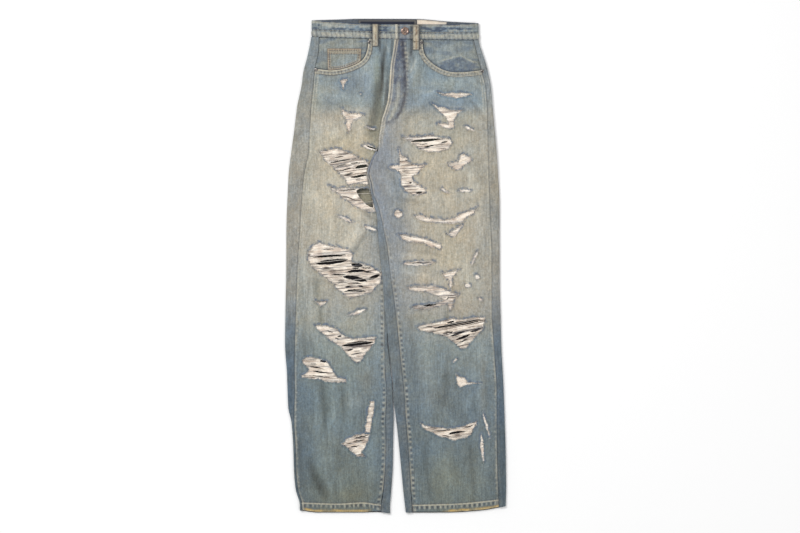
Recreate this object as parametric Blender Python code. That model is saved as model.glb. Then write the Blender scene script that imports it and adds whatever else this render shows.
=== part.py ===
"""Ripped five-pocket jeans, laid flat on the floor with the front up.

Metres, +Z up, +Y towards the waist. The pattern tables are in squares of one
pattern grid: u runs to the right, v runs down from the waist to the hems.
"""

import math
from collections import namedtuple

import bpy
import numpy as np
from mathutils import Vector
from mathutils.geometry import delaunay_2d_cdt

# Pattern grid
GRID = 0.00216
GRID_U = 395.61
GRID_V = 266.13

# Cloth and how it is stacked
WALL = 0.0016
LAYER_GAP = 0.0008
SEAM_GAP = 0.0003
FACING_WALL = 0.0012
HIP_LIFT = 0.0010
HIP_END_V = 84.0
HIP_RAMP = 22.0
FLUSH_LIFT = 0.0015
TRIM_WALL = 0.0012
HEM_EXTRA = 0.0008
HEM_STEP = 0.0015
EDGE_PUFF = 0.0016
EDGE_PUFF_WIDTH = 0.014
EDGE_PROBE = 0.003
LEAST_WRAP = 0.0042
LEG_STACK = 2 * WALL + LAYER_GAP + SEAM_GAP
LAP_STACK = WALL + SEAM_GAP
CORNER_CLEAR = 4 * SEAM_GAP
FOLD_OVERRUN = 0.25
FOLD_FADE = 0.4

# Mesh spacing
BACK_COLUMNS = {"left": 8, "right": 5}
FRONT_CELL = 0.0168
BACK_CELL = 0.027
TRIM_CELL = 0.020
EDGE_CELL = 0.012
COIN_CELL = 0.009
FLAT_CELL = 0.030

# Waistband
BAND_WALL = 0.0024
BAND_FRONT_Z = 0.0052
BAND_LEFT_END_U = 411.0
BAND_TAB_END_U = 394.9
BAND_LAP_RAMP = 0.030

# Small parts
LOOP_WALL = 0.0012
LABEL_WALL = 0.0007
BUTTON_RADIUS = 0.0085
BUTTON_HEIGHT = 0.0030
RIVET_RADIUS = 0.0042
RIVET_HEIGHT = 0.0013
ROUND_SIDES = 20
POCKET_POINT_DROP = 0.016
POCKET_TAPER = 0.006
COIN_HEM = 0.011
COIN_HEM_EXTRA = 0.0005
GAP_BLUNTNESS = 0.7

# Crotch: where the legs part, and where the right leg comes to lie on the left one
CENTRE_BACK_U = 390.0
CROTCH_V = 150.0
LIFT_START_V = 118.0
LIFT_FULL_V = 139.0
LIFT_FADE_V = 338.0
LIFT_END_V = 366.0
LIFT_RAMP = 0.040
FRONT_LIFT_EARLY = 16.0
FRONT_LIFT_LATE = 14.0
FRONT_LIFT_SPREAD = 0.012
LIFT_CLEAR = 0.003
LAP_FADE = 30.0
LEGS_PART_V = 400.0
PUFF_RAMP = 20.0
COVER_CLEAR = 0.004
COVER_RAMP = 0.030
PART_RAMP = 0.012
NO_WRAP_V = 999.0
YOKE_V = 55.0
YOKE_DIP = 7.0
YOKE_TOP_V = 39.0
YOKE_REACH = 90.0
TOP_SHIFT_V = 24.0
HEM_SHIFT_START_V = 470.0
HEM_SHIFT_V = 32.0
HEM_LEVEL_V = 510.0

# The underside: the back pockets raise the seat down to here
SEAT_END_V = 158.0
SEAT_RAMP = 40.0

Line = namedtuple("Line", "v u")
Fold = namedtuple("Fold", "leg u0 v0 u1 v1 width height")
Gap = namedtuple("Gap", "leg u0 v0 u1 v1 height")
Loop = namedtuple("Loop", "name u0 u1 v0 v1")
Dot = namedtuple("Dot", "name u v")


def lines(*rows):
    """Rows of a pattern line, as (v, u) pairs running down the leg."""
    return tuple(Line(*row) for row in rows)


LEFT_EDGE = lines(
    (19, 312.3), (38, 311.2), (57.7, 307), (71.7, 303.5), (87, 301.4), (107, 297.1), (129, 294.5),
    (150, 291.6), (174, 288.7), (196, 287.6), (226, 286.5), (274, 286.2), (311, 285.5), (344, 285.1),
    (373, 287), (407, 288.3), (423, 291.6), (448, 293.3), (473, 294.1), (489.5, 295.8), (505, 299.9),
    (515, 299.9),
)
LEFT_OUTSEAM = lines(
    (38, 318.9), (48, 318.6), (66, 315.1), (87, 313), (107, 311), (129, 309.6), (151, 308.5),
    (176, 303.7), (207, 301), (240, 299), (260, 297.5), (322, 295.3), (368, 294.2), (390, 294.5),
    (415, 293.9), (515, 293.9),
)
LEFT_INSEAM = lines(
    (140, 384.9), (329, 384.9), (373, 385.2), (390, 387), (423, 385.7), (448, 386.1), (469, 385.3),
    (489.5, 383.6), (505, 381.2), (515, 381.2),
)
LEFT_FOLD = lines(
    (100, 390), (304, 390), (322, 389), (338, 387.4), (352, 388.8), (373, 391), (384, 392.3),
    (401, 392.8), (415, 393.6), (440, 393.2), (465, 392.8), (489.5, 391.1), (505, 389.9), (515, 391),
)
LEFT_FRONT_END = lines(
    (36, 400.5), (66, 398.5), (87, 395.5), (107, 391), (120, 387.5), (140, 384.9),
)
RIGHT_EDGE = lines(
    (19, 478.3), (40.2, 478.9), (52, 482), (65.4, 486.2), (77.4, 489), (89.3, 491.1), (110, 492.8),
    (152, 496.6), (174, 498), (204, 499.5), (274, 499.6), (311, 500.4), (351, 501.5), (384, 503.3),
    (423, 504.8), (456, 505.7), (489.5, 506.1), (515, 505.5),
)
RIGHT_OUTSEAM = lines(
    (38, 473.4), (59, 478.5), (71, 481.8), (89, 485.9), (110, 487.4), (146, 488.2), (207, 490),
    (260, 492), (311, 492), (344, 494.1), (366, 495.6), (390, 497), (423, 497), (448, 497.4),
    (473, 497.8), (492, 498.6), (515, 499.2),
)
RIGHT_FOLD = lines(
    (139, 390.3), (150, 376.7), (165, 369.3), (174, 367.1), (183, 369.3), (192, 370.8), (207, 374.5),
    (218, 377.2), (233, 377.8), (248, 379), (267, 381.2), (281, 382.7), (304, 384.1), (322, 386.3),
    (337, 387.8), (359, 390), (384, 392.9), (401, 393.3), (411, 395), (431.5, 397.5), (456, 400),
    (481, 402.4), (502, 404.9), (515, 406.4),
)
RIGHT_INSEAM = lines(
    (150, 376.8), (174, 367.1), (192, 372), (202, 376.7), (218, 381.1), (233, 384.1), (248, 387.1),
    (267, 389.3), (289, 392.2), (304, 394.4), (322, 396.6), (344, 398.8), (366, 401), (390, 403.7),
    (415, 405.3), (440, 407.4), (465, 409.1), (489.5, 410.7), (504, 412), (515, 412.6),
)
FLY_EDGE = lines(
    (36, 394.8), (49.3, 393.3), (66, 390.5), (87, 389.1), (100, 387.7), (111, 384.7), (120, 381.8),
    (129, 380.3), (140, 378.8), (150, 378.8),
)

Across = namedtuple("Across", "u v")


def across(*rows):
    """Rows of a line that runs across the garment, as (u, v) pairs."""
    return tuple(Across(*row) for row in rows)


LEFT_HEM = across(
    (285, 508.5), (299.9, 509.4), (318, 511.5), (363, 511.5), (375.4, 511), (393, 512.7),
)
LEFT_HEM_TOP = across(
    (285, 501.5), (299.9, 502.3), (338, 503.6), (362.9, 502.4), (381.2, 504.6), (393, 504.6),
)
RIGHT_HEM = across((404, 511.6), (448, 511.5), (481.2, 509.4), (508, 504.8))
RIGHT_HEM_TOP = across((404, 505.2), (456.3, 503.6), (508, 498.6))
BACK_HEM_DROP = 0.9
BAND_LOW = across((311, 37.2), (395, 39.3), (480, 40.3))
BAND_FRONT_TOP = across(
    (311, 20.5), (340, 22.4), (358, 23.7), (397, 24.7), (447, 24.7), (465, 24.1), (480, 23.3),
)
BAND_BACK_TOP = across(
    (311, 20.5), (340, 19.6), (358, 19), (416, 19.2), (447, 21.6), (480, 23.3),
)
LEFT_POCKET = across(
    (313, 69.0), (316.1, 69), (330.2, 71), (342, 69.6), (353.3, 66), (363.2, 60.5), (367.4, 52),
    (369.1, 36),
)
RIGHT_POCKET = across(
    (422.3, 36), (423.1, 53.5), (430, 62), (438.5, 68.2), (448.3, 72), (458.2, 72.8), (469.4, 72),
    (485, 70),
)
COIN_POCKET = across((327.2, 48.6), (361.3, 48.6), (361.3, 66.5), (327.2, 66.5))
FACING_UNDER = 4.6

FOLDS = (
    Fold("left", 368, 58, 362, 130, 0.016, 0.0030),
    Fold("left", 360, 226, 344, 250, 0.016, 0.0026),
    Fold("left", 350, 208, 372, 224, 0.014, 0.0020),
    Fold("left", 306, 120, 338, 138, 0.015, 0.0016),
    Fold("left", 304, 190, 330, 206, 0.015, 0.0018),
    Fold("left", 332, 392, 326, 472, 0.017, 0.0026),
    Fold("left", 352, 380, 349, 430, 0.015, 0.0020),
    Fold("left", 374, 442, 369, 494, 0.015, 0.0018),
    Fold("left", 322, 462, 309, 496, 0.014, 0.0024),
    Fold("right", 428, 84, 470, 80, 0.014, 0.0018),
    Fold("right", 392, 176, 440, 204, 0.016, 0.0022),
    Fold("right", 470, 168, 480, 236, 0.016, 0.0022),
    Fold("right", 404, 254, 436, 259, 0.014, 0.0018),
    Fold("right", 426, 346, 430, 412, 0.016, 0.0026),
    Fold("right", 478, 350, 470, 410, 0.015, 0.0022),
    Fold("right", 440, 446, 452, 498, 0.016, 0.0022),
    Fold("right", 486, 450, 478, 496, 0.014, 0.0018),
)

# Gaps wider than four millimetres, where the threads across a rip have parted
GAPS = (
    Gap("left", 354.7, 168.1, 368.6, 166.3, 3.0),
    Gap("left", 351.7, 177.3, 367.1, 175.0, 2.0),
    Gap("left", 366.0, 145.6, 377.0, 149.4, 2.0),
    Gap("left", 358.0, 190.0, 371.5, 205.5, 8.5),
    Gap("left", 312.3, 257.5, 346.0, 254.9, 2.0),
    Gap("left", 315.9, 263.7, 348.2, 259.2, 4.5),
    Gap("left", 351.1, 263.8, 362.9, 263.8, 2.5),
    Gap("left", 346.7, 272.0, 364.3, 270.2, 2.0),
    Gap("left", 342.3, 277.6, 367.0, 280.9, 3.5),
    Gap("left", 368.7, 278.4, 379.7, 274.4, 2.5),
    Gap("left", 343.1, 291.6, 366.5, 291.4, 2.0),
    Gap("left", 340.9, 346.4, 373.1, 342.0, 3.2),
    Gap("left", 319.6, 360.9, 326.4, 361.7, 2.0),
    Gap("right", 409.7, 141.5, 441.9, 139.3, 2.2),
    Gap("right", 416.0, 193.4, 422.4, 191.6, 2.5),
    Gap("right", 402.8, 263.8, 435.3, 263.0, 3.6),
    Gap("right", 422.3, 306.0, 436.9, 304.8, 2.0),
    Gap("right", 434.0, 328.2, 484.6, 319.4, 2.8),
    Gap("right", 455.3, 340.3, 468.5, 334.5, 2.0),
    Gap("right", 469.9, 331.6, 481.7, 328.8, 2.0),
    Gap("right", 448.0, 433.9, 464.6, 431.5, 2.0),
)

FRONT_LOOPS = (
    Loop("belt_loop_front_left", 372.3, 378.6, 24.2, 46.8),
    Loop("belt_loop_front_right", 412.5, 419.6, 24.8, 50.4),
)
BACK_LOOPS = (
    Loop("belt_loop_back_left", 332.0, 338.0, 20.6, 47.5),
    Loop("belt_loop_back_centre", 387.2, 393.2, 20.2, 47.5),
    Loop("belt_loop_back_right", 442.0, 448.0, 22.6, 47.5),
)
BACK_POCKETS = (
    Loop("back_pocket_left", 314.0, 374.0, 82.0, 146.0),
    Loop("back_pocket_right", 406.0, 466.0, 82.0, 146.0),
)
LABELS = (
    Loop("label_dark", 358.4, 416.2, 19.6, 27.0),
    Loop("label_cream", 416.9, 446.6, 22.0, 27.0),
)
RIVETS = (
    Dot("rivet_left_outer", 316.2, 70.0),
    Dot("rivet_left_inner", 369.5, 42.4),
    Dot("rivet_right_inner", 421.6, 42.8),
    Dot("rivet_right_outer", 482.2, 71.4),
)
BUTTON = Dot("waist_button", 405.0, 31.5)

Colour = namedtuple("Colour", "name red green blue rough metal")
DENIM = Colour("denim", 0.34, 0.38, 0.42, 0.92, 0.0)
DENIM_DARK = Colour("denim_dark", 0.12, 0.13, 0.20, 0.92, 0.0)
METAL = Colour("aged_metal", 0.55, 0.40, 0.32, 0.38, 1.0)
LABEL_DARK = Colour("label_dark", 0.05, 0.06, 0.09, 0.8, 0.0)
LABEL_CREAM = Colour("label_cream", 0.75, 0.66, 0.50, 0.8, 0.0)


# Pattern lines and smooth steps


def x_of(u):
    """Metres to the right for grid squares u."""
    return (u - GRID_U) * GRID


def y_of(v):
    """Metres towards the waist for grid squares v."""
    return (GRID_V - v) * GRID


def u_of(x):
    return x / GRID + GRID_U


def v_of(y):
    return GRID_V - y / GRID


def smooth_line(rows, knot, value):
    """A smooth curve through the rows that never overshoots between two of them."""
    knots = np.array([getattr(row, knot) for row in rows], float)
    values = np.array([getattr(row, value) for row in rows], float)
    slopes = np.diff(values) / np.diff(knots)
    tangents = np.empty(len(knots))
    tangents[0], tangents[-1] = slopes[0], slopes[-1]
    for k in range(1, len(knots) - 1):
        a, b = slopes[k - 1], slopes[k]
        tangents[k] = 0.0 if a * b <= 0 else 2 * a * b / (a + b)

    def at(t):
        t = min(max(t, knots[0]), knots[-1])
        k = min(int(np.searchsorted(knots, t, side="right")) - 1, len(knots) - 2)
        width = knots[k + 1] - knots[k]
        s = (t - knots[k]) / width
        return float(
            values[k] * (1 + 2 * s) * (1 - s) ** 2
            + tangents[k] * width * s * (1 - s) ** 2
            + values[k + 1] * s * s * (3 - 2 * s)
            + tangents[k + 1] * width * s * s * (s - 1)
        )

    return at


def down(rows):
    """x as a function of y for a line that runs down the leg."""
    line = smooth_line(rows, "v", "u")
    return lambda y: x_of(line(v_of(y)))


def sideways(rows):
    """y as a function of x for a line that runs across the garment."""
    line = smooth_line(rows, "u", "v")
    return lambda x: y_of(line(u_of(x)))


def step(t):
    """0 below 0, 1 above 1, smooth between."""
    t = min(max(t, 0.0), 1.0)
    return t * t * (3 - 2 * t)


left_edge, left_outseam = down(LEFT_EDGE), down(LEFT_OUTSEAM)
left_inseam, left_fold = down(LEFT_INSEAM), down(LEFT_FOLD)
left_front_end = down(LEFT_FRONT_END)
right_edge, right_outseam = down(RIGHT_EDGE), down(RIGHT_OUTSEAM)
right_fold, right_inseam = down(RIGHT_FOLD), down(RIGHT_INSEAM)
fly_edge = down(FLY_EDGE)
left_hem, left_hem_top = sideways(LEFT_HEM), sideways(LEFT_HEM_TOP)
right_hem, right_hem_top = sideways(RIGHT_HEM), sideways(RIGHT_HEM_TOP)
band_low = sideways(BAND_LOW)
band_front_top, band_back_top = sideways(BAND_FRONT_TOP), sideways(BAND_BACK_TOP)


def left_outer_seam(y):
    return max(left_outseam(y), left_edge(y) + LEAST_WRAP)


def right_outer_seam(y):
    return min(right_outseam(y), right_edge(y) - LEAST_WRAP)


def left_inner_seam(y):
    return min(left_inseam(y), left_fold(y) - LEAST_WRAP)


def right_inner_seam(y):
    return max(right_inseam(y), right_fold(y) + LEAST_WRAP)


# Heights: what lies under each layer


def floor_under(x, y):
    """How far the seat is raised by the pockets and loops that are sewn on its underside."""
    return FLUSH_LIFT * (1 - step((v_of(y) - SEAT_END_V) / SEAT_RAMP))


def down_the_overlap(v, start, full, fade, end):
    """A hump down the leg: it rises from start to full and falls from fade to end."""
    return step((v - start) / (full - start)) * (1 - step((v - fade) / (end - fade)))


def back_lift(x, y):
    """How far the right leg is raised by the left leg that it lies on."""
    amount = down_the_overlap(v_of(y), LIFT_START_V, LIFT_FULL_V, LIFT_FADE_V, LIFT_END_V)
    return LEG_STACK * amount * (1 - step((x - left_fold(y) - 0.001) / LIFT_RAMP))


def front_lift(x, y):
    """The same for the right front, which also laps over the left front at the fly."""
    v = v_of(y)
    start, full = LIFT_START_V - FRONT_LIFT_EARLY, LIFT_FULL_V - 1
    amount = down_the_overlap(v, start, full, LIFT_FADE_V + 2, LIFT_END_V + FRONT_LIFT_LATE)
    past_fold = x - left_fold(y) - LIFT_CLEAR
    past_lap = x - left_front_end(y) - LIFT_CLEAR
    legs = LEG_STACK * amount * (1 - step(past_fold / (LIFT_RAMP + FRONT_LIFT_SPREAD)))
    lap = LAP_STACK * (1 - step(past_lap / LIFT_RAMP)) * (1 - step((v - CROTCH_V) / LAP_FADE))
    return max(legs, lap)


def hip_lift(y):
    """How far the fronts are raised by the pocket facings under them."""
    return HIP_LIFT * (1 - step((v_of(y) - HIP_END_V) / HIP_RAMP))


def fold_height(leg, x, y):
    """The soft ridges of one leg added up."""
    total = 0.0
    for fold in FOLDS:
        if fold.leg != leg:
            continue
        start = Vector((x_of(fold.u0), y_of(fold.v0)))
        along = Vector((x_of(fold.u1), y_of(fold.v1))) - start
        to_point = Vector((x, y)) - start
        t = to_point.dot(along) / along.length_squared
        off = (to_point - along * t).length
        ends = step((t + FOLD_OVERRUN) / FOLD_FADE) * step((1 + FOLD_OVERRUN - t) / FOLD_FADE)
        total += fold.height * ends * math.exp(-((off / fold.width) ** 2))
    return total


def cover_mask(x, y):
    """0 where the left front is under the right one, 1 clear of it."""
    v = v_of(y)
    if v < CROTCH_V:
        cover = fly_edge(y)
    elif v < LEGS_PART_V:
        cover = right_fold(y)
    else:
        return step((left_fold(y) - x) / PART_RAMP)
    return step((cover - x - COVER_CLEAR) / COVER_RAMP)


def puff(distance):
    """The roundness of a folded side, by distance in from it."""
    return EDGE_PUFF * math.exp(-((distance / EDGE_PUFF_WIDTH) ** 2))


def left_front_z(x, y):
    """Lower face of the left front."""
    loose = fold_height("left", x, y) + puff(x - left_edge(y))
    inner = puff(left_fold(y) - x) * step((v_of(y) - 4 - LEGS_PART_V) / 14)
    return floor_under(x, y) + WALL + LAYER_GAP + hip_lift(y) + loose * cover_mask(x, y) + inner


def right_front_z(x, y):
    """Lower face of the right front."""
    v = v_of(y)
    inner = puff(x - right_fold(y)) * step((v - CROTCH_V) / PUFF_RAMP)
    loose = fold_height("right", x, y) + puff(right_edge(y) - x) + inner
    return floor_under(x, y) + front_lift(x, y) + WALL + LAYER_GAP + hip_lift(y) + loose


def right_back_z(x, y):
    return floor_under(x, y) + back_lift(x, y)


# Closed walls


def material_for(colour):
    """The Principled BSDF material of this name, made at its first use."""
    found = bpy.data.materials.get(colour.name)
    if found:
        return found
    made = bpy.data.materials.new(colour.name)
    made.use_nodes = True
    shader = made.node_tree.nodes["Principled BSDF"]
    shader.inputs["Base Color"].default_value = (colour.red, colour.green, colour.blue, 1.0)
    shader.inputs["Roughness"].default_value = colour.rough
    shader.inputs["Metallic"].default_value = colour.metal
    return made


def closed_wall(name, outer, inner, faces, colour):
    """One closed body: the outer faces, the same ones inside, and a rim along every open edge."""
    count = len(outer)
    every = [tuple(face) for face in faces]
    every += [tuple(index + count for index in reversed(face)) for face in faces]
    directed = {(a, b) for face in faces for a, b in zip(face, face[1:] + face[:1])}
    for a, b in sorted(directed):
        if (b, a) not in directed:
            every.append((b, a, a + count, b + count))
    mesh = bpy.data.meshes.new(name)
    mesh.from_pydata([tuple(point) for point in list(outer) + list(inner)], [], every)
    mesh.validate()
    mesh.materials.append(material_for(colour))
    made = bpy.data.objects.new(name, mesh)
    bpy.context.collection.objects.link(made)
    return made


def to_loop_distance(points, loop):
    """Distance of each point to a closed outline."""
    starts = np.array(loop)
    sides = np.roll(starts, -1, axis=0) - starts
    lengths = np.maximum((sides**2).sum(axis=1), 1e-12)
    offsets = points[:, None, :] - starts[None, :, :]
    share = np.clip((offsets * sides).sum(axis=2) / lengths, 0, 1)
    return np.sqrt(((offsets - share[..., None] * sides) ** 2).sum(axis=2)).min(axis=1)


def inside_loop(points, loop):
    """Whether each point is inside a closed outline."""
    inside = np.zeros(len(points), bool)
    x, y = points[:, 0], points[:, 1]
    for (ax, ay), (bx, by) in zip(loop, loop[1:] + loop[:1]):
        if ay == by:
            continue
        crosses = (ay > y) != (by > y)
        inside ^= crosses & (x < (bx - ax) * (y - ay) / (by - ay) + ax)
    return inside


def spread_points(loop, holes, cell, guides):
    """Points on a triangular grid inside the outline, clear of its edges and of the guide points."""
    low, high = np.min(loop, axis=0), np.max(loop, axis=0)
    rows = np.arange(low[1], high[1], cell * math.sqrt(3) / 2)
    grid = [
        (x, y)
        for number, y in enumerate(rows)
        for x in np.arange(low[0] + (number % 2) * cell / 2, high[0], cell)
    ]
    points = np.array(grid)
    kept = inside_loop(points, loop) & (to_loop_distance(points, loop) > 0.55 * cell)
    for hole in holes:
        kept &= ~inside_loop(points, hole) & (to_loop_distance(points, hole) > 0.38 * cell)
    if guides:
        marks = np.array(guides)
        for number in np.nonzero(kept)[0]:
            nearest = np.sqrt(((marks - points[number]) ** 2).sum(axis=1)).min()
            kept[number] = nearest > 0.45 * cell
    return [tuple(point) for point in points[kept]] + list(guides)


def flat_panel(name, loop, holes, cell, under, thickness, colour, guides=()):
    """A panel cut to the outline, with its lower face on under(x, y)."""
    points, edges = [], []
    for ring in [loop, *holes]:
        first = len(points)
        points += ring
        edges += [(first + k, first + (k + 1) % len(ring)) for k in range(len(ring))]
    points += spread_points(loop, holes, cell, list(guides))
    vectors = [Vector(point) for point in points]
    placed, _, triangles, *_ = delaunay_2d_cdt(vectors, edges, [], 0, 1e-7)
    flat = np.array([(point.x, point.y) for point in placed])
    corners = flat[np.array(triangles)]
    middles = corners.mean(axis=1)
    kept = inside_loop(middles, loop)
    for hole in holes:
        kept &= ~inside_loop(middles, hole)
    faces = []
    for number in np.nonzero(kept)[0]:
        a, b, c = corners[number]
        turn = (b[0] - a[0]) * (c[1] - a[1]) - (b[1] - a[1]) * (c[0] - a[0])
        face = list(triangles[number])
        faces.append(face if turn > 0 else face[::-1])
    used = sorted({index for face in faces for index in face})
    place = {index: number for number, index in enumerate(used)}
    faces = [[place[index] for index in face] for face in faces]
    inner = [(flat[k][0], flat[k][1], under(flat[k][0], flat[k][1])) for k in used]
    outer = [(x, y, z + thickness(x, y)) for x, y, z in inner]
    return closed_wall(name, outer, inner, faces, colour)


def section_wall(name, sections, wall, colour, flip):
    """A wall through sections of (point, outward normal), where None leaves a place empty."""
    index, outer, inner = {}, [], []
    for row, section in enumerate(sections):
        for column, entry in enumerate(section):
            if entry is None:
                continue
            point, normal = entry
            thick = wall(point.x, point.y) if callable(wall) else wall
            index[row, column] = len(outer)
            outer.append(point + normal * thick / 2)
            inner.append(point - normal * thick / 2)
    faces = []
    for row, column in index:
        corners = [(row, column), (row, column + 1), (row + 1, column + 1), (row + 1, column)]
        if all(corner in index for corner in corners):
            face = [index[corner] for corner in corners]
            faces.append(face[::-1] if flip else face)
    return closed_wall(name, outer, inner, faces, colour)


def walk(start, end, step_size):
    """Numbers from start to end, both kept, about step_size apart."""
    count = max(2, int(round(abs(end - start) / step_size)) + 1)
    return [float(value) for value in np.linspace(start, end, count)]


# Front panels


def hole_of(gap):
    """The outline of a parted place in a rip: pointed ends, widest in the middle."""
    start = Vector((x_of(gap.u0), y_of(gap.v0)))
    along = Vector((x_of(gap.u1), y_of(gap.v1))) - start
    half = Vector((-along.y, along.x)).normalized() * gap.height * GRID / 2
    shares = (0.0, 0.18, 0.5, 0.82, 1.0)
    bulges = [math.sin(math.pi * share) ** GAP_BLUNTNESS for share in shares]
    upper = [start + along * share + half * bulge for share, bulge in zip(shares, bulges)]
    lower = [start + along * share - half * bulge for share, bulge in zip(shares, bulges)]
    return [(point.x, point.y) for point in upper + lower[-2:0:-1]]


def hem_thickness(hem_top):
    def at(x, y):
        return WALL + HEM_EXTRA * step((hem_top(x) - y) / HEM_STEP)

    return at


def hem_guides(hem_top, low_x, high_x):
    """Two rows of points at the hem's stitching, so that its step is in the mesh."""
    spots = walk(low_x + 0.006, high_x - 0.006, EDGE_CELL)
    return [(x, hem_top(x) + 0.0002) for x in spots] + [(x, hem_top(x) - HEM_STEP) for x in spots]


def pocket_curve(rows, count):
    """Points along a front pocket opening, from the outseam end to the waist end."""
    line = [Vector((x_of(row.u), y_of(row.v))) for row in rows]
    lengths = [0.0]
    for a, b in zip(line, line[1:]):
        lengths.append(lengths[-1] + (b - a).length)
    spots = np.linspace(0, lengths[-1], count)
    xs = np.interp(spots, lengths, [point.x for point in line])
    ys = np.interp(spots, lengths, [point.y for point in line])
    return [(float(x), float(y)) for x, y in zip(xs, ys)]


def moved_curve(points, distance):
    """The curve moved sideways, to the left of the way it runs."""
    moved = []
    for k, (x, y) in enumerate(points):
        before, after = points[max(k - 1, 0)], points[min(k + 1, len(points) - 1)]
        way = Vector((after[0] - before[0], after[1] - before[1])).normalized()
        moved.append((x - way.y * distance, y + way.x * distance))
    return moved


def left_front_outline():
    curve = pocket_curve(LEFT_POCKET, 16)
    seam_y = curve[0][1]
    curve = [p for p in curve if p[0] > left_outer_seam(p[1]) + 0.004 and p[1] < band_low(p[0]) - 0.003]
    loop = [(left_outer_seam(seam_y) + CORNER_CLEAR, seam_y)] + curve
    for x in walk(x_of(369.1), left_front_end(y_of(40)), EDGE_CELL):
        loop.append((x, band_low(x) - SEAM_GAP))
    bottom_in = left_hem(left_inner_seam(y_of(511)))
    for y in walk(y_of(44), y_of(140), EDGE_CELL):
        loop.append((left_front_end(y), y))
    for y in levels_between(y_of(145), bottom_in) + [bottom_in]:
        loop.append((left_inner_seam(y) - SEAM_GAP, y))
    last_x = left_inner_seam(bottom_in)
    first_x = left_outer_seam(y_of(510))
    for x in walk(last_x - 0.010, first_x + 0.012, EDGE_CELL):
        loop.append((x, left_hem(x)))
    for y in [left_hem(first_x)] + levels_between(seam_y, left_hem(first_x))[::-1]:
        loop.append((left_outer_seam(y) + SEAM_GAP, y))
    return loop[::-1]


def right_front_outline():
    curve = pocket_curve(RIGHT_POCKET, 16)
    curve = [p for p in curve if p[0] < right_outer_seam(p[1]) - 0.004 and p[1] < band_low(p[0]) - 0.003]
    seam_y = y_of(70.6)
    loop = []
    for x in walk(fly_edge(y_of(39.6)), x_of(422.2), EDGE_CELL):
        loop.append((x, band_low(x) - SEAM_GAP))
    loop += curve
    loop.append((right_outer_seam(seam_y) - CORNER_CLEAR, seam_y))
    bottom_out = right_hem(right_outer_seam(y_of(504)))
    for y in levels_between(seam_y, bottom_out) + [bottom_out]:
        loop.append((right_outer_seam(y) - SEAM_GAP, y))
    last_x = right_outer_seam(bottom_out)
    first_x = right_inner_seam(y_of(511))
    for x in walk(last_x - 0.012, first_x + 0.010, EDGE_CELL):
        loop.append((x, right_hem(x)))
    for y in [right_hem(first_x)] + levels_between(y_of(149), right_hem(first_x))[::-1]:
        loop.append((right_inner_seam(y) + SEAM_GAP, y))
    for y in walk(y_of(145), y_of(44), EDGE_CELL):
        loop.append((fly_edge(y), y))
    return loop[::-1]


def build_fronts():
    for leg, outline, under, hem_top, low_u, high_u in (
        ("left", left_front_outline(), left_front_z, left_hem_top, 302, 380),
        ("right", right_front_outline(), right_front_z, right_hem_top, 414, 498),
    ):
        holes = [hole_of(gap) for gap in GAPS if gap.leg == leg]
        guides = hem_guides(hem_top, x_of(low_u), x_of(high_u))
        flat_panel(
            f"front_panel_{leg}", outline, holes, FRONT_CELL, under, hem_thickness(hem_top), DENIM, guides
        )


# Back panels and yokes, which wrap round the folded sides


def wrap_arc(centre_x, low, high, side):
    """The folded edge from the top layer down to the bottom one. side is the way it bulges."""
    radius = (high - low) / 2
    made = []
    for degrees in (90, 45, 0, -45, -90):
        angle = math.radians(degrees)
        normal = Vector((side * math.cos(angle), 0, math.sin(angle)))
        made.append((centre_x, (high + low) / 2, normal, radius))
    return made


def back_section(leg, y, y_at, inner_wrap):
    """One section of a back panel, from the outseam on the front round to the inseam on the front."""
    left = leg == "left"
    side = -1 if left else 1
    edge = left_edge(y) if left else right_edge(y)
    seam = left_outer_seam(y) if left else right_outer_seam(y)
    top = left_front_z if left else right_front_z
    bottom = floor_under if left else right_back_z
    fold = left_fold(y) if left else right_fold(y)
    inseam = left_inner_seam(y) if left else right_inner_seam(y)
    entries = []

    def arc(edge_x, way):
        high = top(edge_x - way * EDGE_PROBE, y) + WALL / 2
        low = bottom(edge_x - way * EDGE_PROBE, y) + WALL / 2
        radius = (high - low) / 2
        centre = edge_x - way * (radius + WALL / 2)
        points = []
        for _, middle, normal, _ in wrap_arc(centre, low, high, way):
            points.append((Vector((centre, 0, middle)) + normal * radius, normal))
        return centre, points

    outer_centre, outer_arc = arc(edge, side)
    for x in np.linspace(seam, outer_centre, 4)[:-1]:
        entries.append((Vector((x, 0, top(x, y) + WALL / 2)), Vector((0, 0, 1))))
    entries += outer_arc
    if inner_wrap:
        inner_centre, inner_arc = arc(fold, -side)
        inner_x = inner_centre
    elif left:
        inner_x = x_of(CENTRE_BACK_U) - SEAM_GAP / 2
    else:
        inner_x = fold + SEAM_GAP / 2
    ramp = [inner_x]
    if not left:
        start = max(left_fold(y) + 0.001, inner_x + 0.006)
        ramp = [inner_x] + [start + LIFT_RAMP * share for share in (0.0, 0.25, 0.5, 0.75, 1.0)]
    spots = list(np.linspace(outer_centre, ramp[-1], BACK_COLUMNS[leg])[1:]) + ramp[-2::-1]
    for x in spots[:-1] if inner_wrap else spots:
        entries.append((Vector((x, 0, bottom(x, y) + WALL / 2)), Vector((0, 0, -1))))
    if inner_wrap:
        entries += inner_arc[::-1]
        for x in np.linspace(inner_centre, inseam, 3)[1:]:
            entries.append((Vector((x, 0, top(x, y) + WALL / 2)), Vector((0, 0, 1))))
    else:
        entries += [None] * 6
    for entry in entries:
        if entry:
            entry[0].y = y_at(entry[0].x)
    return entries


def yoke_line(x):
    """The seam under the yoke, lowest at the centre back."""
    away = min(abs(u_of(x) - CENTRE_BACK_U) / YOKE_REACH, 1.0)
    return y_of(YOKE_V + YOKE_DIP * (1 - away))


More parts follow.
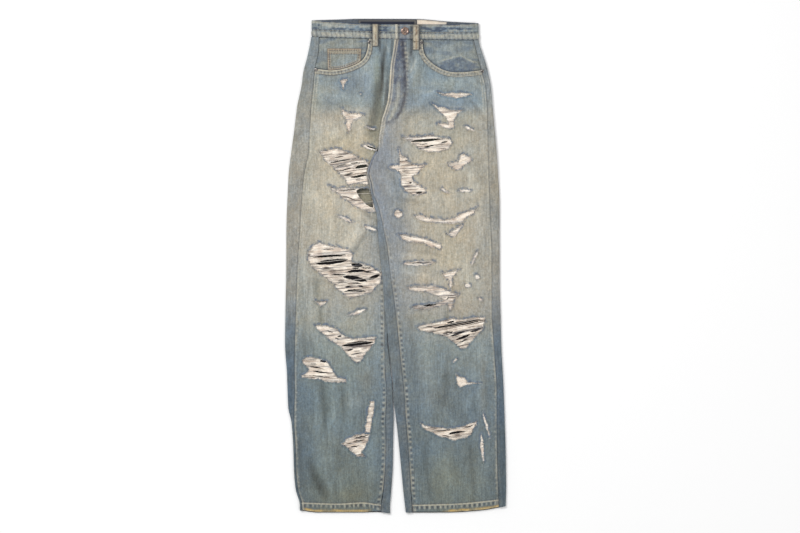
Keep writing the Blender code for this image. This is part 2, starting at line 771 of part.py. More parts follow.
def leg_levels():
    """The heights at which both the fronts and the backs have points along the seams."""
    spots = (YOKE_V, 70.0, LIFT_START_V - 4, 130.0, LIFT_FULL_V, CROTCH_V, 158.0, 166.0, 174.0, 183.0, 192.0)
    spots += (202.0, 218.0, LIFT_FADE_V, 352.0, LEGS_PART_V, 412.0, 502.0, 503.0, HEM_LEVEL_V)
    levels = []
    for first, last in zip(spots, spots[1:]):
        levels += walk(y_of(first), y_of(last), BACK_CELL)[:-1]
    return levels + [y_of(spots[-1])]


def levels_between(high, low):
    """The shared levels from just under high to just over low, downwards."""
    return [y for y in leg_levels() if low + 0.001 < y < high - 0.001]


def shifted_rows(leg, levels, shift, wrap_from):
    """Sections at these levels, each point moved along y by shift(x, level)."""
    rows = []
    for level in levels:
        wrap = v_of(level) >= wrap_from - 0.01
        rows.append(back_section(leg, level, lambda x, at=level: at + shift(x, at), wrap))
    return rows


def build_backs():
    hems = {"left": left_hem, "right": right_hem}
    for leg in ("left", "right"):
        hem = hems[leg]

        def shift(x, level, hem=hem):
            v = v_of(level)
            at_top = 1 - step((v - YOKE_V) / TOP_SHIFT_V)
            at_hem = step((v - HEM_SHIFT_START_V) / HEM_SHIFT_V)
            hem_shift = hem(x) - BACK_HEM_DROP * GRID - y_of(HEM_LEVEL_V)
            return (yoke_line(x) - y_of(YOKE_V) - SEAM_GAP) * at_top + hem_shift * at_hem

        sections = shifted_rows(leg, leg_levels(), shift, CROTCH_V)
        section_wall(f"back_panel_{leg}", sections, WALL, DENIM, leg == "right")

        def yoke_shift(x, level):
            share = (v_of(level) - YOKE_TOP_V) / (YOKE_V - YOKE_TOP_V)
            top_shift = band_low(x) - SEAM_GAP - y_of(YOKE_TOP_V)
            return top_shift * (1 - share) + (yoke_line(x) - y_of(YOKE_V)) * share

        levels = walk(y_of(YOKE_TOP_V), y_of(YOKE_V), BACK_CELL * 0.6)
        rows = shifted_rows(leg, levels, yoke_shift, NO_WRAP_V)
        section_wall(f"back_yoke_{leg}", rows, WALL, DENIM, leg == "right")


# Waistband


def band_right_z(x):
    """Lower face of the right front of the waistband, raised where it laps over the left end."""
    lap = 1 - step((x - x_of(BAND_LEFT_END_U) - 0.002) / BAND_LAP_RAMP)
    return BAND_FRONT_Z + (BAND_WALL + SEAM_GAP) * lap


def build_waistband():
    """One strip: from its end under the tab, round the back, to the tab on top."""
    low, half = FLUSH_LIFT, BAND_WALL / 2
    left_x, right_x = left_edge(y_of(30)), right_edge(y_of(30))
    path = []
    radius = (BAND_FRONT_Z - low) / 2
    left_centre = left_x + radius + half
    right_centre = right_x - radius - half
    for x in walk(x_of(BAND_LEFT_END_U), left_centre, TRIM_CELL)[:-1]:
        path.append((Vector((x, 0, BAND_FRONT_Z + half)), Vector((0, 0, 1)), "front"))
    for _, middle, normal, size in wrap_arc(left_centre, low + half, BAND_FRONT_Z + half, -1):
        path.append((Vector((left_centre, 0, middle)) + normal * size, normal, "side"))
    for x in walk(left_centre, right_centre, TRIM_CELL)[1:-1]:
        path.append((Vector((x, 0, low + half)), Vector((0, 0, -1)), "back"))
    for _, middle, normal, size in wrap_arc(right_centre, low + half, BAND_FRONT_Z + half, 1)[::-1]:
        path.append((Vector((right_centre, 0, middle)) + normal * size, normal, "side"))
    for x in walk(right_centre, x_of(BAND_TAB_END_U), 0.010)[1:]:
        path.append((Vector((x, 0, band_right_z(x) + half)), Vector((0, 0, 1)), "front"))
    sections = []
    for share in (0.0, 0.2, 0.4, 0.96, 1.0):
        row = []
        for point, normal, place in path:
            top = band_back_top(point.x) if place == "back" else band_front_top(point.x)
            y = band_low(point.x) * (1 - share) + top * share
            row.append((Vector((point.x, y, point.z)), normal))
        sections.append(row)
    section_wall("waistband", sections, BAND_WALL, DENIM, True)


# Pocket facings, coin pocket, back pockets


def facing_z(x, y):
    return floor_under(x, y) + WALL + SEAM_GAP


def build_facings():
    left_curve = moved_curve(pocket_curve(LEFT_POCKET, 14), -FACING_UNDER * GRID)
    left_curve = [p for p in left_curve if p[1] < band_low(p[0]) - 0.004]
    left_curve = [p for p in left_curve if p[0] > left_outer_seam(p[1]) + 0.006]
    low = left_curve[0][1]
    loop = [(left_outer_seam(y) + SEAM_GAP, y) for y in walk(y_of(38.6), low, EDGE_CELL)]
    loop += left_curve
    right_end = x_of(369.1 + FACING_UNDER)
    first_x = left_outer_seam(y_of(38)) + 0.008
    loop += [(x, band_low(x) - SEAM_GAP) for x in walk(right_end, first_x, EDGE_CELL)]
    flat_panel(
        "pocket_facing_left", loop, [], TRIM_CELL, facing_z, lambda x, y: FACING_WALL, DENIM
    )
    right_curve = moved_curve(pocket_curve(RIGHT_POCKET, 14), -FACING_UNDER * GRID)
    right_curve = [p for p in right_curve if p[1] < band_low(p[0]) - 0.004]
    right_curve = [p for p in right_curve if p[0] < right_outer_seam(p[1]) - 0.006]
    left_end = x_of(422.3 - FACING_UNDER)
    last_x = right_outer_seam(y_of(40)) - 0.008
    loop = [(x, band_low(x) - SEAM_GAP) for x in walk(last_x, left_end, EDGE_CELL)]
    loop += right_curve
    low = right_curve[-1][1]
    loop += [(right_outer_seam(y) - SEAM_GAP, y) for y in walk(low, y_of(41.2), EDGE_CELL)]
    flat_panel(
        "pocket_facing_right", loop, [], TRIM_CELL, facing_z, lambda x, y: FACING_WALL, DENIM
    )


def build_coin_pocket():
    """A small pocket on the left facing, its lower side cut off by the opening of the big one."""
    left_x, right_x = x_of(COIN_POCKET[0].u), x_of(COIN_POCKET[1].u)
    top_y = y_of(COIN_POCKET[0].v)
    curve = [p for p in pocket_curve(LEFT_POCKET, 40) if left_x < p[0] < right_x - 0.0005]
    curve = moved_curve(curve, 2.0 * SEAM_GAP)
    loop = [(x, top_y) for x in walk(right_x, left_x, EDGE_CELL)]
    loop += [(x, y) for x, y in curve[::2]]
    loop = [p for k, p in enumerate(loop) if k == 0 or math.dist(p, loop[k - 1]) > 0.002]

    def under(x, y):
        return facing_z(x, y) + FACING_WALL + SEAM_GAP

    def thick(x, y):
        return TRIM_WALL + COIN_HEM_EXTRA * step((y - (top_y - COIN_HEM)) / HEM_STEP)

    flat_panel("coin_pocket", loop, [], COIN_CELL, under, thick, DENIM)


def build_back_pockets():
    for pocket in BACK_POCKETS:
        x0, x1 = x_of(pocket.u0), x_of(pocket.u1)
        y0, y1 = y_of(pocket.v0), y_of(pocket.v1)
        middle = (x0 + x1) / 2
        loop = [(x0 + POCKET_TAPER, y1), (middle, y1 - POCKET_POINT_DROP), (x1 - POCKET_TAPER, y1)]
        loop += [(x1, y0), (x0, y0)]
        flat_panel(pocket.name, loop, [], 0.024, lambda x, y: 0.0, lambda x, y: TRIM_WALL, DENIM)


# Belt loops, labels, button, rivets


def band_top_z(x):
    if x > x_of(BAND_TAB_END_U):
        return band_right_z(x) + BAND_WALL
    return BAND_FRONT_Z + BAND_WALL


def front_surface_z(x, y):
    """The highest cloth at a place on the front."""
    if y > band_low(x):
        return band_top_z(x)
    if x > fly_edge(y):
        return right_front_z(x, y) + WALL
    return left_front_z(x, y) + WALL


def build_loops():
    for loop in FRONT_LOOPS:
        sections = []
        rows = [loop.v0, 30.0, 37.0, 39.2, 41.5, 43.5, loop.v1]
        across_it = (0.0, 0.5, 1.0)
        for v in rows:
            row = []
            for share in across_it:
                x = x_of(loop.u0 + (loop.u1 - loop.u0) * share)
                y = y_of(v)
                near = [front_surface_z(x, y + offset) for offset in (-0.004, -0.002, 0.0, 0.002, 0.004)]
                z = max(near) + 2 * SEAM_GAP + LOOP_WALL / 2
                row.append((Vector((x, y, z)), Vector((0, 0, 1))))
            sections.append(row)
        section_wall(loop.name, sections, LOOP_WALL, DENIM, True)
    for loop in BACK_LOOPS:
        box = [(x_of(loop.u0), y_of(loop.v1)), (x_of(loop.u1), y_of(loop.v1))]
        box += [(x_of(loop.u1), y_of(loop.v0)), (x_of(loop.u0), y_of(loop.v0))]
        flat_panel(loop.name, box, [], FLAT_CELL, lambda x, y: 0.0, lambda x, y: TRIM_WALL, DENIM)


def build_labels():
    for label, colour in zip(LABELS, (LABEL_DARK, LABEL_CREAM)):
        top = [(x, band_back_top(x) - 0.0012) for x in walk(x_of(label.u1), x_of(label.u0), TRIM_CELL)]
        low = [(x, y_of(label.v1)) for x in walk(x_of(label.u0), x_of(label.u1), TRIM_CELL)]
        base = FLUSH_LIFT + BAND_WALL + SEAM_GAP
        flat_panel(
            label.name, low + top, [], FLAT_CELL, lambda x, y, z=base: z, lambda x, y: LABEL_WALL, colour
        )


def turned(name, u, v, base, profile, colour):
    """A round part from (radius, height) rows, closed at its centre on both faces."""
    points, faces = [], []
    x, y = x_of(u), y_of(v)
    for radius, height in profile:
        for side in range(ROUND_SIDES):
            angle = 2 * math.pi * side / ROUND_SIDES
            points.append((x + radius * math.cos(angle), y + radius * math.sin(angle), base + height))
    for ring in range(len(profile) - 1):
        for side in range(ROUND_SIDES):
            after = (side + 1) % ROUND_SIDES
            a, b = ring * ROUND_SIDES + side, ring * ROUND_SIDES + after
            faces.append((a, b, b + ROUND_SIDES, a + ROUND_SIDES))
    last = (len(profile) - 1) * ROUND_SIDES
    faces.append(tuple(reversed(range(ROUND_SIDES))))
    faces.append(tuple(last + side for side in range(ROUND_SIDES)))
    mesh = bpy.data.meshes.new(name)
    mesh.from_pydata(points, [], faces)
    mesh.materials.append(material_for(colour))
    made = bpy.data.objects.new(name, mesh)
    bpy.context.collection.objects.link(made)


def build_metal():
    base = band_right_z(x_of(BUTTON.u - 3)) + BAND_WALL + SEAM_GAP
    r, h = BUTTON_RADIUS, BUTTON_HEIGHT
    profile = (
        (r * 0.80, 0.0), (r * 0.98, h * 0.25), (r, h * 0.62), (r * 0.93, h * 0.93),
        (r * 0.84, h), (r * 0.76, h * 0.90), (r * 0.70, h * 0.74), (r * 0.30, h * 0.70),
    )
    turned(BUTTON.name, BUTTON.u, BUTTON.v, base, profile, METAL)
    for rivet in RIVETS:
        x, y = x_of(rivet.u), y_of(rivet.v)
        reach = RIVET_RADIUS
        spots = [(x + reach * math.cos(a), y + reach * math.sin(a)) for a in np.linspace(0, 6, 9)]
        base = max(front_surface_z(px, py) for px, py in [*spots, (x, y)]) + SEAM_GAP
        r, h = RIVET_RADIUS, RIVET_HEIGHT
        profile = ((r * 0.9, 0.0), (r, h * 0.35), (r * 0.86, h * 0.8), (r * 0.5, h))
        turned(rivet.name, rivet.u, rivet.v, base, profile, METAL)


def main():
    for found in list(bpy.data.objects):
        bpy.data.objects.remove(found, do_unlink=True)
    build_fronts()
    build_backs()
    build_waistband()
    build_facings()
    build_coin_pocket()
    build_back_pockets()
    build_loops()
    build_labels()
    build_metal()


main()
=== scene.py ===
"""Looks of the ripped jeans: cloth shells, rips with their white threads, stitching and metal.

Metres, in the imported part's frame. The pattern tables are in squares of the pattern grid,
u to the right and v down from the waist to the hems.
"""

import logging
import math
from collections.abc import Callable, Iterable, Sequence
from dataclasses import dataclass, field
from enum import Enum
from functools import lru_cache

import bmesh
import bpy
import numpy as np
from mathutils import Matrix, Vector
from mathutils.geometry import delaunay_2d_cdt


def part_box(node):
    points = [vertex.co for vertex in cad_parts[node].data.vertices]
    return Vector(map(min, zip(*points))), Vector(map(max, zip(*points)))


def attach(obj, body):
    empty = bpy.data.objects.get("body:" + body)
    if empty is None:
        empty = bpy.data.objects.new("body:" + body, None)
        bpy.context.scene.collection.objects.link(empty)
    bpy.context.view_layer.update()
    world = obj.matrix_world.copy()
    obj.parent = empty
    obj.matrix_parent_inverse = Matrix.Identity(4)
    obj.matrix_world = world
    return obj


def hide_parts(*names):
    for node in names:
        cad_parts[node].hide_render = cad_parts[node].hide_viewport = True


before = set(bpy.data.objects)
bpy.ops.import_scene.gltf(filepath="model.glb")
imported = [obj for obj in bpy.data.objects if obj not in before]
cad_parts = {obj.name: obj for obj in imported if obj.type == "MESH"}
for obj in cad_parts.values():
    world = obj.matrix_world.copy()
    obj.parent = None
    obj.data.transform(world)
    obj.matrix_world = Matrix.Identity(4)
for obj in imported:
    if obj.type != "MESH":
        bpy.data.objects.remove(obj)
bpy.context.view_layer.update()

LOG = logging.getLogger("jeans")
Rgb = tuple[float, float, float]
Spot = tuple[float, float]
Array = np.ndarray
Numbers = float | np.ndarray
Surface = Callable[[Array, Array], Array]
Thread = tuple[Array, float, Array]

GRID = 0.00216
GRID_U = 395.61
GRID_V = 266.13
WALL = 0.0016
SHELL = 0.0013
LAYER_GAP = 0.0008
SEAM_GAP = 0.0003
FACING_WALL = 0.0012
HIP_LIFT = 0.0010
HIP_END_V = 84.0
HIP_RAMP = 22.0
FLUSH_LIFT = 0.0015
EDGE_PUFF = 0.0016
EDGE_PUFF_WIDTH = 0.014
LEAST_WRAP = 0.0042
LEG_STACK = 2 * WALL + LAYER_GAP + SEAM_GAP
LAP_STACK = WALL + SEAM_GAP
BAND_WALL = 0.0024
BAND_FRONT_Z = 0.0052
BAND_LEFT_END_U = 411.0
BAND_TAB_END_U = 394.9
BAND_LAP_RAMP = 0.030
CENTRE_BACK_U = 390.0
CROTCH_V = 150.0
LIFT_START_V = 118.0
LIFT_FULL_V = 139.0
LIFT_FADE_V = 338.0
LIFT_END_V = 366.0
LIFT_RAMP = 0.040
YOKE_V = 55.0
YOKE_DIP = 7.0
SEAT_END_V = 158.0
SEAT_RAMP = 40.0
STUDIO_GAIN = 0.84
BACK_HEM_DROP = 0.9
BACK_CLEAR = 0.0001
ARC_POINTS = 9
FACING_UNDER = 4.6
POCKET_BAND = 0.0085
POCKET_BAND_EDGE = 0.0016
SHARP_ANGLE = math.radians(55)


class Leg(Enum):
    """The two legs, named as the viewer sees them."""

    LEFT = "left"
    RIGHT = "right"

    @property
    def inward(self) -> int:
        """1 where the middle of the jeans is to the right, -1 where it is to the left."""
        return 1 if self is Leg.LEFT else -1


L, R = Leg.LEFT, Leg.RIGHT


def by_leg(kind: Callable[..., object], left: Sequence[tuple], right: Sequence[tuple]) -> tuple:
    """One object for each row of a table, the left leg's rows before the right leg's."""
    return tuple(kind(leg, *row) for leg, rows in ((L, left), (R, right)) for row in rows)


# Places on the pattern grid


def x_of(u: Numbers) -> Numbers:
    """Metres to the right for grid squares u."""
    return (u - GRID_U) * GRID


def y_of(v: Numbers) -> Numbers:
    """Metres towards the waist for grid squares v."""
    return (GRID_V - v) * GRID


def u_of(x: Numbers) -> Numbers:
    """Grid squares for metres to the right."""
    return x / GRID + GRID_U


def v_of(y: Numbers) -> Numbers:
    """Grid squares for metres towards the waist."""
    return GRID_V - y / GRID


def step(t: Numbers) -> Numbers:
    """A smooth step."""
    t = np.clip(t, 0.0, 1.0)
    return t * t * (3 - 2 * t)


@lru_cache(maxsize=None)
def linear(colour: Rgb) -> Array:
    """A colour as it is seen under the studio's light, turned to the cloth's own linear colour."""
    share = np.asarray(colour, float) / 255.0
    return STUDIO_GAIN * np.where(share <= 0.04045, share / 12.92, ((share + 0.055) / 1.055) ** 2.4)


@dataclass(frozen=True)
class PatternLine:
    """A smooth line of the pattern through (knot, value) rows that never overshoots."""

    rows: tuple[Spot, ...]

    def at(self, where: Numbers) -> Array:
        """The line's value.

        Args:
            where: knots at which it is wanted.

        Returns:
            One value for each.
        """
        knots = np.array([row[0] for row in self.rows], float)
        values = np.array([row[1] for row in self.rows], float)
        slopes = np.diff(values) / np.diff(knots)
        a, b = slopes[:-1], slopes[1:]
        same = a * b > 0
        inner = np.where(same, 2 * a * b / np.where(same, a + b, 1.0), 0.0)
        tangents = np.concatenate([slopes[:1], inner, slopes[-1:]])
        t = np.clip(np.asarray(where, float), knots[0], knots[-1])
        k = np.clip(np.searchsorted(knots, t, side="right") - 1, 0, len(knots) - 2)
        width = knots[k + 1] - knots[k]
        s = (t - knots[k]) / width
        return (
            values[k] * (1 + 2 * s) * (1 - s) ** 2
            + tangents[k] * width * s * (1 - s) ** 2
            + values[k + 1] * s * s * (3 - 2 * s)
            + tangents[k + 1] * width * s * s * (s - 1)
        )

    def x_at(self, y: Numbers) -> Array:
        """For a line down the leg: metres to the right at these heights."""
        return x_of(self.at(v_of(np.asarray(y, float))))

    def y_at(self, x: Numbers) -> Array:
        """For a line across the garment: metres towards the waist at these places."""
        return y_of(self.at(u_of(np.asarray(x, float))))


LEFT_EDGE = PatternLine((
    (19, 312.3), (38, 311.2), (57.7, 307), (71.7, 303.5), (87, 301.4), (107, 297.1), (129, 294.5),
    (150, 291.6), (174, 288.7), (196, 287.6), (226, 286.5), (274, 286.2), (311, 285.5), (344, 285.1),
    (373, 287), (407, 288.3), (423, 291.6), (448, 293.3), (473, 294.1), (489.5, 295.8), (505, 299.9),
    (515, 299.9),
))
LEFT_OUTSEAM = PatternLine((
    (38, 318.9), (48, 318.6), (66, 315.1), (87, 313), (107, 311), (129, 309.6), (151, 308.5),
    (176, 303.7), (207, 301), (240, 299), (260, 297.5), (322, 295.3), (368, 294.2), (390, 294.5),
    (415, 293.9), (515, 293.9),
))
LEFT_INSEAM = PatternLine((
    (140, 384.9), (329, 384.9), (373, 385.2), (390, 387), (423, 385.7), (448, 386.1), (469, 385.3),
    (489.5, 383.6), (505, 381.2), (515, 381.2),
))
LEFT_FOLD = PatternLine((
    (100, 390), (304, 390), (322, 389), (338, 387.4), (352, 388.8), (373, 391), (384, 392.3),
    (401, 392.8), (415, 393.6), (440, 393.2), (465, 392.8), (489.5, 391.1), (505, 389.9), (515, 391),
))
LEFT_FRONT_END = PatternLine(
    ((36, 400.5), (66, 398.5), (87, 395.5), (107, 391), (120, 387.5), (140, 384.9))
)
RIGHT_EDGE = PatternLine((
    (19, 478.3), (40.2, 478.9), (52, 482), (65.4, 486.2), (77.4, 489), (89.3, 491.1), (110, 492.8),
    (152, 496.6), (174, 498), (204, 499.5), (274, 499.6), (311, 500.4), (351, 501.5), (384, 503.3),
    (423, 504.8), (456, 505.7), (489.5, 506.1), (515, 505.5),
))
RIGHT_OUTSEAM = PatternLine((
    (38, 473.4), (59, 478.5), (71, 481.8), (89, 485.9), (110, 487.4), (146, 488.2), (207, 490),
    (260, 492), (311, 492), (344, 494.1), (366, 495.6), (390, 497), (423, 497), (448, 497.4),
    (473, 497.8), (492, 498.6), (515, 499.2),
))
RIGHT_FOLD = PatternLine((
    (139, 390.3), (150, 376.7), (165, 369.3), (174, 367.1), (183, 369.3), (192, 370.8), (207, 374.5),
    (218, 377.2), (233, 377.8), (248, 379), (267, 381.2), (281, 382.7), (304, 384.1), (322, 386.3),
    (337, 387.8), (359, 390), (384, 392.9), (401, 393.3), (411, 395), (431.5, 397.5), (456, 400),
    (481, 402.4), (502, 404.9), (515, 406.4),
))
RIGHT_INSEAM = PatternLine((
    (150, 376.8), (174, 367.1), (192, 372), (202, 376.7), (218, 381.1), (233, 384.1), (248, 387.1),
    (267, 389.3), (289, 392.2), (304, 394.4), (322, 396.6), (344, 398.8), (366, 401), (390, 403.7),
    (415, 405.3), (440, 407.4), (465, 409.1), (489.5, 410.7), (504, 412), (515, 412.6),
))
FLY_EDGE = PatternLine((
    (36, 394.8), (49.3, 393.3), (66, 390.5), (87, 389.1), (100, 387.7), (111, 384.7), (120, 381.8),
    (129, 380.3), (140, 378.8), (150, 378.8),
))
FLY_STITCH = PatternLine((
    (40, 403.4), (55, 404.4), (66, 405.5), (87, 406.2), (100, 405.3), (109, 402.3), (116.5, 398.4),
    (121, 393.5),
))
LEFT_HEM = PatternLine(
    ((285, 508.5), (299.9, 509.4), (318, 511.5), (363, 511.5), (375.4, 511), (393, 512.7))
)
LEFT_HEM_TOP = PatternLine(
    ((285, 501.5), (299.9, 502.3), (338, 503.6), (362.9, 502.4), (381.2, 504.6), (393, 504.6))
)
RIGHT_HEM = PatternLine(((404, 511.6), (448, 511.5), (481.2, 509.4), (508, 504.8)))
RIGHT_HEM_TOP = PatternLine(((404, 505.2), (456.3, 503.6), (508, 498.6)))
HEM = {L: LEFT_HEM, R: RIGHT_HEM}
HEM_TOP = {L: LEFT_HEM_TOP, R: RIGHT_HEM_TOP}
EDGE = {L: LEFT_EDGE, R: RIGHT_EDGE}
FOLD = {L: LEFT_FOLD, R: RIGHT_FOLD}
BAND_LOW = PatternLine(((311, 37.2), (395, 39.3), (480, 40.3)))
BAND_FRONT_TOP = PatternLine(
    ((311, 20.5), (340, 22.4), (358, 23.7), (397, 24.7), (447, 24.7), (465, 24.1), (480, 23.3))
)
BAND_BACK_TOP = PatternLine(
    ((311, 20.5), (340, 19.6), (358, 19), (416, 19.2), (447, 21.6), (480, 23.3))
)
LEFT_POCKET: tuple[Spot, ...] = (
    (313, 69.0), (316.1, 69), (330.2, 71), (342, 69.6), (353.3, 66), (363.2, 60.5), (367.4, 52), (369.1, 36),
)
FACING_RUMPLE: tuple[Spot, ...] = ((438.5, 62.5), (447, 59), (455, 57.5), (461, 55.4), (466, 59), (474, 62.5))
RIGHT_POCKET: tuple[Spot, ...] = (
    (422.3, 36), (423.1, 53.5), (430, 62), (438.5, 68.2), (448.3, 72), (458.2, 72.8), (469.4, 72), (485, 70),
)
POCKET = {L: LEFT_POCKET, R: RIGHT_POCKET}


@dataclass(frozen=True)
class Crease:
    """A soft ridge of the cloth, or a trough where its height is below zero."""

    leg: Leg
    u0: float
    v0: float
    u1: float
    v1: float
    width: float
    height: float

    def shape(self, x: Array, y: Array, ends: float = 0.25) -> Array:
        """How strongly the crease shows at each place.

        Args:
            x: metres to the right.
            y: metres towards the waist.
            ends: how far it runs on past its two ends, as a share of its length.

        Returns:
            0 to 1 for each place.
        """
        ax, ay = x_of(self.u0), y_of(self.v0)
        dx, dy = x_of(self.u1) - ax, y_of(self.v1) - ay
        length = dx * dx + dy * dy
        t = ((x - ax) * dx + (y - ay) * dy) / length
        off = np.hypot(x - ax - t * dx, y - ay - t * dy)
        faded = step((t + ends) / 0.4) * step((1 + ends - t) / 0.4)
        return faded * np.exp(-((off / self.width) ** 2))


BIG_FOLDS: tuple[Crease, ...] = by_leg(Crease, (
    (368, 58, 362, 130, 0.016, 0.0030), (360, 226, 344, 250, 0.016, 0.0026),
    (350, 208, 372, 224, 0.014, 0.0020), (306, 120, 338, 138, 0.015, 0.0016),
    (304, 190, 330, 206, 0.015, 0.0018), (332, 392, 326, 472, 0.017, 0.0026),
    (352, 380, 349, 430, 0.015, 0.0020), (374, 442, 369, 494, 0.015, 0.0018),
    (322, 462, 309, 496, 0.014, 0.0024),
), (
    (428, 84, 470, 80, 0.014, 0.0018), (392, 176, 440, 204, 0.016, 0.0022),
    (470, 168, 480, 236, 0.016, 0.0022), (404, 254, 436, 259, 0.014, 0.0018),
    (426, 346, 430, 412, 0.016, 0.0026), (478, 350, 470, 410, 0.015, 0.0022),
    (440, 446, 452, 498, 0.016, 0.0022), (486, 450, 478, 496, 0.014, 0.0018),
))

CREASES: tuple[Crease, ...] = by_leg(Crease, (
    (384.5, 50, 380.5, 88, 0.0042, -0.0022), (379.5, 86, 371.5, 132, 0.0075, -0.0018),
    (377, 54, 371, 92, 0.0060, 0.0014), (388.5, 50, 385.5, 86, 0.0032, 0.0012),
    (352, 130, 330, 148, 0.0060, -0.0008), (349, 126, 326, 142, 0.0050, 0.0005),
    (366, 232, 353.5, 252, 0.0028, -0.0012), (359, 228, 347, 244, 0.0060, 0.0008),
    (361, 211, 380, 223, 0.0036, -0.0009), (317, 278, 317, 300, 0.0045, -0.0009),
    (320, 306, 321, 328, 0.0040, -0.0010), (312, 280, 311, 322, 0.0045, 0.0006),
    (365, 298, 355, 318, 0.0028, -0.0009), (369, 299, 360, 315, 0.0028, 0.0008),
    (303, 334, 306, 358, 0.0040, -0.0010), (310, 338, 314, 356, 0.0036, -0.0008),
    (322, 384, 327, 442, 0.0055, -0.0012), (315, 386, 317, 434, 0.0042, 0.0008),
    (334, 384, 334, 420, 0.0040, 0.0006), (341, 386, 345, 424, 0.0042, -0.0010),
    (309, 464, 325, 496, 0.0080, -0.0018), (318, 462, 332, 490, 0.0070, 0.0010),
    (336, 470, 344, 500, 0.0070, 0.0008), (299, 440, 304, 490, 0.0050, -0.0008),
    (316, 92, 346, 98, 0.0055, 0.0009), (316, 103, 352, 107, 0.0050, -0.0007),
    (352, 76, 368, 104, 0.0060, -0.0006), (303, 230, 306, 300, 0.0050, 0.0007),
    (376, 190, 382, 210, 0.0042, -0.0007), (330, 205, 333, 240, 0.0050, 0.0005),
    (340, 444, 336, 490, 0.0060, -0.0006),
), (
    (408, 110, 436, 90, 0.0050, 0.0011), (406, 119, 440, 98, 0.0050, -0.0009),
    (411, 84, 418, 58, 0.0050, 0.0012), (418, 90, 424, 62, 0.0050, -0.0007),
    (466, 76, 486, 92, 0.0045, 0.0007), (470, 100, 490, 126, 0.0042, -0.0009),
    (474, 98, 492, 122, 0.0042, 0.0009), (384, 166, 402, 190, 0.0060, -0.0010),
    (380, 176, 396, 200, 0.0050, 0.0009), (392, 198, 430, 204, 0.0060, -0.0009),
    (446, 176, 450, 206, 0.0070, 0.0008), (470, 168, 484, 158, 0.0050, -0.0007),
    (404, 250, 440, 255, 0.0050, -0.0009), (404, 272, 434, 277, 0.0050, 0.0008),
    (466, 250, 470, 300, 0.0070, 0.0007), (410, 318, 416, 372, 0.0060, -0.0009),
    (448, 312, 447, 330, 0.0035, -0.0009), (448, 352, 444, 410, 0.0060, -0.0009),
    (482, 340, 480, 408, 0.0060, 0.0010), (470, 442, 474, 494, 0.0070, -0.0011),
    (424, 446, 430, 494, 0.0060, -0.0010), (444, 410, 452, 424, 0.0050, 0.0006),
    (436, 378, 462, 372, 0.0050, -0.0006),
))


@lru_cache(maxsize=None)
def lattice_of(seed: int) -> Array:
    """Random values on a square lattice."""
    return np.random.default_rng(seed).random((256, 256)) * 2 - 1


@dataclass(frozen=True)
class CellNoise:
    """Smooth random numbers on a lattice, the same at every run."""

    seed: int
    cell_x: float
    cell_y: float
    turn: float = 0.0

    def at(self, x: Numbers, y: Numbers) -> Array:
        """The noise at each place.

        Args:
            x: metres to the right.
            y: metres towards the waist.

        Returns:
            Values from -1 to 1.
        """
        lattice = lattice_of(self.seed)
        cos, sin = math.cos(self.turn), math.sin(self.turn)
        a = (np.asarray(x) * cos + np.asarray(y) * sin) / self.cell_x + 64
        b = (-np.asarray(x) * sin + np.asarray(y) * cos) / self.cell_y + 64
        i, j = np.floor(a).astype(int), np.floor(b).astype(int)
        s, t = a - i, b - j
        s, t = s * s * (3 - 2 * s), t * t * (3 - 2 * t)
        i0, i1, j0, j1 = i % 256, (i + 1) % 256, j % 256, (j + 1) % 256
        low = lattice[i0, j0] * (1 - s) + lattice[i1, j0] * s
        high = lattice[i0, j1] * (1 - s) + lattice[i1, j1] * s
        return low * (1 - t) + high * t


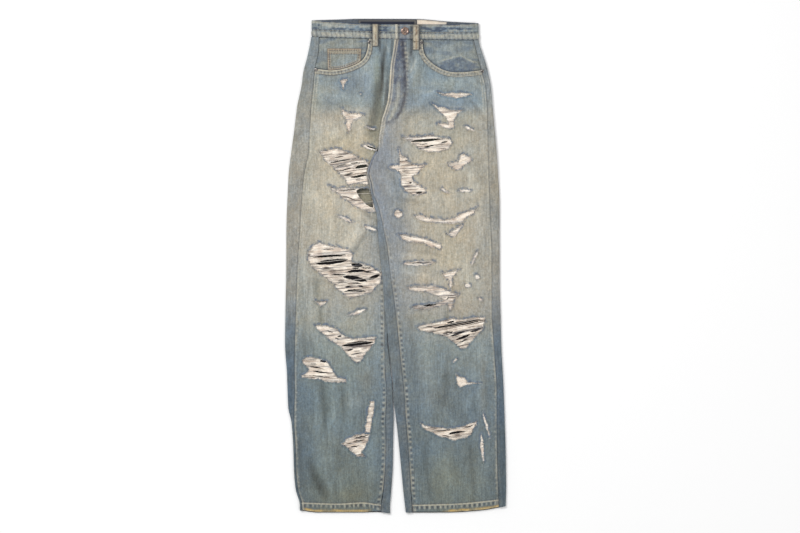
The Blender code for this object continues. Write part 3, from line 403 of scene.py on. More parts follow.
@dataclass(frozen=True)
class Layers:
    """Where each layer of the flat-laid jeans lies, from the same sizes as the solids."""

    def floor(self, y: Numbers) -> Array:
        """How far the seat is raised by the pockets and loops under it."""
        return FLUSH_LIFT * (1 - step((v_of(y) - SEAT_END_V) / SEAT_RAMP))

    def overlap(self, v: Numbers, start: float, full: float, fade: float, end: float) -> Array:
        """A hump down the leg that rises, stays and falls."""
        return step((v - start) / (full - start)) * (1 - step((v - fade) / (end - fade)))

    def back_lift(self, x: Numbers, y: Numbers) -> Array:
        """How far the right leg is raised by the left one."""
        amount = self.overlap(v_of(y), LIFT_START_V, LIFT_FULL_V, LIFT_FADE_V, LIFT_END_V)
        return LEG_STACK * amount * (1 - step((x - LEFT_FOLD.x_at(y) - 0.001) / LIFT_RAMP))

    def front_lift(self, x: Numbers, y: Numbers) -> Array:
        """The same for the right front, which also laps over the left front.

        Args:
            x: metres to the right.
            y: metres towards the waist.

        Returns:
            Metres of height.
        """
        v = v_of(y)
        amount = self.overlap(v, LIFT_START_V - 16, LIFT_FULL_V - 1, LIFT_FADE_V + 2, LIFT_END_V + 14)
        legs = LEG_STACK * amount * (1 - step((x - LEFT_FOLD.x_at(y) - 0.003) / (LIFT_RAMP + 0.012)))
        lap = LAP_STACK * (1 - step((x - LEFT_FRONT_END.x_at(y) - 0.003) / LIFT_RAMP))
        return np.maximum(legs, lap * (1 - step((v - 150) / 30)))

    def hip(self, y: Numbers) -> Array:
        """The extra height over the pocket facings."""
        return HIP_LIFT * (1 - step((v_of(y) - HIP_END_V) / HIP_RAMP))

    def cover(self, x: Numbers, y: Numbers) -> Array:
        """How free the left front is to rise.

        Args:
            x: metres to the right.
            y: metres towards the waist.

        Returns:
            0 under the right leg, 1 clear of it.
        """
        v = v_of(y)
        line = np.where(v < CROTCH_V, FLY_EDGE.x_at(y), RIGHT_FOLD.x_at(y))
        free = step((line - x - 0.004) / 0.030)
        return np.where(v < 400, free, step((LEFT_FOLD.x_at(y) - x) / 0.012))

    def puff(self, distance: Numbers) -> Array:
        """The roundness of a folded side."""
        return EDGE_PUFF * np.exp(-((distance / EDGE_PUFF_WIDTH) ** 2))

    def front_low(self, leg: Leg, x: Numbers, y: Numbers) -> Array:
        """Lower face of a front panel's solid.

        Args:
            leg: which leg.
            x: metres to the right.
            y: metres towards the waist.

        Returns:
            Metres of height.
        """
        x, y = np.asarray(x, float), np.asarray(y, float)
        v = v_of(y)
        folds = sum(f.height * f.shape(x, y) for f in BIG_FOLDS if f.leg is leg)
        base = self.floor(y) + WALL + LAYER_GAP + self.hip(y)
        if leg is L:
            loose = folds + self.puff(x - LEFT_EDGE.x_at(y))
            inner = self.puff(LEFT_FOLD.x_at(y) - x) * step((v - 404) / 14)
            return base + loose * self.cover(x, y) + inner
        inner = self.puff(x - RIGHT_FOLD.x_at(y)) * step((v - CROTCH_V) / 20)
        return base + self.front_lift(x, y) + folds + self.puff(RIGHT_EDGE.x_at(y) - x) + inner

    def back_low(self, leg: Leg, x: Numbers, y: Numbers) -> Array:
        """Lower face of a back panel's solid."""
        lift = self.back_lift(x, y) if leg is R else 0.0
        return self.floor(y) + lift

    def outer_seam(self, leg: Leg, y: Numbers) -> Array:
        """The side seam on the front.

        Args:
            leg: which leg.
            y: metres towards the waist.

        Returns:
            Metres to the right.
        """
        if leg is L:
            return np.maximum(LEFT_OUTSEAM.x_at(y), LEFT_EDGE.x_at(y) + LEAST_WRAP)
        return np.minimum(RIGHT_OUTSEAM.x_at(y), RIGHT_EDGE.x_at(y) - LEAST_WRAP)

    def inner_seam(self, leg: Leg, y: Numbers) -> Array:
        """The inside seam on the front.

        Args:
            leg: which leg.
            y: metres towards the waist.

        Returns:
            Metres to the right.
        """
        if leg is L:
            return np.minimum(LEFT_INSEAM.x_at(y), LEFT_FOLD.x_at(y) - LEAST_WRAP)
        return np.maximum(RIGHT_INSEAM.x_at(y), RIGHT_FOLD.x_at(y) + LEAST_WRAP)

    def band_right_low(self, x: Numbers) -> Array:
        """Lower face of the waistband's right front, raised where it laps."""
        lap = 1 - step((x - x_of(BAND_LEFT_END_U) - 0.002) / BAND_LAP_RAMP)
        return BAND_FRONT_Z + (BAND_WALL + SEAM_GAP) * lap


LAYERS = Layers()
WAVES = (
    (CellNoise(11, 0.046, 0.060, 0.35), 0.00055),
    (CellNoise(12, 0.021, 0.034, -0.25), 0.00032),
    (CellNoise(13, 0.008, 0.012, 0.15), 0.00014),
)


def crumple(leg: Leg, x: Numbers, y: Numbers) -> Array:
    """The small creases, waves and seam puckers that the solids leave out.

    Args:
        leg: which leg.
        x: metres to the right.
        y: metres towards the waist.

    Returns:
        Metres of height to add to the cloth.
    """
    free = LAYERS.cover(x, y) if leg is L else 1.0
    bends = sum(c.height * c.shape(x, y) for c in CREASES if c.leg is leg)
    waves = sum(height * noise.at(x, y) for noise, height in WAVES)
    return (bends + waves) * free + seam_pucker(leg, x, y) * 0.00045


def pulled(along: Array, pitch: float, seed: int) -> Array:
    """The even pull of a stitched seam along its length, a little uneven as sewing is.

    Args:
        along: metres along the seam.
        pitch: distance from one pull to the next.
        seed: for the unevenness.

    Returns:
        Values from -1 to 1.
    """
    drift = CellNoise(seed, 0.020, 0.020).at(along, along * 0)
    size = 0.75 + 0.35 * CellNoise(seed + 1, 0.009, 0.009).at(along, along * 0)
    return np.clip(np.sin(2 * np.pi * along / pitch + 2.2 * drift) * size, -1, 1)


def seam_pucker(leg: Leg, x: Numbers, y: Numbers) -> Array:
    """The roping beside the side and inside seams and the hem, from -1 to 1.

    Args:
        leg: which leg.
        x: metres to the right.
        y: metres towards the waist.

    Returns:
        Its strength and sign at each place.
    """
    to_outer = np.abs(x - LAYERS.outer_seam(leg, y))
    to_inner = np.abs(x - LAYERS.inner_seam(leg, y))
    hem = HEM_TOP[leg]
    below = hem.y_at(x) - y
    low = step((v_of(y) - 170) / 150)
    side = band_of(to_outer, 0.0045, 0.0030) * (0.22 + 0.22 * low)
    inside = band_of(to_inner, 0.0062, 0.0030) * (0.12 + 0.88 * low)
    bottom = band_of(below, 0.0058, 0.0042)
    down = pulled(y, 0.0120, 21 if leg is L else 25)
    return np.clip(down * np.maximum(side, inside) + pulled(x, 0.0102, 29) * bottom, -1, 1)


# Rips


@dataclass(frozen=True)
class Rip:
    """A worn place: its outline on the grid and how its white threads run."""

    name: str
    leg: Leg
    outline: tuple[Spot, ...]
    rise: float = 6.0
    slender: bool = False


@dataclass(frozen=True)
class Slit:
    """A narrow rip from one tip to the other."""

    name: str
    leg: Leg
    u0: float
    v0: float
    u1: float
    v1: float
    width: float

    def rip(self) -> Rip:
        """The same as a rip with an outline."""
        start, end = Vector((self.u0, self.v0)), Vector((self.u1, self.v1))
        along = end - start
        side = Vector((-along.y, along.x)).normalized() * self.width / 2
        shares = (0.0, 0.15, 0.4, 0.65, 0.88, 1.0)
        bulge = (0.0, 0.7, 1.0, 0.9, 0.6, 0.0)
        upper = [start + along * t + side * b for t, b in zip(shares, bulge)]
        lower = [start + along * t - side * b for t, b in zip(shares[-2:0:-1], bulge[-2:0:-1])]
        steep = abs(along.y) > abs(along.x)
        rise = 4.0 if steep else -math.degrees(math.atan2(along.y, along.x))
        return Rip(self.name, self.leg, tuple((p.x, p.y) for p in upper + lower), rise, slender=True)


@dataclass(frozen=True)
class Parting:
    """A place where the threads across a rip have parted, dark with the painted shade on the leg's inside."""

    leg: Leg
    u0: float
    v0: float
    u1: float
    v1: float
    height: float
    bow: float = 0.0

    def outline(self, count: int = 9) -> list[Spot]:
        """Its outline in metres, pointed at both ends.

        Args:
            count: points along each side.

        Returns:
            The outline's points.
        """
        start = np.array([x_of(self.u0), y_of(self.v0)])
        along = np.array([x_of(self.u1), y_of(self.v1)]) - start
        normal = np.array([-along[1], along[0]]) / np.hypot(*along)
        noise = CellNoise(int(self.u0 * 7 + self.v0), 0.006, 0.006)
        shares = np.linspace(0, 1, count)
        half = self.height * GRID / 2 * np.sin(np.pi * shares) ** 0.6
        bowed = self.bow * GRID * np.sin(np.pi * shares)
        middle = start + shares[:, None] * along + normal * bowed[:, None]
        ragged = 0.0007 * noise.at(middle[:, 0], middle[:, 1])
        upper = middle + normal * (half + ragged * (half > 0.0002))[:, None]
        lower = middle - normal * (half - ragged * (half > 0.0002))[:, None]
        return plain([*upper, *lower[-2:0:-1]])


RIPS: tuple[Rip, ...] = (
    Rip("rip_l01", L, (
        (339.6, 81.5), (344, 79.3), (348.5, 79.5), (346.5, 83.5), (344.6, 87), (343.7, 91), (342.6, 86.5),
        (341.5, 83.5),
    )),
    Rip("rip_l02", L, (
        (341.5, 108.8), (348.1, 112.5), (353.9, 113.2), (364.9, 114.7), (359.1, 118.7), (353.9, 120.9),
        (351, 124.6), (351, 130.5), (348.4, 133.4), (346.6, 129), (346.2, 121.7), (344, 116.5),
        (342.9, 113.6),
    )),
    Rip("rip_l05", L, (
        (319.5, 152.3), (329, 149.4), (336.3, 147.9), (343.7, 150.1), (354.7, 155.3), (364.9, 160.4),
        (369.3, 164.8), (366.4, 174.3), (368.6, 185.3), (358, 183.5), (348.8, 185.3), (347.3, 183.9),
        (343.7, 177.3), (337.8, 172.9), (333.4, 167.7), (328.3, 163.7), (323.1, 158.2),
    ), 9.0),
    Rip("rip_l06", L, (
        (328.3, 184.9), (336.3, 188.6), (345.1, 187.4), (351, 187.4), (358.3, 188.2), (368.3, 188.2),
        (370.1, 191.9), (373, 203.7), (376.4, 211.5), (369.3, 211.7), (360.5, 209.5), (354.7, 205.9),
        (347.3, 200.7), (340.7, 197.1), (337.1, 192.7), (331.9, 191.2),
    ), 3.0),
    Rip("rip_l09", L, (
        (312.3, 246.1), (319.6, 242.1), (326.9, 245), (335, 246.5), (346, 248.3), (352.2, 252),
        (352.6, 256.4), (351.5, 262.3), (360.7, 263), (370.2, 265.9), (377.5, 270.3), (381.2, 273.3),
        (381.2, 277.7), (380.5, 282.8), (375.3, 287.9), (372.4, 291.6), (364.3, 294.5), (357, 296.7),
        (350.4, 298.2), (344.5, 295.3), (341.6, 291.6), (337.2, 288.7), (334.3, 285), (326.9, 279.9),
        (321.1, 274), (315.2, 270.3), (310.8, 265.9), (307.5, 260.1), (307.5, 255.7), (309.3, 251.3),
    ), 5.0),
    Rip("rip_l10", L, (
        (314, 300.5), (318, 301.6), (323, 300.6), (327.7, 300.4), (325, 304.5), (321.1, 306.8), (317, 303.6),
    )),
    Rip("rip_l12", L, (
        (314.5, 325.7), (318.1, 324.2), (326.9, 325.7), (335.7, 328.6), (340.9, 333), (345.3, 336.7),
        (353.3, 338.1), (376.1, 336.7), (375.3, 340.3), (372.4, 345.5), (368.7, 349.9), (364.3, 355.7),
        (360.7, 361.6), (354.8, 363.4), (351.9, 359.4), (344.5, 351.3), (338.7, 345.5), (332.8, 341.8),
        (325.5, 335.2), (317.4, 330.1),
    ), 6.0),
    Rip("rip_l13", L, (
        (302, 360.1), (304.9, 357.9), (310.8, 356.5), (319.6, 359.4), (327.7, 361.6), (331.3, 366),
        (332.8, 371.1), (336.5, 377), (346.7, 379.2), (346.7, 382.1), (338.7, 382.9), (327.7, 381.4),
        (321.1, 379.9), (310.8, 378.5), (302, 377.7), (302, 374.8), (307.1, 371.1), (308.6, 368.2),
        (304.2, 363.8),
    ), -2.0),
    Rip("rip_l14", L, (
        (369.4, 400.8), (374.6, 400.6), (373.6, 411), (371.4, 422), (369.9, 432.2), (364.4, 432.6),
        (366.0, 421), (368.3, 410),
    ), 2.0),
    Rip("rip_l15", L, (
        (342.2, 443.9), (346.3, 438.1), (357.1, 434.3), (370.4, 433.6), (367.9, 441.4), (365.4, 447.2),
        (361.3, 451.4), (364.6, 456.3), (357.1, 456.7), (353, 452.2), (346.3, 447.2),
    ), 8.0),
    Rip("rip_r01", R, (
        (436.1, 92.7), (443, 93.4), (450, 93.1), (456, 92.6), (462.5, 92), (472.4, 94.5), (456.6, 98.2),
        (446.3, 96.7), (439, 94.5),
    ), 1.0),
    Rip("rip_r02", R, (
        (430.9, 103.3), (439, 106.6), (450, 109.6), (457.3, 110.3), (463.9, 109.6), (457.3, 114.3),
        (453.7, 121.7), (454.8, 128.3), (447.8, 129), (441.9, 127.5), (436.4, 123.1), (447.8, 123.9),
        (446.3, 118.7), (441.9, 114.3), (436.1, 107.7),
    ), 4.0),
    Rip("rip_r04", R, (
        (402.3, 137.4), (417, 136.7), (431.7, 135.2), (441.9, 137.8), (449.3, 138.9), (452.9, 143.7),
        (447.8, 149.5), (439, 152.5), (428, 152.1), (420.7, 150.3), (416.3, 145.9), (409.7, 142.2),
        (406, 139.6),
    ), 4.0),
    Rip("rip_r05", R, (
        (398.7, 147.6), (400.9, 153.1), (405.3, 156.7), (408.2, 161.1), (412.6, 164.8), (419.2, 164.8),
        (425.8, 164.4), (422.1, 169.2), (417, 173.6), (411.9, 176.5), (413.3, 181.7), (419.2, 184.6),
        (426.5, 189.7), (424.3, 194.1), (417, 195.6), (409.7, 193.4), (404.5, 190.5), (402.3, 185.3),
        (400.9, 178), (399.4, 172.1), (393, 169.6), (388.7, 166.6), (393, 165), (399.4, 164.8),
        (399.4, 158.2),
    ), 4.0),
    Rip("rip_r06", R, (
        (446.3, 164.1), (450.7, 163.3), (458.1, 161.9), (460.3, 156), (463.2, 153.8), (470.5, 156.7),
        (472, 160.4), (466.9, 164.1), (461, 167), (459.5, 169.9), (455.9, 171), (451.5, 167.7),
    ), 20.0),
    Rip("rip_r09", R, (
        (413.3, 215), (420.7, 215.4), (428, 217.2), (442.7, 219.4), (453.7, 217.6), (461, 213.9),
        (468.3, 210.3), (475.7, 208.8), (478.6, 205.9), (474.2, 213.2), (466.9, 216.9), (463.9, 222),
        (453.7, 223.8), (442.7, 223.5), (426.5, 222), (418.5, 220.5),
    ), 2.0),
    Rip("rip_r10", R, (
        (458.8, 225.2), (463, 224.2), (461.7, 227.1), (458.2, 232.9), (456, 237.3), (452.3, 236.6),
        (445.7, 233.7), (452.3, 231.5),
    ), 10.0),
    Rip("rip_r11", R, (
        (394, 211), (398, 209.2), (402, 212), (402.6, 216), (398.5, 218), (394.6, 216),
    )),
    Rip("rip_r12", R, (
        (397.3, 234.4), (406.1, 234.4), (415.7, 236.6), (423.7, 238.1), (431.1, 241), (440.6, 243.9),
        (441.3, 247.6), (439.9, 249.8), (435.5, 247.6), (431.1, 246.9), (424.5, 243.9), (417.9, 243.2),
        (408.3, 241.7), (401.7, 238.8),
    ), -12.0),
    Rip("rip_r14", R, (
        (442.1, 273.3), (450.1, 271.8), (461.1, 269.6), (456, 273.3), (452.0, 276.9), (451.6, 284),
        (451, 290), (449.4, 285), (448.7, 279.9), (445, 276.9),
    ), 6.0),
    Rip("rip_r15", R, (
        (407.6, 286.5), (419.3, 285.7), (431.1, 285), (439.9, 287.2), (447.9, 289.9), (460.4, 293.8),
        (456, 296), (454.5, 299.7), (450.1, 311.4), (447.2, 304.1), (436.9, 307), (426.7, 309.2),
        (416.4, 309.9), (410.5, 306.3), (422.3, 304.8), (435.5, 303.3), (444.3, 299.7), (441.3, 298.2),
        (434, 294.5), (423, 291.6), (409.1, 290.1),
    ), 2.0),
    Rip("rip_r20", R, (
        (416.4, 327.1), (423, 324.9), (431.1, 323.5), (441.3, 320.5), (452.3, 318.3), (463.3, 319.1),
        (474.3, 317.6), (486.1, 316.9), (484.6, 322.7), (481.7, 329.3), (477.3, 334.5), (472.1, 341.1),
        (467, 346.9), (461.9, 349.1), (456, 345.5), (452.3, 341.1), (447.2, 337.4), (437.7, 334.5),
        (426.7, 331.5), (419.3, 329.3),
    ), 11.0),
    Rip("rip_r22", R, (
        (455.3, 374.1), (458.9, 376.3), (464.1, 377.7), (469.2, 382.1), (480.9, 383.2), (467.7, 384.3),
        (464.1, 385.8), (459.7, 387.3), (456.7, 382.9),
    ), -4.0),
    Rip("rip_r23", R, (
        (419.8, 422.3), (425.7, 425.7), (433.1, 426.5), (448, 428.1), (458.8, 427.3), (467.9, 424),
        (477.9, 420.7), (475.4, 425.7), (472.1, 432.3), (467.1, 437.7), (454.7, 440.6), (446.4, 438.1),
        (436.4, 434.8), (425.7, 429.8), (421.5, 426.5),
    ), 5.0),
) + tuple(
    slit.rip()
    for slit in (
        Slit("slit_l00", L, 359.3, 94.0, 361.7, 95.0, 1.8),
        Slit("slit_l03", L, 364.9, 127.2, 376.7, 129.9, 1.8),
        Slit("slit_l04", L, 362.0, 144.9, 377.6, 150.0, 4.2),
        Slit("slit_l07", L, 337.8, 215.4, 353.9, 222.7, 2.6),
        Slit("slit_l08", L, 364.2, 226.2, 377.0, 230.6, 3.2),
        Slit("slit_l11", L, 348.2, 315.2, 366.5, 309.5, 3.2),
        Slit("slit_r03", R, 464.7, 126.1, 474.4, 131.4, 2.4),
        Slit("slit_r07", R, 440.5, 188.3, 448.5, 193.4, 2.2),
        Slit("slit_r08", R, 458.1, 190.6, 471.6, 191.2, 2.8),
        Slit("slit_r13", R, 402.5, 263.9, 435.5, 262.6, 4.4),
        Slit("slit_r16", R, 477.4, 250.2, 470.7, 265.9, 2.4),
        Slit("slit_r17", R, 474.6, 276.4, 479.2, 277.6, 4.6),
        Slit("slit_r18", R, 465.0, 285.0, 471.0, 286.4, 3.4),
        Slit("slit_r19", R, 478.4, 297.9, 482.6, 301.0, 3.2),
        Slit("slit_r21", R, 453.0, 362.5, 456.9, 358.5, 2.2),
        Slit("slit_r24", R, 482.9, 411.6, 489.6, 438.1, 2.2),
        Slit("slit_r25", R, 481.3, 433.9, 483.2, 463.0, 3.0),
    )
)

PARTINGS: tuple[Parting, ...] = by_leg(Parting, (
    (354.7, 168.1, 368.8, 166.1, 3.4, 0.8), (350.7, 177.5, 367.4, 175.0, 2.4),
    (328.3, 163.3, 351.0, 158.9, 1.3), (336.3, 167.0, 347.1, 163.6, 1.4), (343.9, 175.6, 353.2, 172.8, 1.7),
    (350.0, 163.6, 361.0, 162.6, 1.3), (339.0, 171.0, 352.0, 168.2, 1.1), (333.0, 158.4, 344.0, 156.4, 0.8),
    (366.0, 145.6, 377.0, 149.4, 2.0), (338.0, 191.2, 356.0, 189.4, 1.0), (341.0, 195.4, 356.6, 200.6, 0.8),
    (312.3, 257.6, 347.0, 254.9, 2.2, 0.3), (315.5, 263.9, 348.6, 259.4, 5.2),
    (351.1, 264.4, 362.9, 265.4, 4.0), (346.7, 272.0, 366.3, 270.6, 3.0, 0.4),
    (331.3, 274.4, 346.0, 274.9, 1.8), (342.3, 276.6, 367.6, 281.4, 4.6, 0.8),
    (367.7, 279.4, 380.2, 274.4, 3.6), (345.3, 287.2, 350.4, 286.5, 1.8), (357.7, 286.1, 363.6, 286.5, 1.9),
    (343.1, 291.8, 366.5, 291.4, 2.6, 1.2), (352.0, 268.4, 360.0, 268.0, 1.4),
    (363.4, 271.4, 374.0, 272.6, 1.8), (322.0, 267.2, 334.0, 268.0, 1.0), (351.0, 283.0, 362.0, 283.6, 1.0),
    (320.0, 249.5, 336.0, 249.0, 0.7), (316.0, 268.6, 330.0, 268.8, 0.8), (360.0, 267.6, 372.0, 268.4, 1.2),
    (335.0, 282.4, 350.0, 282.0, 0.7), (340.9, 346.2, 374.1, 342.2, 4.2, 0.6),
    (337.4, 336.6, 342.0, 336.2, 1.6), (334.3, 337.8, 340.0, 339.4, 1.2), (347.5, 350.6, 353.6, 349.1, 1.3),
    (350.0, 355.0, 362.0, 352.4, 0.8), (326.0, 330.4, 333.0, 332.6, 0.9), (319.6, 360.9, 326.4, 361.7, 2.2),
    (312.3, 371.1, 327.9, 372.8, 1.7), (309.3, 366.2, 325.0, 368.8, 1.4), (352.1, 441.8, 365.4, 439.7, 1.4),
    (354.1, 438.1, 368.4, 435.2, 1.3), (350.5, 446.4, 358.0, 446.8, 1.2), (311.0, 375.4, 330.0, 377.4, 0.9),
    (346.5, 443.6, 352.0, 443.0, 1.0),
), (
    (409.7, 141.5, 441.9, 139.3, 2.8, 0.2), (441.0, 143.0, 447.3, 141.5, 1.5),
    (423.6, 147.3, 434.1, 145.5, 1.5), (418.0, 144.9, 428.0, 143.9, 1.0), (416.0, 193.4, 422.4, 191.6, 2.5),
    (408.7, 183.3, 411.9, 182.7, 1.6), (404.6, 160.0, 408.0, 160.6, 0.9), (406.0, 263.2, 432.0, 262.4, 1.0),
    (422.3, 306.0, 436.9, 304.8, 2.0), (446.0, 300.2, 450.4, 296.2, 1.2),
    (434.0, 328.4, 485.0, 319.6, 4.0, 0.5), (446.5, 322.9, 454.8, 320.9, 1.8),
    (442.1, 333.4, 453.3, 331.5, 2.2), (450.1, 336.4, 465.3, 331.2, 2.2), (455.3, 340.3, 470.5, 334.0, 2.4),
    (469.9, 331.6, 481.7, 328.6, 2.4), (458.0, 342.8, 468.0, 339.0, 1.2),
    (448.0, 433.9, 465.6, 431.5, 2.4, 0.4), (434.0, 431.0, 451.0, 429.7, 1.3),
    (426.0, 326.6, 438.0, 327.4, 1.0), (463.0, 428.6, 474.0, 424.6, 1.0), (440.0, 434.6, 450.0, 436.4, 0.8),
))
OPEN_HOLE: tuple[Spot, ...] = (
    (356.4, 191.0), (359.6, 188.6), (365.0, 187.4), (369.2, 187.9), (371.2, 195), (373.3, 207.9),
    (370.2, 207.2), (365.8, 204.2), (361.4, 199.6), (358.2, 195.4),
)


# Outlines, panels and walls


def metres(outline: Iterable[Spot]) -> list[Spot]:
    """Grid points as metres."""
    return [(x_of(u), y_of(v)) for u, v in outline]


def plain(points: Iterable[Sequence[float]]) -> list[Spot]:
    """Rows of an array as plain tuples."""
    return [tuple(map(float, point)) for point in points]


def unit(ways: Array) -> Array:
    """Each row of a table of directions, at length one."""
    return ways / np.maximum(np.hypot(*ways.T), 1e-9)[:, None]


def resampled(loop: Sequence[Spot], spacing: float, rough: float, seed: int) -> list[Spot]:
    """A closed outline with even, slightly ragged points.

    Args:
        loop: the outline in metres.
        spacing: distance between points.
        rough: how far points stray sideways.
        seed: for the straying.

    Returns:
        The new outline.
    """
    points = np.array(loop)
    ends = np.roll(points, -1, axis=0)
    sides = np.hypot(*(ends - points).T)
    along = np.concatenate([[0.0], np.cumsum(sides)])
    closed = np.vstack([points, points[:1]])
    count = max(8, int(along[-1] / spacing))
    spots = np.linspace(0, along[-1], count, endpoint=False)
    xs, ys = np.interp(spots, along, closed[:, 0]), np.interp(spots, along, closed[:, 1])
    tangent = unit(np.stack([np.roll(xs, -1) - np.roll(xs, 1), np.roll(ys, -1) - np.roll(ys, 1)], axis=1))
    stray = (np.random.default_rng(seed).random(count) * 2 - 1) * rough
    xs, ys = xs - tangent[:, 1] * stray, ys + tangent[:, 0] * stray
    return plain(zip(xs, ys))


def signed_area(loop: Sequence[Spot]) -> float:
    """Area of an outline, above zero where it turns to the left.

    Args:
        loop: the outline in metres.

    Returns:
        Square metres.
    """
    points = np.array(loop)
    after = np.roll(points, -1, axis=0)
    return float(0.5 * np.sum(points[:, 0] * after[:, 1] - after[:, 0] * points[:, 1]))


def grown(loop: Sequence[Spot], distance: float) -> list[Spot]:
    """The outline moved outwards.

    Args:
        loop: the outline in metres.
        distance: how far, below zero for inwards.

    Returns:
        The moved outline.
    """
    points = np.array(loop)
    tangent = unit(np.roll(points, -1, axis=0) - np.roll(points, 1, axis=0))
    way = distance if signed_area(loop) > 0 else -distance
    return plain(points + np.stack([tangent[:, 1], -tangent[:, 0]], axis=1) * way)


def inside_loop(points: Array, loop: Sequence[Spot]) -> Array:
    """Whether each point lies inside a closed outline.

    Args:
        points: one row for each point.
        loop: the outline.

    Returns:
        One truth value for each.
    """
    inside = np.zeros(len(points), bool)
    low, high = np.min(loop, axis=0), np.max(loop, axis=0)
    near = np.nonzero(((points >= low) & (points <= high)).all(axis=1))[0]
    x, y = points[near, 0], points[near, 1]
    hit = np.zeros(len(near), bool)
    for (ax, ay), (bx, by) in zip(loop, list(loop[1:]) + [loop[0]]):
        if ay == by:
            continue
        crosses = (ay > y) != (by > y)
        hit ^= crosses & (x < (bx - ax) * (y - ay) / (by - ay) + ax)
    inside[near] = hit
    return inside


def line_distance(points: Array, line: Sequence[Spot], reach: float) -> tuple[Array, Array]:
    """Distance of each point to an open line, no more than reach, and how far along it that is.

    Args:
        points: one row for each point.
        line: the line's points.
        reach: the largest distance that matters.

    Returns:
        Metres to the line and metres along it, for each point.
    """
    found, along = np.full(len(points), reach), np.zeros(len(points))
    low, high = np.min(line, axis=0) - reach, np.max(line, axis=0) + reach
    near = np.nonzero(((points >= low) & (points <= high)).all(axis=1))[0]
    starts = np.array(line)[:-1]
    sides = np.diff(np.array(line), axis=0)
    lengths = np.maximum((sides**2).sum(axis=1), 1e-14)
    passed = np.concatenate([[0.0], np.cumsum(np.sqrt(lengths))])[:-1]
    for part in np.array_split(near, max(1, len(near) // 4000)):
        offsets = points[part][:, None, :] - starts[None]
        share = np.clip((offsets * sides).sum(axis=2) / lengths, 0, 1)
        gaps = np.sqrt(((offsets - share[..., None] * sides) ** 2).sum(axis=2))
        best = gaps.argmin(axis=1) if len(part) else np.zeros(0, int)
        rows = np.arange(len(part))
        found[part] = np.minimum(gaps[rows, best], reach)
        along[part] = passed[best] + share[rows, best] * np.sqrt(lengths[best])
    return found, along


def loop_distance(points: Array, loop: Sequence[Spot], reach: float) -> Array:
    """Distance of each point to a closed outline, no more than reach."""
    return line_distance(points, [*loop, loop[0]], reach)[0]


@dataclass
class Wall:
    """A closed cloth wall: outer and inner points, faces between them and a tint for each side."""

    name: str
    outer: Array
    inner: Array
    faces: list[list[int]]
    outer_tint: Array
    inner_tint: Array

    def flat_area(self) -> float:
        """Area of the cloth, as the middle of its two sides.

        Returns:
            Square metres.
        """
        middle = (self.outer + self.inner) / 2
        total = 0.0
        for size in (3, 4):
            group = np.array([face for face in self.faces if len(face) == size])
            if not len(group):
                continue
            a, b, c = (middle[group[:, k]] for k in range(3))
            total += 0.5 * np.linalg.norm(np.cross(b - a, c - a), axis=1).sum()
            if size == 4:
                d = middle[group[:, 3]]
                total += 0.5 * np.linalg.norm(np.cross(c - a, d - a), axis=1).sum()
        return float(total)

    def build(self) -> bpy.types.Object:
        """Makes the object, smooth but for its cut edges.

        Returns:
            The new object.
        """
        count = len(self.outer)
        every = [list(face) for face in self.faces]
        every += [[index + count for index in reversed(face)] for face in self.faces]
        directed = {(a, b) for face in self.faces for a, b in zip(face, face[1:] + face[:1])}
        every += [[b, a, a + count, b + count] for a, b in sorted(directed) if (b, a) not in directed]
        tints = np.vstack([self.outer_tint, self.inner_tint])
        made = cloth_object(self.name, np.vstack([self.outer, self.inner]), every, tints)
        made.data.set_sharp_from_angle(angle=SHARP_ANGLE)
        return made


def cloth_object(
    name: str, points: Iterable[Sequence[float]], faces: list[list[int]], tints: Array
) -> bpy.types.Object:
    """A smooth object with its tints in the attribute that the finishes read.

    Args:
        name: the piece's name.
        points: its points.
        faces: its faces.
        tints: one linear colour for each point.

    Returns:
        The new object.
    """
    mesh = bpy.data.meshes.new(name)
    mesh.from_pydata(plain(points), [], faces)
    add_tint(mesh, tints)
    mesh.shade_smooth()
    made = bpy.data.objects.new(name, mesh)
    bpy.context.collection.objects.link(made)
    return made


def add_tint(mesh: bpy.types.Mesh, tints: Array) -> None:
    """Stores a linear colour at each point.

    Args:
        mesh: the mesh.
        tints: one row of three for each point.
    """
    layer = mesh.color_attributes.new("tint", "FLOAT_COLOR", "POINT")
    rows = np.ones((len(mesh.vertices), 4), np.float32)
    rows[:, :3] = np.clip(tints, 0.0, 1.0)
    layer.data.foreach_set("color", rows.ravel())


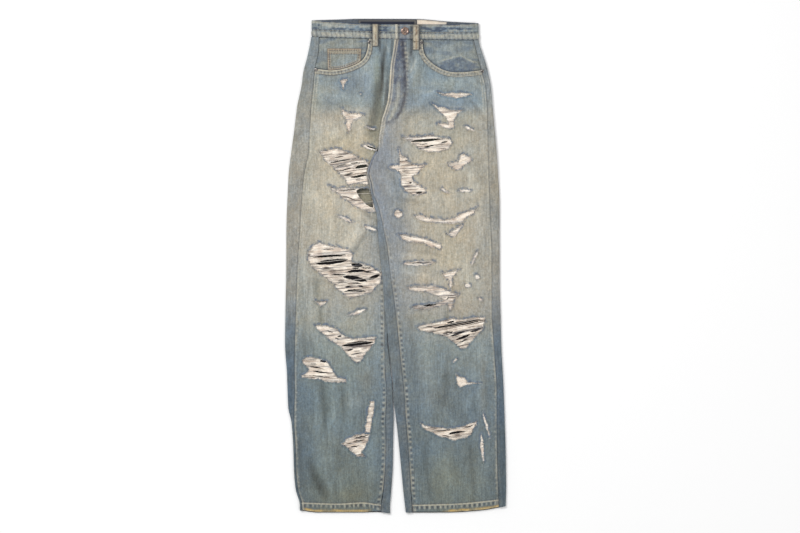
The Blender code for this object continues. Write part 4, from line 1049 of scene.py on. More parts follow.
def cut_wall(
    name: str,
    loop: Sequence[Spot],
    holes: Sequence[Sequence[Spot]],
    cell: float,
    top: Surface,
    thick: Surface | float,
    tint: Callable[[Array, Array], Array],
    inner_tint: Array,
    rings: Sequence[float] = (),
    guides: Sequence[Spot] = (),
) -> Wall:
    """A cloth panel cut to an outline with holes, lying on its heights.

    Args:
        name: the piece's name.
        loop: the outline in metres.
        holes: the outlines of the holes.
        cell: spacing of the inner points.
        top: height of the upper face.
        thick: thickness of the cloth.
        tint: colour of the upper face.
        inner_tint: colour of the lower face.
        rings: distances round each hole at which more points are put.
        guides: more points, where fine marks run.

    Returns:
        The panel's wall.
    """
    points: list[Spot] = []
    edges: list[tuple[int, int]] = []
    for ring in [loop, *holes]:
        first = len(points)
        points += list(ring)
        edges += [(first + k, first + (k + 1) % len(ring)) for k in range(len(ring))]
    extra = [spot for hole in holes for distance in rings for spot in grown(hole, distance)] + list(guides)
    low, high = np.min(loop, axis=0), np.max(loop, axis=0)
    rows = np.arange(low[1], high[1], cell * math.sqrt(3) / 2)
    grid = np.array([
        (x, y) for n, y in enumerate(rows) for x in np.arange(low[0] + (n % 2) * cell / 2, high[0], cell)
    ])
    kept = inside_loop(grid, loop) & (loop_distance(grid, loop, cell) > 0.5 * cell)
    clear = max(rings, default=0.0) + 0.35 * cell
    for hole in holes:
        kept &= ~inside_loop(grid, hole) & (loop_distance(grid, hole, 2 * cell) > clear)
    points += plain(grid[kept])
    if extra:
        ringed = np.array(extra)
        fit = inside_loop(ringed, loop) & (loop_distance(ringed, loop, 0.002) > 0.0006)
        for hole in holes:
            fit &= ~inside_loop(ringed, hole) & (loop_distance(ringed, hole, 0.002) > 0.0004)
        points += plain(ringed[fit])
    placed, _, triangles, *_ = delaunay_2d_cdt([Vector(p) for p in points], edges, [], 0, 1e-7)
    flat = np.array([(p.x, p.y) for p in placed])
    corners = np.array(triangles)
    middles = flat[corners].mean(axis=1)
    wanted = inside_loop(middles, loop)
    for hole in holes:
        wanted &= ~inside_loop(middles, hole)
    corners = corners[wanted]
    a, b, c = (flat[corners[:, k]] for k in range(3))
    turn = (b[:, 0] - a[:, 0]) * (c[:, 1] - a[:, 1]) - (b[:, 1] - a[:, 1]) * (c[:, 0] - a[:, 0])
    corners[turn < 0] = corners[turn < 0][:, ::-1]
    used, index = np.unique(corners, return_inverse=True)
    faces = index.reshape(-1, 3).tolist()
    x, y = flat[used, 0], flat[used, 1]
    height = top(x, y)
    depth = thick(x, y) if callable(thick) else np.full(len(x), thick)
    outer = np.stack([x, y, height], axis=1)
    inner = np.stack([x, y, height - depth], axis=1)
    back = np.tile(inner_tint, (len(x), 1))
    return Wall(name, outer, inner, faces, tint(x, y), back)


# Colours of the worn denim


@dataclass(frozen=True)
class FadeRow:
    """The cloth's colour at one height of a leg: middle, outer side and inner side."""

    v: float
    middle: Rgb
    outer: Rgb
    inner: Rgb


FADES: dict[Leg, tuple[FadeRow, ...]] = {
    L: (
        FadeRow(40, (130, 144, 149), (125, 140, 146), (123, 137, 144)),
        FadeRow(75, (124, 139, 149), (132, 143, 146), (117, 132, 136)),
        FadeRow(104, (134, 147, 151), (148, 155, 149), (107, 119, 116)),
        FadeRow(116, (175, 168, 153), (161, 158, 148), (126, 123, 106)),
        FadeRow(150, (191, 181, 161), (168, 164, 152), (170, 161, 141)),
        FadeRow(200, (187, 178, 160), (170, 165, 153), (166, 159, 144)),
        FadeRow(240, (180, 173, 157), (164, 160, 150), (156, 152, 144)),
        FadeRow(300, (163, 160, 149), (148, 151, 144), (140, 146, 147)),
        FadeRow(345, (131, 143, 143), (117, 131, 137), (119, 134, 141)),
        FadeRow(390, (113, 127, 130), (99, 115, 124), (107, 122, 130)),
        FadeRow(440, (107, 121, 125), (93, 108, 117), (101, 116, 123)),
        FadeRow(500, (104, 114, 111), (92, 104, 107), (92, 107, 114)),
    ),
    R: (
        FadeRow(40, (132, 146, 151), (128, 141, 147), (97, 112, 132)),
        FadeRow(75, (130, 145, 151), (132, 143, 147), (97, 112, 132)),
        FadeRow(104, (123, 140, 152), (136, 147, 148), (105, 118, 134)),
        FadeRow(118, (166, 163, 151), (160, 157, 148), (130, 136, 143)),
        FadeRow(160, (183, 175, 157), (168, 163, 151), (128, 134, 145)),
        FadeRow(210, (180, 172, 155), (164, 160, 149), (126, 134, 145)),
        FadeRow(260, (179, 170, 152), (162, 158, 147), (132, 139, 146)),
        FadeRow(305, (173, 165, 151), (156, 153, 145), (125, 134, 142)),
        FadeRow(345, (132, 144, 145), (126, 138, 140), (112, 127, 136)),
        FadeRow(390, (111, 125, 132), (110, 124, 131), (105, 120, 129)),
        FadeRow(440, (107, 121, 126), (102, 116, 123), (100, 115, 123)),
        FadeRow(500, (106, 116, 113), (93, 107, 112), (96, 110, 115)),
    ),
}


@dataclass(frozen=True)
class Cast:
    """A soft spot of another colour on one leg; the dark ones in the folds and beside the fly's lap are
    painted shade.
    """

    leg: Leg
    u: float
    v: float
    across: float
    down: float
    colour: Rgb
    strength: float


# Faded and worn patches, and painted shade: the dark spots in the fold left of the fly, beside its lap and
# along crease troughs.
CASTS: tuple[Cast, ...] = by_leg(Cast, (
    (383.4, 74, 1.7, 20, (43, 50, 58), 0.9), (378, 104, 5, 22, (96, 101, 88), 0.75),
    (375.6, 118, 1.6, 20, (65, 72, 68), 0.55), (373, 132, 6, 14, (124, 122, 100), 0.6),
    (377, 70, 3, 16, (128, 136, 122), 0.5), (387, 74, 1.6, 22, (63, 76, 88), 0.6),
    (352, 84, 12, 9, (107, 124, 140), 0.55), (326, 90, 12, 4, (154, 155, 144), 0.45),
    (366, 66, 5, 6, (160, 164, 153), 0.35), (378, 215, 6, 18, (118, 120, 106), 0.6),
    (340, 142, 24, 10, (191, 181, 152), 0.35), (322, 205, 16, 40, (191, 183, 162), 0.3),
    (306, 170, 6, 50, (168, 167, 151), 0.4), (376, 245, 7, 24, (132, 143, 149), 0.6),
    (317, 290, 4, 14, (130, 132, 116), 0.55), (321, 317, 3.4, 14, (128, 130, 114), 0.55),
    (350, 325, 22, 8, (160, 161, 149), 0.3), (306, 350, 7, 12, (99, 111, 113), 0.45),
    (326, 405, 4.5, 28, (79, 94, 99), 0.65), (343, 400, 3.5, 16, (83, 98, 103), 0.5),
    (316, 480, 7, 15, (71, 81, 79), 0.7), (355, 482, 18, 16, (116, 121, 107), 0.45),
    (366, 380, 9, 12, (132, 134, 128), 0.45), (356, 400, 12, 9, (132, 134, 126), 0.4),
    (310, 405, 8, 16, (93, 113, 127), 0.5), (308, 448, 8, 14, (95, 115, 128), 0.4),
    (336, 436, 10, 12, (115, 125, 125), 0.4), (332, 360, 7, 8, (128, 134, 130), 0.4),
    (366, 470, 7, 22, (103, 119, 125), 0.4), (350, 495, 22, 8, (114, 115, 97), 0.5),
    (387.4, 96, 1.5, 14, (57, 69, 82), 0.8), (385.6, 64, 1.3, 10, (134, 145, 147), 0.5),
    (372, 150, 7, 8, (138, 134, 114), 0.5), (362, 160, 14, 8, (181, 171, 142), 0.35),
    (340, 76, 20, 3.4, (162, 164, 153), 0.3), (330, 102, 10, 6, (117, 132, 146), 0.4),
    (366, 90, 5, 16, (105, 122, 140), 0.45),
), (
    (430, 84, 12, 2.4, (162, 166, 157), 0.4), (424, 92, 10, 2.0, (164, 166, 155), 0.35),
    (408, 66, 4, 12, (154, 159, 156), 0.4), (470, 118, 12, 5, (181, 177, 156), 0.4),
    (476, 176, 9, 26, (173, 168, 151), 0.4), (472, 150, 10, 5, (154, 161, 160), 0.4),
    (426, 372, 12, 10, (119, 127, 129), 0.4), (472, 405, 9, 20, (99, 118, 132), 0.45),
    (436, 398, 14, 10, (119, 123, 121), 0.35), (424, 456, 9, 18, (101, 119, 127), 0.4),
    (468, 460, 10, 14, (111, 121, 121), 0.35), (416, 340, 7, 16, (107, 125, 137), 0.4),
    (418, 74, 5, 12, (164, 167, 155), 0.4), (446, 86, 18, 5, (146, 156, 152), 0.4),
    (468, 102, 22, 5, (111, 132, 146), 0.6), (412, 103, 10, 5, (115, 132, 148), 0.5),
    (398, 188, 12, 36, (114, 130, 144), 0.75), (386, 160, 8, 14, (117, 129, 144), 0.6),
    (402, 236, 10, 16, (121, 134, 150), 0.5), (412, 268, 13, 8, (136, 147, 151), 0.5),
    (420, 302, 14, 8, (125, 139, 147), 0.45), (448, 134, 26, 14, (181, 175, 152), 0.3),
    (450, 250, 14, 26, (191, 179, 152), 0.5), (470, 284, 12, 22, (181, 173, 148), 0.35),
    (447, 318, 2.6, 8, (132, 130, 114), 0.5), (424, 318, 16, 6, (140, 142, 126), 0.4),
    (483, 378, 3.4, 34, (124, 128, 124), 0.6), (444, 352, 22, 12, (117, 131, 137), 0.3),
    (448, 476, 26, 18, (114, 119, 105), 0.4), (450, 404, 20, 14, (107, 119, 121), 0.35),
))
BLOTCHES = (
    (CellNoise(31, 0.034, 0.050, 0.3), 0.070),
    (CellNoise(32, 0.013, 0.019, -0.4), 0.085),
    (CellNoise(35, 0.0062, 0.0078, 0.5), 0.078),
    (CellNoise(33, 0.0032, 0.030), 0.080),
    (CellNoise(34, 0.0030, 0.0036), 0.072),
)
WARMTH = (CellNoise(36, 0.028, 0.040, 0.2), CellNoise(37, 0.0080, 0.0120, -0.3))
SEAM_DARK = linear((56, 60, 72))
SEAM_LIGHT = linear((206, 200, 180))
CREAM = linear((222, 212, 188))
OCHRE = linear((194, 160, 88))
COTTON = linear((246, 237, 224)) / STUDIO_GAIN
# Blue-grey of the rips' edges: frayed indigo threads and painted shade.
FRAYED_BLUE_AND_SHADE = linear((96, 110, 130))
FRAYED_GREY_AND_SHADE = linear((122, 131, 140))
# The last strand colour, brown, stands for painted shade between bundles of threads.
STRAND_COLOURS = ((250, 243, 232), (228, 212, 196), (150, 150, 158), (112, 96, 88))
END_COLOURS = ((98, 111, 130), (134, 143, 152), (240, 234, 224))
BED_UNDER = linear((150, 140, 130))
UNDERSIDE = linear((112, 117, 126))
# Painted shade on the cloth's insides, which show only through gaps.
INSIDE_SHADE = linear((24, 22, 24))


SIDE_STRIP = (
    (40, (130, 139, 144)), (90, (142, 146, 146)), (110, (152, 153, 148)), (150, (160, 158, 149)),
    (250, (156, 154, 146)), (300, (142, 145, 144)), (335, (106, 118, 128)), (400, (88, 102, 114)),
    (510, (90, 102, 108)),
)
INNER_STRIP = (
    (190, (128, 136, 142)), (240, (128, 136, 140)), (320, (120, 128, 131)), (400, (110, 119, 124)),
    (500, (104, 113, 118)),
)


def colours_down(v: Array, rows: Sequence[tuple[float, Rgb]]) -> Array:
    """Linear colours down a leg, from the colours at some heights.

    Args:
        v: grid squares down the leg.
        rows: (grid squares down, colour from 0 to 255) rows.

    Returns:
        One linear row for each place.
    """
    knots = [row[0] for row in rows]
    table = np.array([linear(row[1]) for row in rows])
    return np.stack([np.interp(v, knots, table[:, k]) for k in range(3)], axis=1)


def blotched(base: Array, x: Array, y: Array, strength: float = 1.0) -> Array:
    """Colours with uneven washing: lighter and darker, warmer and cooler spots.

    Args:
        base: one row for each place.
        x: metres to the right.
        y: metres towards the waist.
        strength: how uneven.

    Returns:
        The new rows.
    """
    level = 1 + strength * sum(size * noise.at(x, y) for noise, size in BLOTCHES)
    warm = strength * (0.045 * WARMTH[0].at(x, y) + 0.030 * WARMTH[1].at(x, y))
    return base * level[:, None] * (1 + warm[:, None] * np.array([1.0, 0.05, -1.3]))


def mixed(base: Array, colour: Rgb | Array, share: Array) -> Array:
    """Colours mixed place by place.

    Args:
        base: one linear row for each place.
        colour: red, green and blue from 0 to 255, or a linear colour, or a linear row for each place.
        share: 0 to 1 of the second.

    Returns:
        The mixed rows.
    """
    coat = linear(colour) if isinstance(colour, tuple) else colour
    part = np.asarray(share)[:, None]
    return base * (1 - part) + coat * part


def band_of(distance: Array, middle: float, width: float) -> Array:
    """A soft line at a distance from something."""
    return np.exp(-(((distance - middle) / width) ** 2))


@dataclass(frozen=True)
class FoldLine:
    """A dark or pale line along a fold, through (v, u) rows of the pattern grid. The dark lines are painted
    shade in the folds and painted shadow beside the fly and the belt loops.
    """

    leg: Leg
    line: PatternLine
    width: float
    colour: Rgb
    strength: float

    def share(self, u: Array, v: Array) -> Array:
        """How much of the line's colour shows at each place."""
        first, last = self.line.rows[0][0], self.line.rows[-1][0]
        ends = step((v - first) / 7) * (1 - step((v - last + 7) / 7))
        return self.strength * ends * band_of(u, self.line.at(v), self.width)


FOLD_LINES: tuple[FoldLine, ...] = by_leg(FoldLine, (
    # The dark rows here are painted shade in the deep fold and along the lap left of the fly.
    (PatternLine(((58, 381.2), (76, 382.3), (86, 381.4), (102, 379.4))), 0.9, (34, 38, 46), 0.85),
    (PatternLine(((86, 376.8), (108, 373.2), (130, 370.8))), 1.1, (82, 90, 88), 0.45),
    (PatternLine(((76, 387.6), (96, 386.2), (120, 382.4), (148, 379.4))), 0.8, (48, 56, 68), 0.75),
    (PatternLine(((66, 384.9), (92, 384.0), (112, 381.8))), 0.8, (150, 162, 166), 0.55),
    (PatternLine(((222, 375.0), (256, 352.0))), 1.4, (118, 124, 122), 0.5),
    (PatternLine(((128, 378.0), (146, 374.0), (160, 376.0))), 1.2, (98, 100, 84), 0.4),
    # The next three rows are painted shadow beside the left belt loop's edges and along the fly's edge.
    (PatternLine(((34, 371.2), (55, 371.2))), 0.9, (34, 38, 46), 0.8),
    (PatternLine(((34, 379.9), (56, 379.9))), 1.0, (34, 38, 46), 0.85),
    (PatternLine(((34, 392.4), (60, 391.2))), 0.8, (34, 38, 46), 0.6),
    (PatternLine(((38, 383.5), (56, 390.5))), 0.9, (172, 178, 174), 0.5),
), (
    # The first two rows are painted shadow beside the right belt loop's edges.
    (PatternLine(((34, 411.2), (60, 411.2))), 1.2, (34, 38, 52), 0.85),
    (PatternLine(((34, 421.0), (59, 421.0))), 1.0, (34, 38, 46), 0.75),
    (PatternLine(((48, 408.4), (64, 407.0), (80, 406.0))), 0.9, (192, 192, 180), 0.5),
    (PatternLine(((56, 417.6), (76, 409.0))), 1.1, (178, 182, 176), 0.5),
    (PatternLine(((56, 420.0), (74, 413.0))), 1.0, (96, 110, 124), 0.35),
))


@dataclass(frozen=True)
class WornTint:
    """The colour of the outside of one leg at any place."""

    leg: Leg
    on_back: bool = False

    def base(self, x: Array, y: Array) -> Array:
        """Fading down and across the leg.

        Args:
            x: metres to the right.
            y: metres towards the waist.

        Returns:
            One linear colour for each place.
        """
        v = v_of(y)
        outer, inner = LAYERS.outer_seam(self.leg, y), LAYERS.inner_seam(self.leg, y)
        if self.leg is R:
            inner = np.where(v < CROTCH_V, FLY_EDGE.x_at(y), inner)
        else:
            inner = np.where(v < CROTCH_V, FLY_EDGE.x_at(y), np.minimum(inner, RIGHT_FOLD.x_at(y) + 0.004))
        t = np.clip((x - outer) / (inner - outer), 0, 1)
        rows = FADES[self.leg]
        middle = colours_down(v, [(row.v, row.middle) for row in rows])
        outer_side = colours_down(v, [(row.v, row.outer) for row in rows])
        inner_side = colours_down(v, [(row.v, row.inner) for row in rows])
        return mixed(mixed(outer_side, middle, step(t / 0.34)), inner_side, step((t - 0.66) / 0.34))

    def at(self, x: Array, y: Array) -> Array:
        """The whole colour: fading, casts, painted light and shade on the creases, seams and blotches.

        Args:
            x: metres to the right.
            y: metres towards the waist.

        Returns:
            One linear colour for each place.
        """
        tint = self.base(x, y)
        u, v = u_of(x), v_of(y)
        if not self.on_back:
            # Faded patches, and painted shade in the folds.
            for cast in CASTS:
                if cast.leg is self.leg:
                    share = np.exp(-(((u - cast.u) / cast.across) ** 2) - ((v - cast.v) / cast.down) ** 2)
                    tint = mixed(tint, linear(cast.colour), share * cast.strength)
            for fold in FOLD_LINES:
                if fold.leg is self.leg:
                    tint = mixed(tint, linear(fold.colour), fold.share(u, v))
            # Painted light on the crease ridges and painted shade in their troughs, partly also the paler
            # wear on ridges.
            relief = sum(c.height * c.shape(x, y) for c in CREASES if c.leg is self.leg)
            relief = relief + 0.35 * sum(c.height * c.shape(x, y) for c in BIG_FOLDS if c.leg is self.leg)
            tint = tint * np.clip(1 + 270 * relief, 0.5, 1.3)[:, None]
        if self.leg is R and not self.on_back:
            tint = self.fly(x, y, tint)
        tint = blotched(tint, x, y)
        # Roping along the seams: partly worn dye, partly painted shade in the pucker valleys and painted
        # light on their crests.
        pucker = seam_pucker(self.leg, x, y)
        tint = mixed(tint, SEAM_DARK, np.clip(-pucker * 1.7 - 0.25, 0, 0.85))
        tint = mixed(tint, SEAM_LIGHT, np.clip(pucker * 0.9 - 0.1, 0, 0.45))
        if not self.on_back:
            tint = self.hem(x, y, self.pocket(x, y, tint))
        return self.seam_lines(x, y, tint)

    def pocket(self, x: Array, y: Array, tint: Array) -> Array:
        """The worn double-stitched band round the pocket opening.

        Args:
            x: metres to the right.
            y: metres towards the waist.
            tint: the colours so far.

        Returns:
            The colours with the band.
        """
        line = curve_points(POCKET[self.leg], 0.003)
        gap, along = line_distance(np.stack([x, y], axis=1), plain(line), 0.02)
        pull = pulled(along, 0.0072, 43)
        inside = 1 - step((gap - POCKET_BAND) / POCKET_BAND_EDGE)
        tint = mixed(tint, (160, 156, 143), 0.6 * inside)
        tint = mixed(tint, (74, 70, 72), np.clip(0.15 - 1.2 * pull, 0, 0.8) * band_of(gap, 0.0046, 0.0022))
        tint = mixed(tint, CREAM, 0.75 * band_of(gap, 0.0012, 0.0013))
        tint = mixed(tint, CREAM, np.clip(0.4 + 0.5 * pull, 0, 0.7) * band_of(gap, 0.0080, 0.0009))
        return mixed(tint, (62, 60, 64), 0.7 * band_of(gap, 0.0105, 0.0010))

    def hem(self, x: Array, y: Array, tint: Array) -> Array:
        """The pale stitched line over the hem and the ochre wear along its bottom edge.

        Args:
            x: metres to the right.
            y: metres towards the waist.
            tint: the colours so far.

        Returns:
            The colours with the hem.
        """
        left = self.leg is L
        below = HEM_TOP[self.leg].y_at(x) - y
        above = y - HEM[self.leg].y_at(x)
        u = u_of(x)
        tint = mixed(tint, CREAM, 0.7 * band_of(below, 0.0010, 0.0011))
        tint = mixed(tint, SEAM_DARK, 0.5 * band_of(below, -0.0016, 0.0009))
        worn = step((u - 302) / 6) * (1 - step((u - 366) / 8)) if left else step((u - 440) / 12)
        edge = np.clip(worn * (0.75 + 0.7 * CellNoise(44, 0.011, 0.004).at(x, y)), 0, 0.95)
        tint = mixed(tint, OCHRE, edge * (1 - step((above - 0.0036) / 0.0022)))
        return mixed(tint, (222, 206, 166), 0.7 * edge * band_of(above, 0.0002, 0.0014))

    def seam_lines(self, x: Array, y: Array, tint: Array) -> Array:
        """Pale worn lines beside the seams and a dark one in them.

        Args:
            x: metres to the right.
            y: metres towards the waist.
            tint: the colours so far.

        Returns:
            The colours with the lines.
        """
        v = v_of(y)
        to_outer = np.abs(x - LAYERS.outer_seam(self.leg, y))
        to_inner = np.abs(x - LAYERS.inner_seam(self.leg, y))
        high, low = 1 - step((v - 108) / 14), step((v - 150) / 30)
        worn = np.clip(0.55 + 0.6 * CellNoise(46, 0.009, 0.016).at(x, y), 0, 1)
        tint = mixed(tint, SEAM_LIGHT, (0.44 + 0.14 * high) * worn * band_of(to_outer, 0.0030, 0.0019))
        tint = mixed(tint, SEAM_LIGHT, 0.5 * high * band_of(to_outer, 0.0082, 0.0012))
        tint = mixed(tint, SEAM_DARK, 0.3 * low * worn * band_of(to_outer, 0.0062, 0.0012))
        tint = mixed(tint, SEAM_DARK, 0.4 * high * band_of(to_outer, 0.0056, 0.0010))
        tint = mixed(tint, SEAM_DARK, 0.75 * band_of(to_outer, 0.0, 0.0012))
        tint = mixed(tint, (188, 178, 156), 0.6 * low * worn * band_of(to_inner, 0.0024, 0.0014))
        return mixed(tint, SEAM_DARK, 0.8 * low * band_of(to_inner, 0.0, 0.0011))

    def fly(self, x: Array, y: Array, tint: Array) -> Array:
        """The dark indigo fly between its folded edge and its curved stitching.

        Args:
            x: metres to the right.
            y: metres towards the waist.
            tint: the colours so far.

        Returns:
            The colours with the fly.
        """
        u, v = u_of(x), v_of(y)
        edge, stitch = u_of(FLY_EDGE.x_at(y)), FLY_STITCH.at(v)
        inside = step((u - edge) / 1.5) * (1 - step((u - stitch) / 3.0)) * (1 - step((v - 118) / 10))
        speckle = CellNoise(41, 0.0040, 0.0062).at(x, y)
        washed = CellNoise(42, 0.010, 0.016).at(x, y)
        share = np.clip((u - edge) / np.maximum(stitch - edge, 1), 0, 1)
        tint = mixed(tint, (124, 132, 140), inside * 0.8)
        dark = 0.26 + 0.75 * speckle + 0.6 * washed + 0.7 * (1 - step((v - 48) / 18)) + 0.3 * share
        tint = mixed(tint, (58, 72, 100), inside * np.clip(dark, 0, 0.88))
        tint = mixed(tint, (182, 180, 166), inside * np.clip(0.9 * speckle - 0.3 * washed - 0.3, 0, 0.65))
        folded = band_of(share, 0.55, 0.12) * step((v - 74) / 16) * inside
        tint = mixed(tint, (190, 188, 172), 0.6 * folded)
        shown = (1 - step((v - 119) / 6)) * step((v - 40) / 3)
        sewn = shown * band_of(u, stitch - 1.0, 1.5)
        tint = mixed(tint, (46, 50, 72), sewn * np.clip(0.85 + 0.6 * speckle, 0, 1))
        pull = pulled(y, 0.0098, 45)
        beside_it = shown * band_of(u, stitch + 1.5, 1.2)
        tint = mixed(tint, (182, 180, 166), beside_it * np.clip(0.3 + 0.3 * pull + 0.4 * washed, 0, 1))
        tint = mixed(tint, (60, 64, 80), shown * np.clip(-pull, 0, 1) * 0.6 * band_of(u, stitch + 1.8, 1.6))
        foot = np.exp(-(((u - 388) / 8) ** 2) - ((v - 122 + (u - 388) * 0.25) / 2.2) ** 2)
        tint = mixed(tint, (64, 66, 82), foot * np.clip(0.6 + 0.9 * speckle, 0, 1))
        gone = 1 - step((v - 140) / 12)
        tint = mixed(tint, CREAM, gone * 0.85 * band_of(u, edge + 0.8, 0.9))
        tint = mixed(tint, (58, 60, 72), gone * 0.55 * band_of(u, edge + 2.2, 0.6))
        return mixed(tint, CREAM, gone * 0.5 * band_of(u, edge + 3.3, 0.7))


# Finishes


def set_inputs(node: bpy.types.Node, values: dict[str, object]) -> None:
    """Sets a node's inputs by name."""
    for name, value in values.items():
        node.inputs[name].default_value = value


def node_of(
    tree: bpy.types.NodeTree, kind: str, values: dict[str, object] | None = None, **settings
) -> bpy.types.Node:
    """Adds a shader node and sets its inputs and properties.

    Args:
        tree: the material's nodes.
        kind: the node's type.
        values: inputs by name.
        settings: properties by name.

    Returns:
        The node.
    """
    node = tree.nodes.new(kind)
    for name, value in settings.items():
        setattr(node, name, value)
    set_inputs(node, values or {})
    return node


def new_material(name: str, values: dict[str, object]) -> tuple[bpy.types.Material, bpy.types.Node]:
    """A new material.

    Args:
        name: its name.
        values: inputs of its surface node by name.

    Returns:
        The material and its surface node.
    """
    made = bpy.data.materials.new(name)
    made.use_nodes = True
    shader = made.node_tree.nodes["Principled BSDF"]
    set_inputs(shader, values)
    return made, shader


@dataclass(frozen=True)
class DenimFinish:
    """Twill cotton that reads its colour from the tint and adds weave, slubs and nap."""

    name: str
    roughness: float = 0.93
    weave: float = 0.35
    slub: float = 0.17
    grain: float = 0.20
    mottle: float = 0.16
    warmth: float = 0.045

    def material(self) -> bpy.types.Material:
        """Makes the finish's material once.

        Returns:
            The material.
        """
        found = bpy.data.materials.get(self.name)
        if found:
            return found
        made, shader = new_material(
            self.name, {"Roughness": self.roughness, "Specular IOR Level": 0.18, "Sheen Weight": 0.08}
        )
        tree, link = made.node_tree, made.node_tree.links.new
        tint = node_of(tree, "ShaderNodeVertexColor", layer_name="tint")
        place = node_of(tree, "ShaderNodeTexCoord")
        slub = self.noise(tree, place, (560.0, 34.0, 560.0), 1.0, 3.0)
        grain = self.noise(tree, place, (620.0, 520.0, 620.0), 1.0, 2.0)
        mottle = self.noise(tree, place, (240.0, 170.0, 240.0), 1.0, 3.0)
        warm = self.noise(tree, place, (190.0, 230.0, 190.0), 1.0, 2.0)
        value = self.scaled(tree, tint.outputs["Color"], slub, (self.slub,) * 3)
        value = self.scaled(tree, value, grain, (self.grain,) * 3)
        value = self.scaled(tree, value, mottle, (self.mottle,) * 3)
        value = self.scaled(tree, value, warm, (self.warmth * 0.8, 0.0, -self.warmth))
        link(value, shader.inputs["Base Color"])
        turned = node_of(tree, "ShaderNodeMapping", {"Rotation": (0.0, 0.0, math.radians(62))})
        link(place.outputs["Object"], turned.inputs["Vector"])
        wave = {"Scale": 300.0, "Distortion": 1.2, "Detail": 1.0}
        twill = node_of(tree, "ShaderNodeTexWave", wave, wave_type="BANDS", bands_direction="X")
        link(turned.outputs["Vector"], twill.inputs["Vector"])
        bump = node_of(tree, "ShaderNodeBump", {"Strength": self.weave, "Distance": 0.0004})
        link(twill.outputs["Fac"], bump.inputs["Height"])
        nap = node_of(tree, "ShaderNodeBump", {"Strength": 0.4, "Distance": 0.0006})
        link(grain, nap.inputs["Height"])
        link(bump.outputs["Normal"], nap.inputs["Normal"])
        link(nap.outputs["Normal"], shader.inputs["Normal"])
        return made

    def noise(
        self, tree: bpy.types.NodeTree, place: bpy.types.Node, scale: Rgb, size: float, detail: float
    ) -> bpy.types.NodeSocket:
        """A noise on the object's own coordinates.

        Args:
            tree: the material's nodes.
            place: the coordinate node.
            scale: stretch along each axis.
            size: the noise's scale.
            detail: its detail.

        Returns:
            The noise's value socket.
        """
        mapping = node_of(tree, "ShaderNodeMapping", {"Scale": scale})
        tree.links.new(place.outputs["Object"], mapping.inputs["Vector"])
        noise = node_of(tree, "ShaderNodeTexNoise", {"Scale": size, "Detail": detail})
        tree.links.new(mapping.outputs["Vector"], noise.inputs["Vector"])
        return noise.outputs["Fac"]

    def scaled(
        self, tree: bpy.types.NodeTree, colour: bpy.types.NodeSocket, value: bpy.types.NodeSocket, amount: Rgb
    ) -> bpy.types.NodeSocket:
        """A colour made lighter and darker by a noise.

        Args:
            tree: the material's nodes.
            colour: the colour socket.
            value: the noise socket.
            amount: how much lighter and darker in red, green and blue.

        Returns:
            The new colour's socket.
        """
        span = node_of(tree, "ShaderNodeMapRange", data_type="FLOAT_VECTOR")
        for name, ends in (("From_Min_FLOAT3", (0.28,) * 3), ("From_Max_FLOAT3", (0.72,) * 3)):
            self.socket(span, name).default_value = ends
        self.socket(span, "To_Min_FLOAT3").default_value = tuple(1 - share for share in amount)
        self.socket(span, "To_Max_FLOAT3").default_value = tuple(1 + share for share in amount)
        tree.links.new(value, self.socket(span, "Vector"))
        mix = node_of(tree, "ShaderNodeVectorMath", operation="MULTIPLY")
        tree.links.new(colour, mix.inputs[0])
        tree.links.new(span.outputs["Vector"], mix.inputs[1])
        return mix.outputs["Vector"]

    def socket(self, node: bpy.types.Node, name: str) -> bpy.types.NodeSocket:
        """The input socket with this identifier."""
        return next(found for found in node.inputs if found.identifier == name)


@dataclass(frozen=True)
class MetalFinish:
    """Worn plated metal with a tarnished, scratched surface."""

    name: str
    bright: Rgb
    dull: Rgb
    roughness: float

    def material(self) -> bpy.types.Material:
        """Makes the finish's material once.

        Returns:
            The material.
        """
        found = bpy.data.materials.get(self.name)
        if found:
            return found
        made, shader = new_material(self.name, {"Metallic": 0.9, "Roughness": self.roughness})
        tree, link = made.node_tree, made.node_tree.links.new
        place = node_of(tree, "ShaderNodeTexCoord")
        noise = node_of(tree, "ShaderNodeTexNoise", {"Scale": 420.0, "Detail": 4.0})
        link(place.outputs["Object"], noise.inputs["Vector"])
        ramp = node_of(tree, "ShaderNodeValToRGB")
        for stop, position, colour in zip(ramp.color_ramp.elements, (0.40, 0.62), (self.dull, self.bright)):
            stop.position = position
            stop.color = (*linear(colour), 1.0)
        link(noise.outputs["Fac"], ramp.inputs["Fac"])
        link(ramp.outputs["Color"], shader.inputs["Base Color"])
        bump = node_of(tree, "ShaderNodeBump", {"Strength": 0.25, "Distance": 0.0003})
        link(noise.outputs["Fac"], bump.inputs["Height"])
        link(bump.outputs["Normal"], shader.inputs["Normal"])
        return made


DENIM = DenimFinish("worn_denim")
WEFT = DenimFinish("white_weft", roughness=0.95, weave=0.1, slub=0.0, grain=0.10, mottle=0.07, warmth=0.02)
STITCH = DenimFinish(
    "topstitch_thread", roughness=0.85, weave=0.0, slub=0.05, grain=0.16, mottle=0.1, warmth=0.04
)
TAPE = DenimFinish("woven_tape", roughness=0.8, weave=0.2, slub=0.05, grain=0.10, mottle=0.05, warmth=0.02)
COPPER = MetalFinish("worn_copper", (184, 156, 140), (74, 68, 70), 0.34)
NICKEL = MetalFinish("worn_nickel", (176, 172, 168), (70, 66, 66), 0.36)


def finish_piece(
    piece: bpy.types.Object, finish: DenimFinish | MetalFinish, slot: str, nodes: Sequence[str]
) -> None:
    """Dresses a piece, ties it to the part's body and hides the solids that it stands for.

    Args:
        piece: the object.
        finish: its finish.
        slot: not used.
        nodes: the solids that it replaces.
    """
    piece.data.materials.clear()
    piece.data.materials.append(finish.material())
    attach(piece, "root")
    if nodes:
        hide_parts(*nodes)


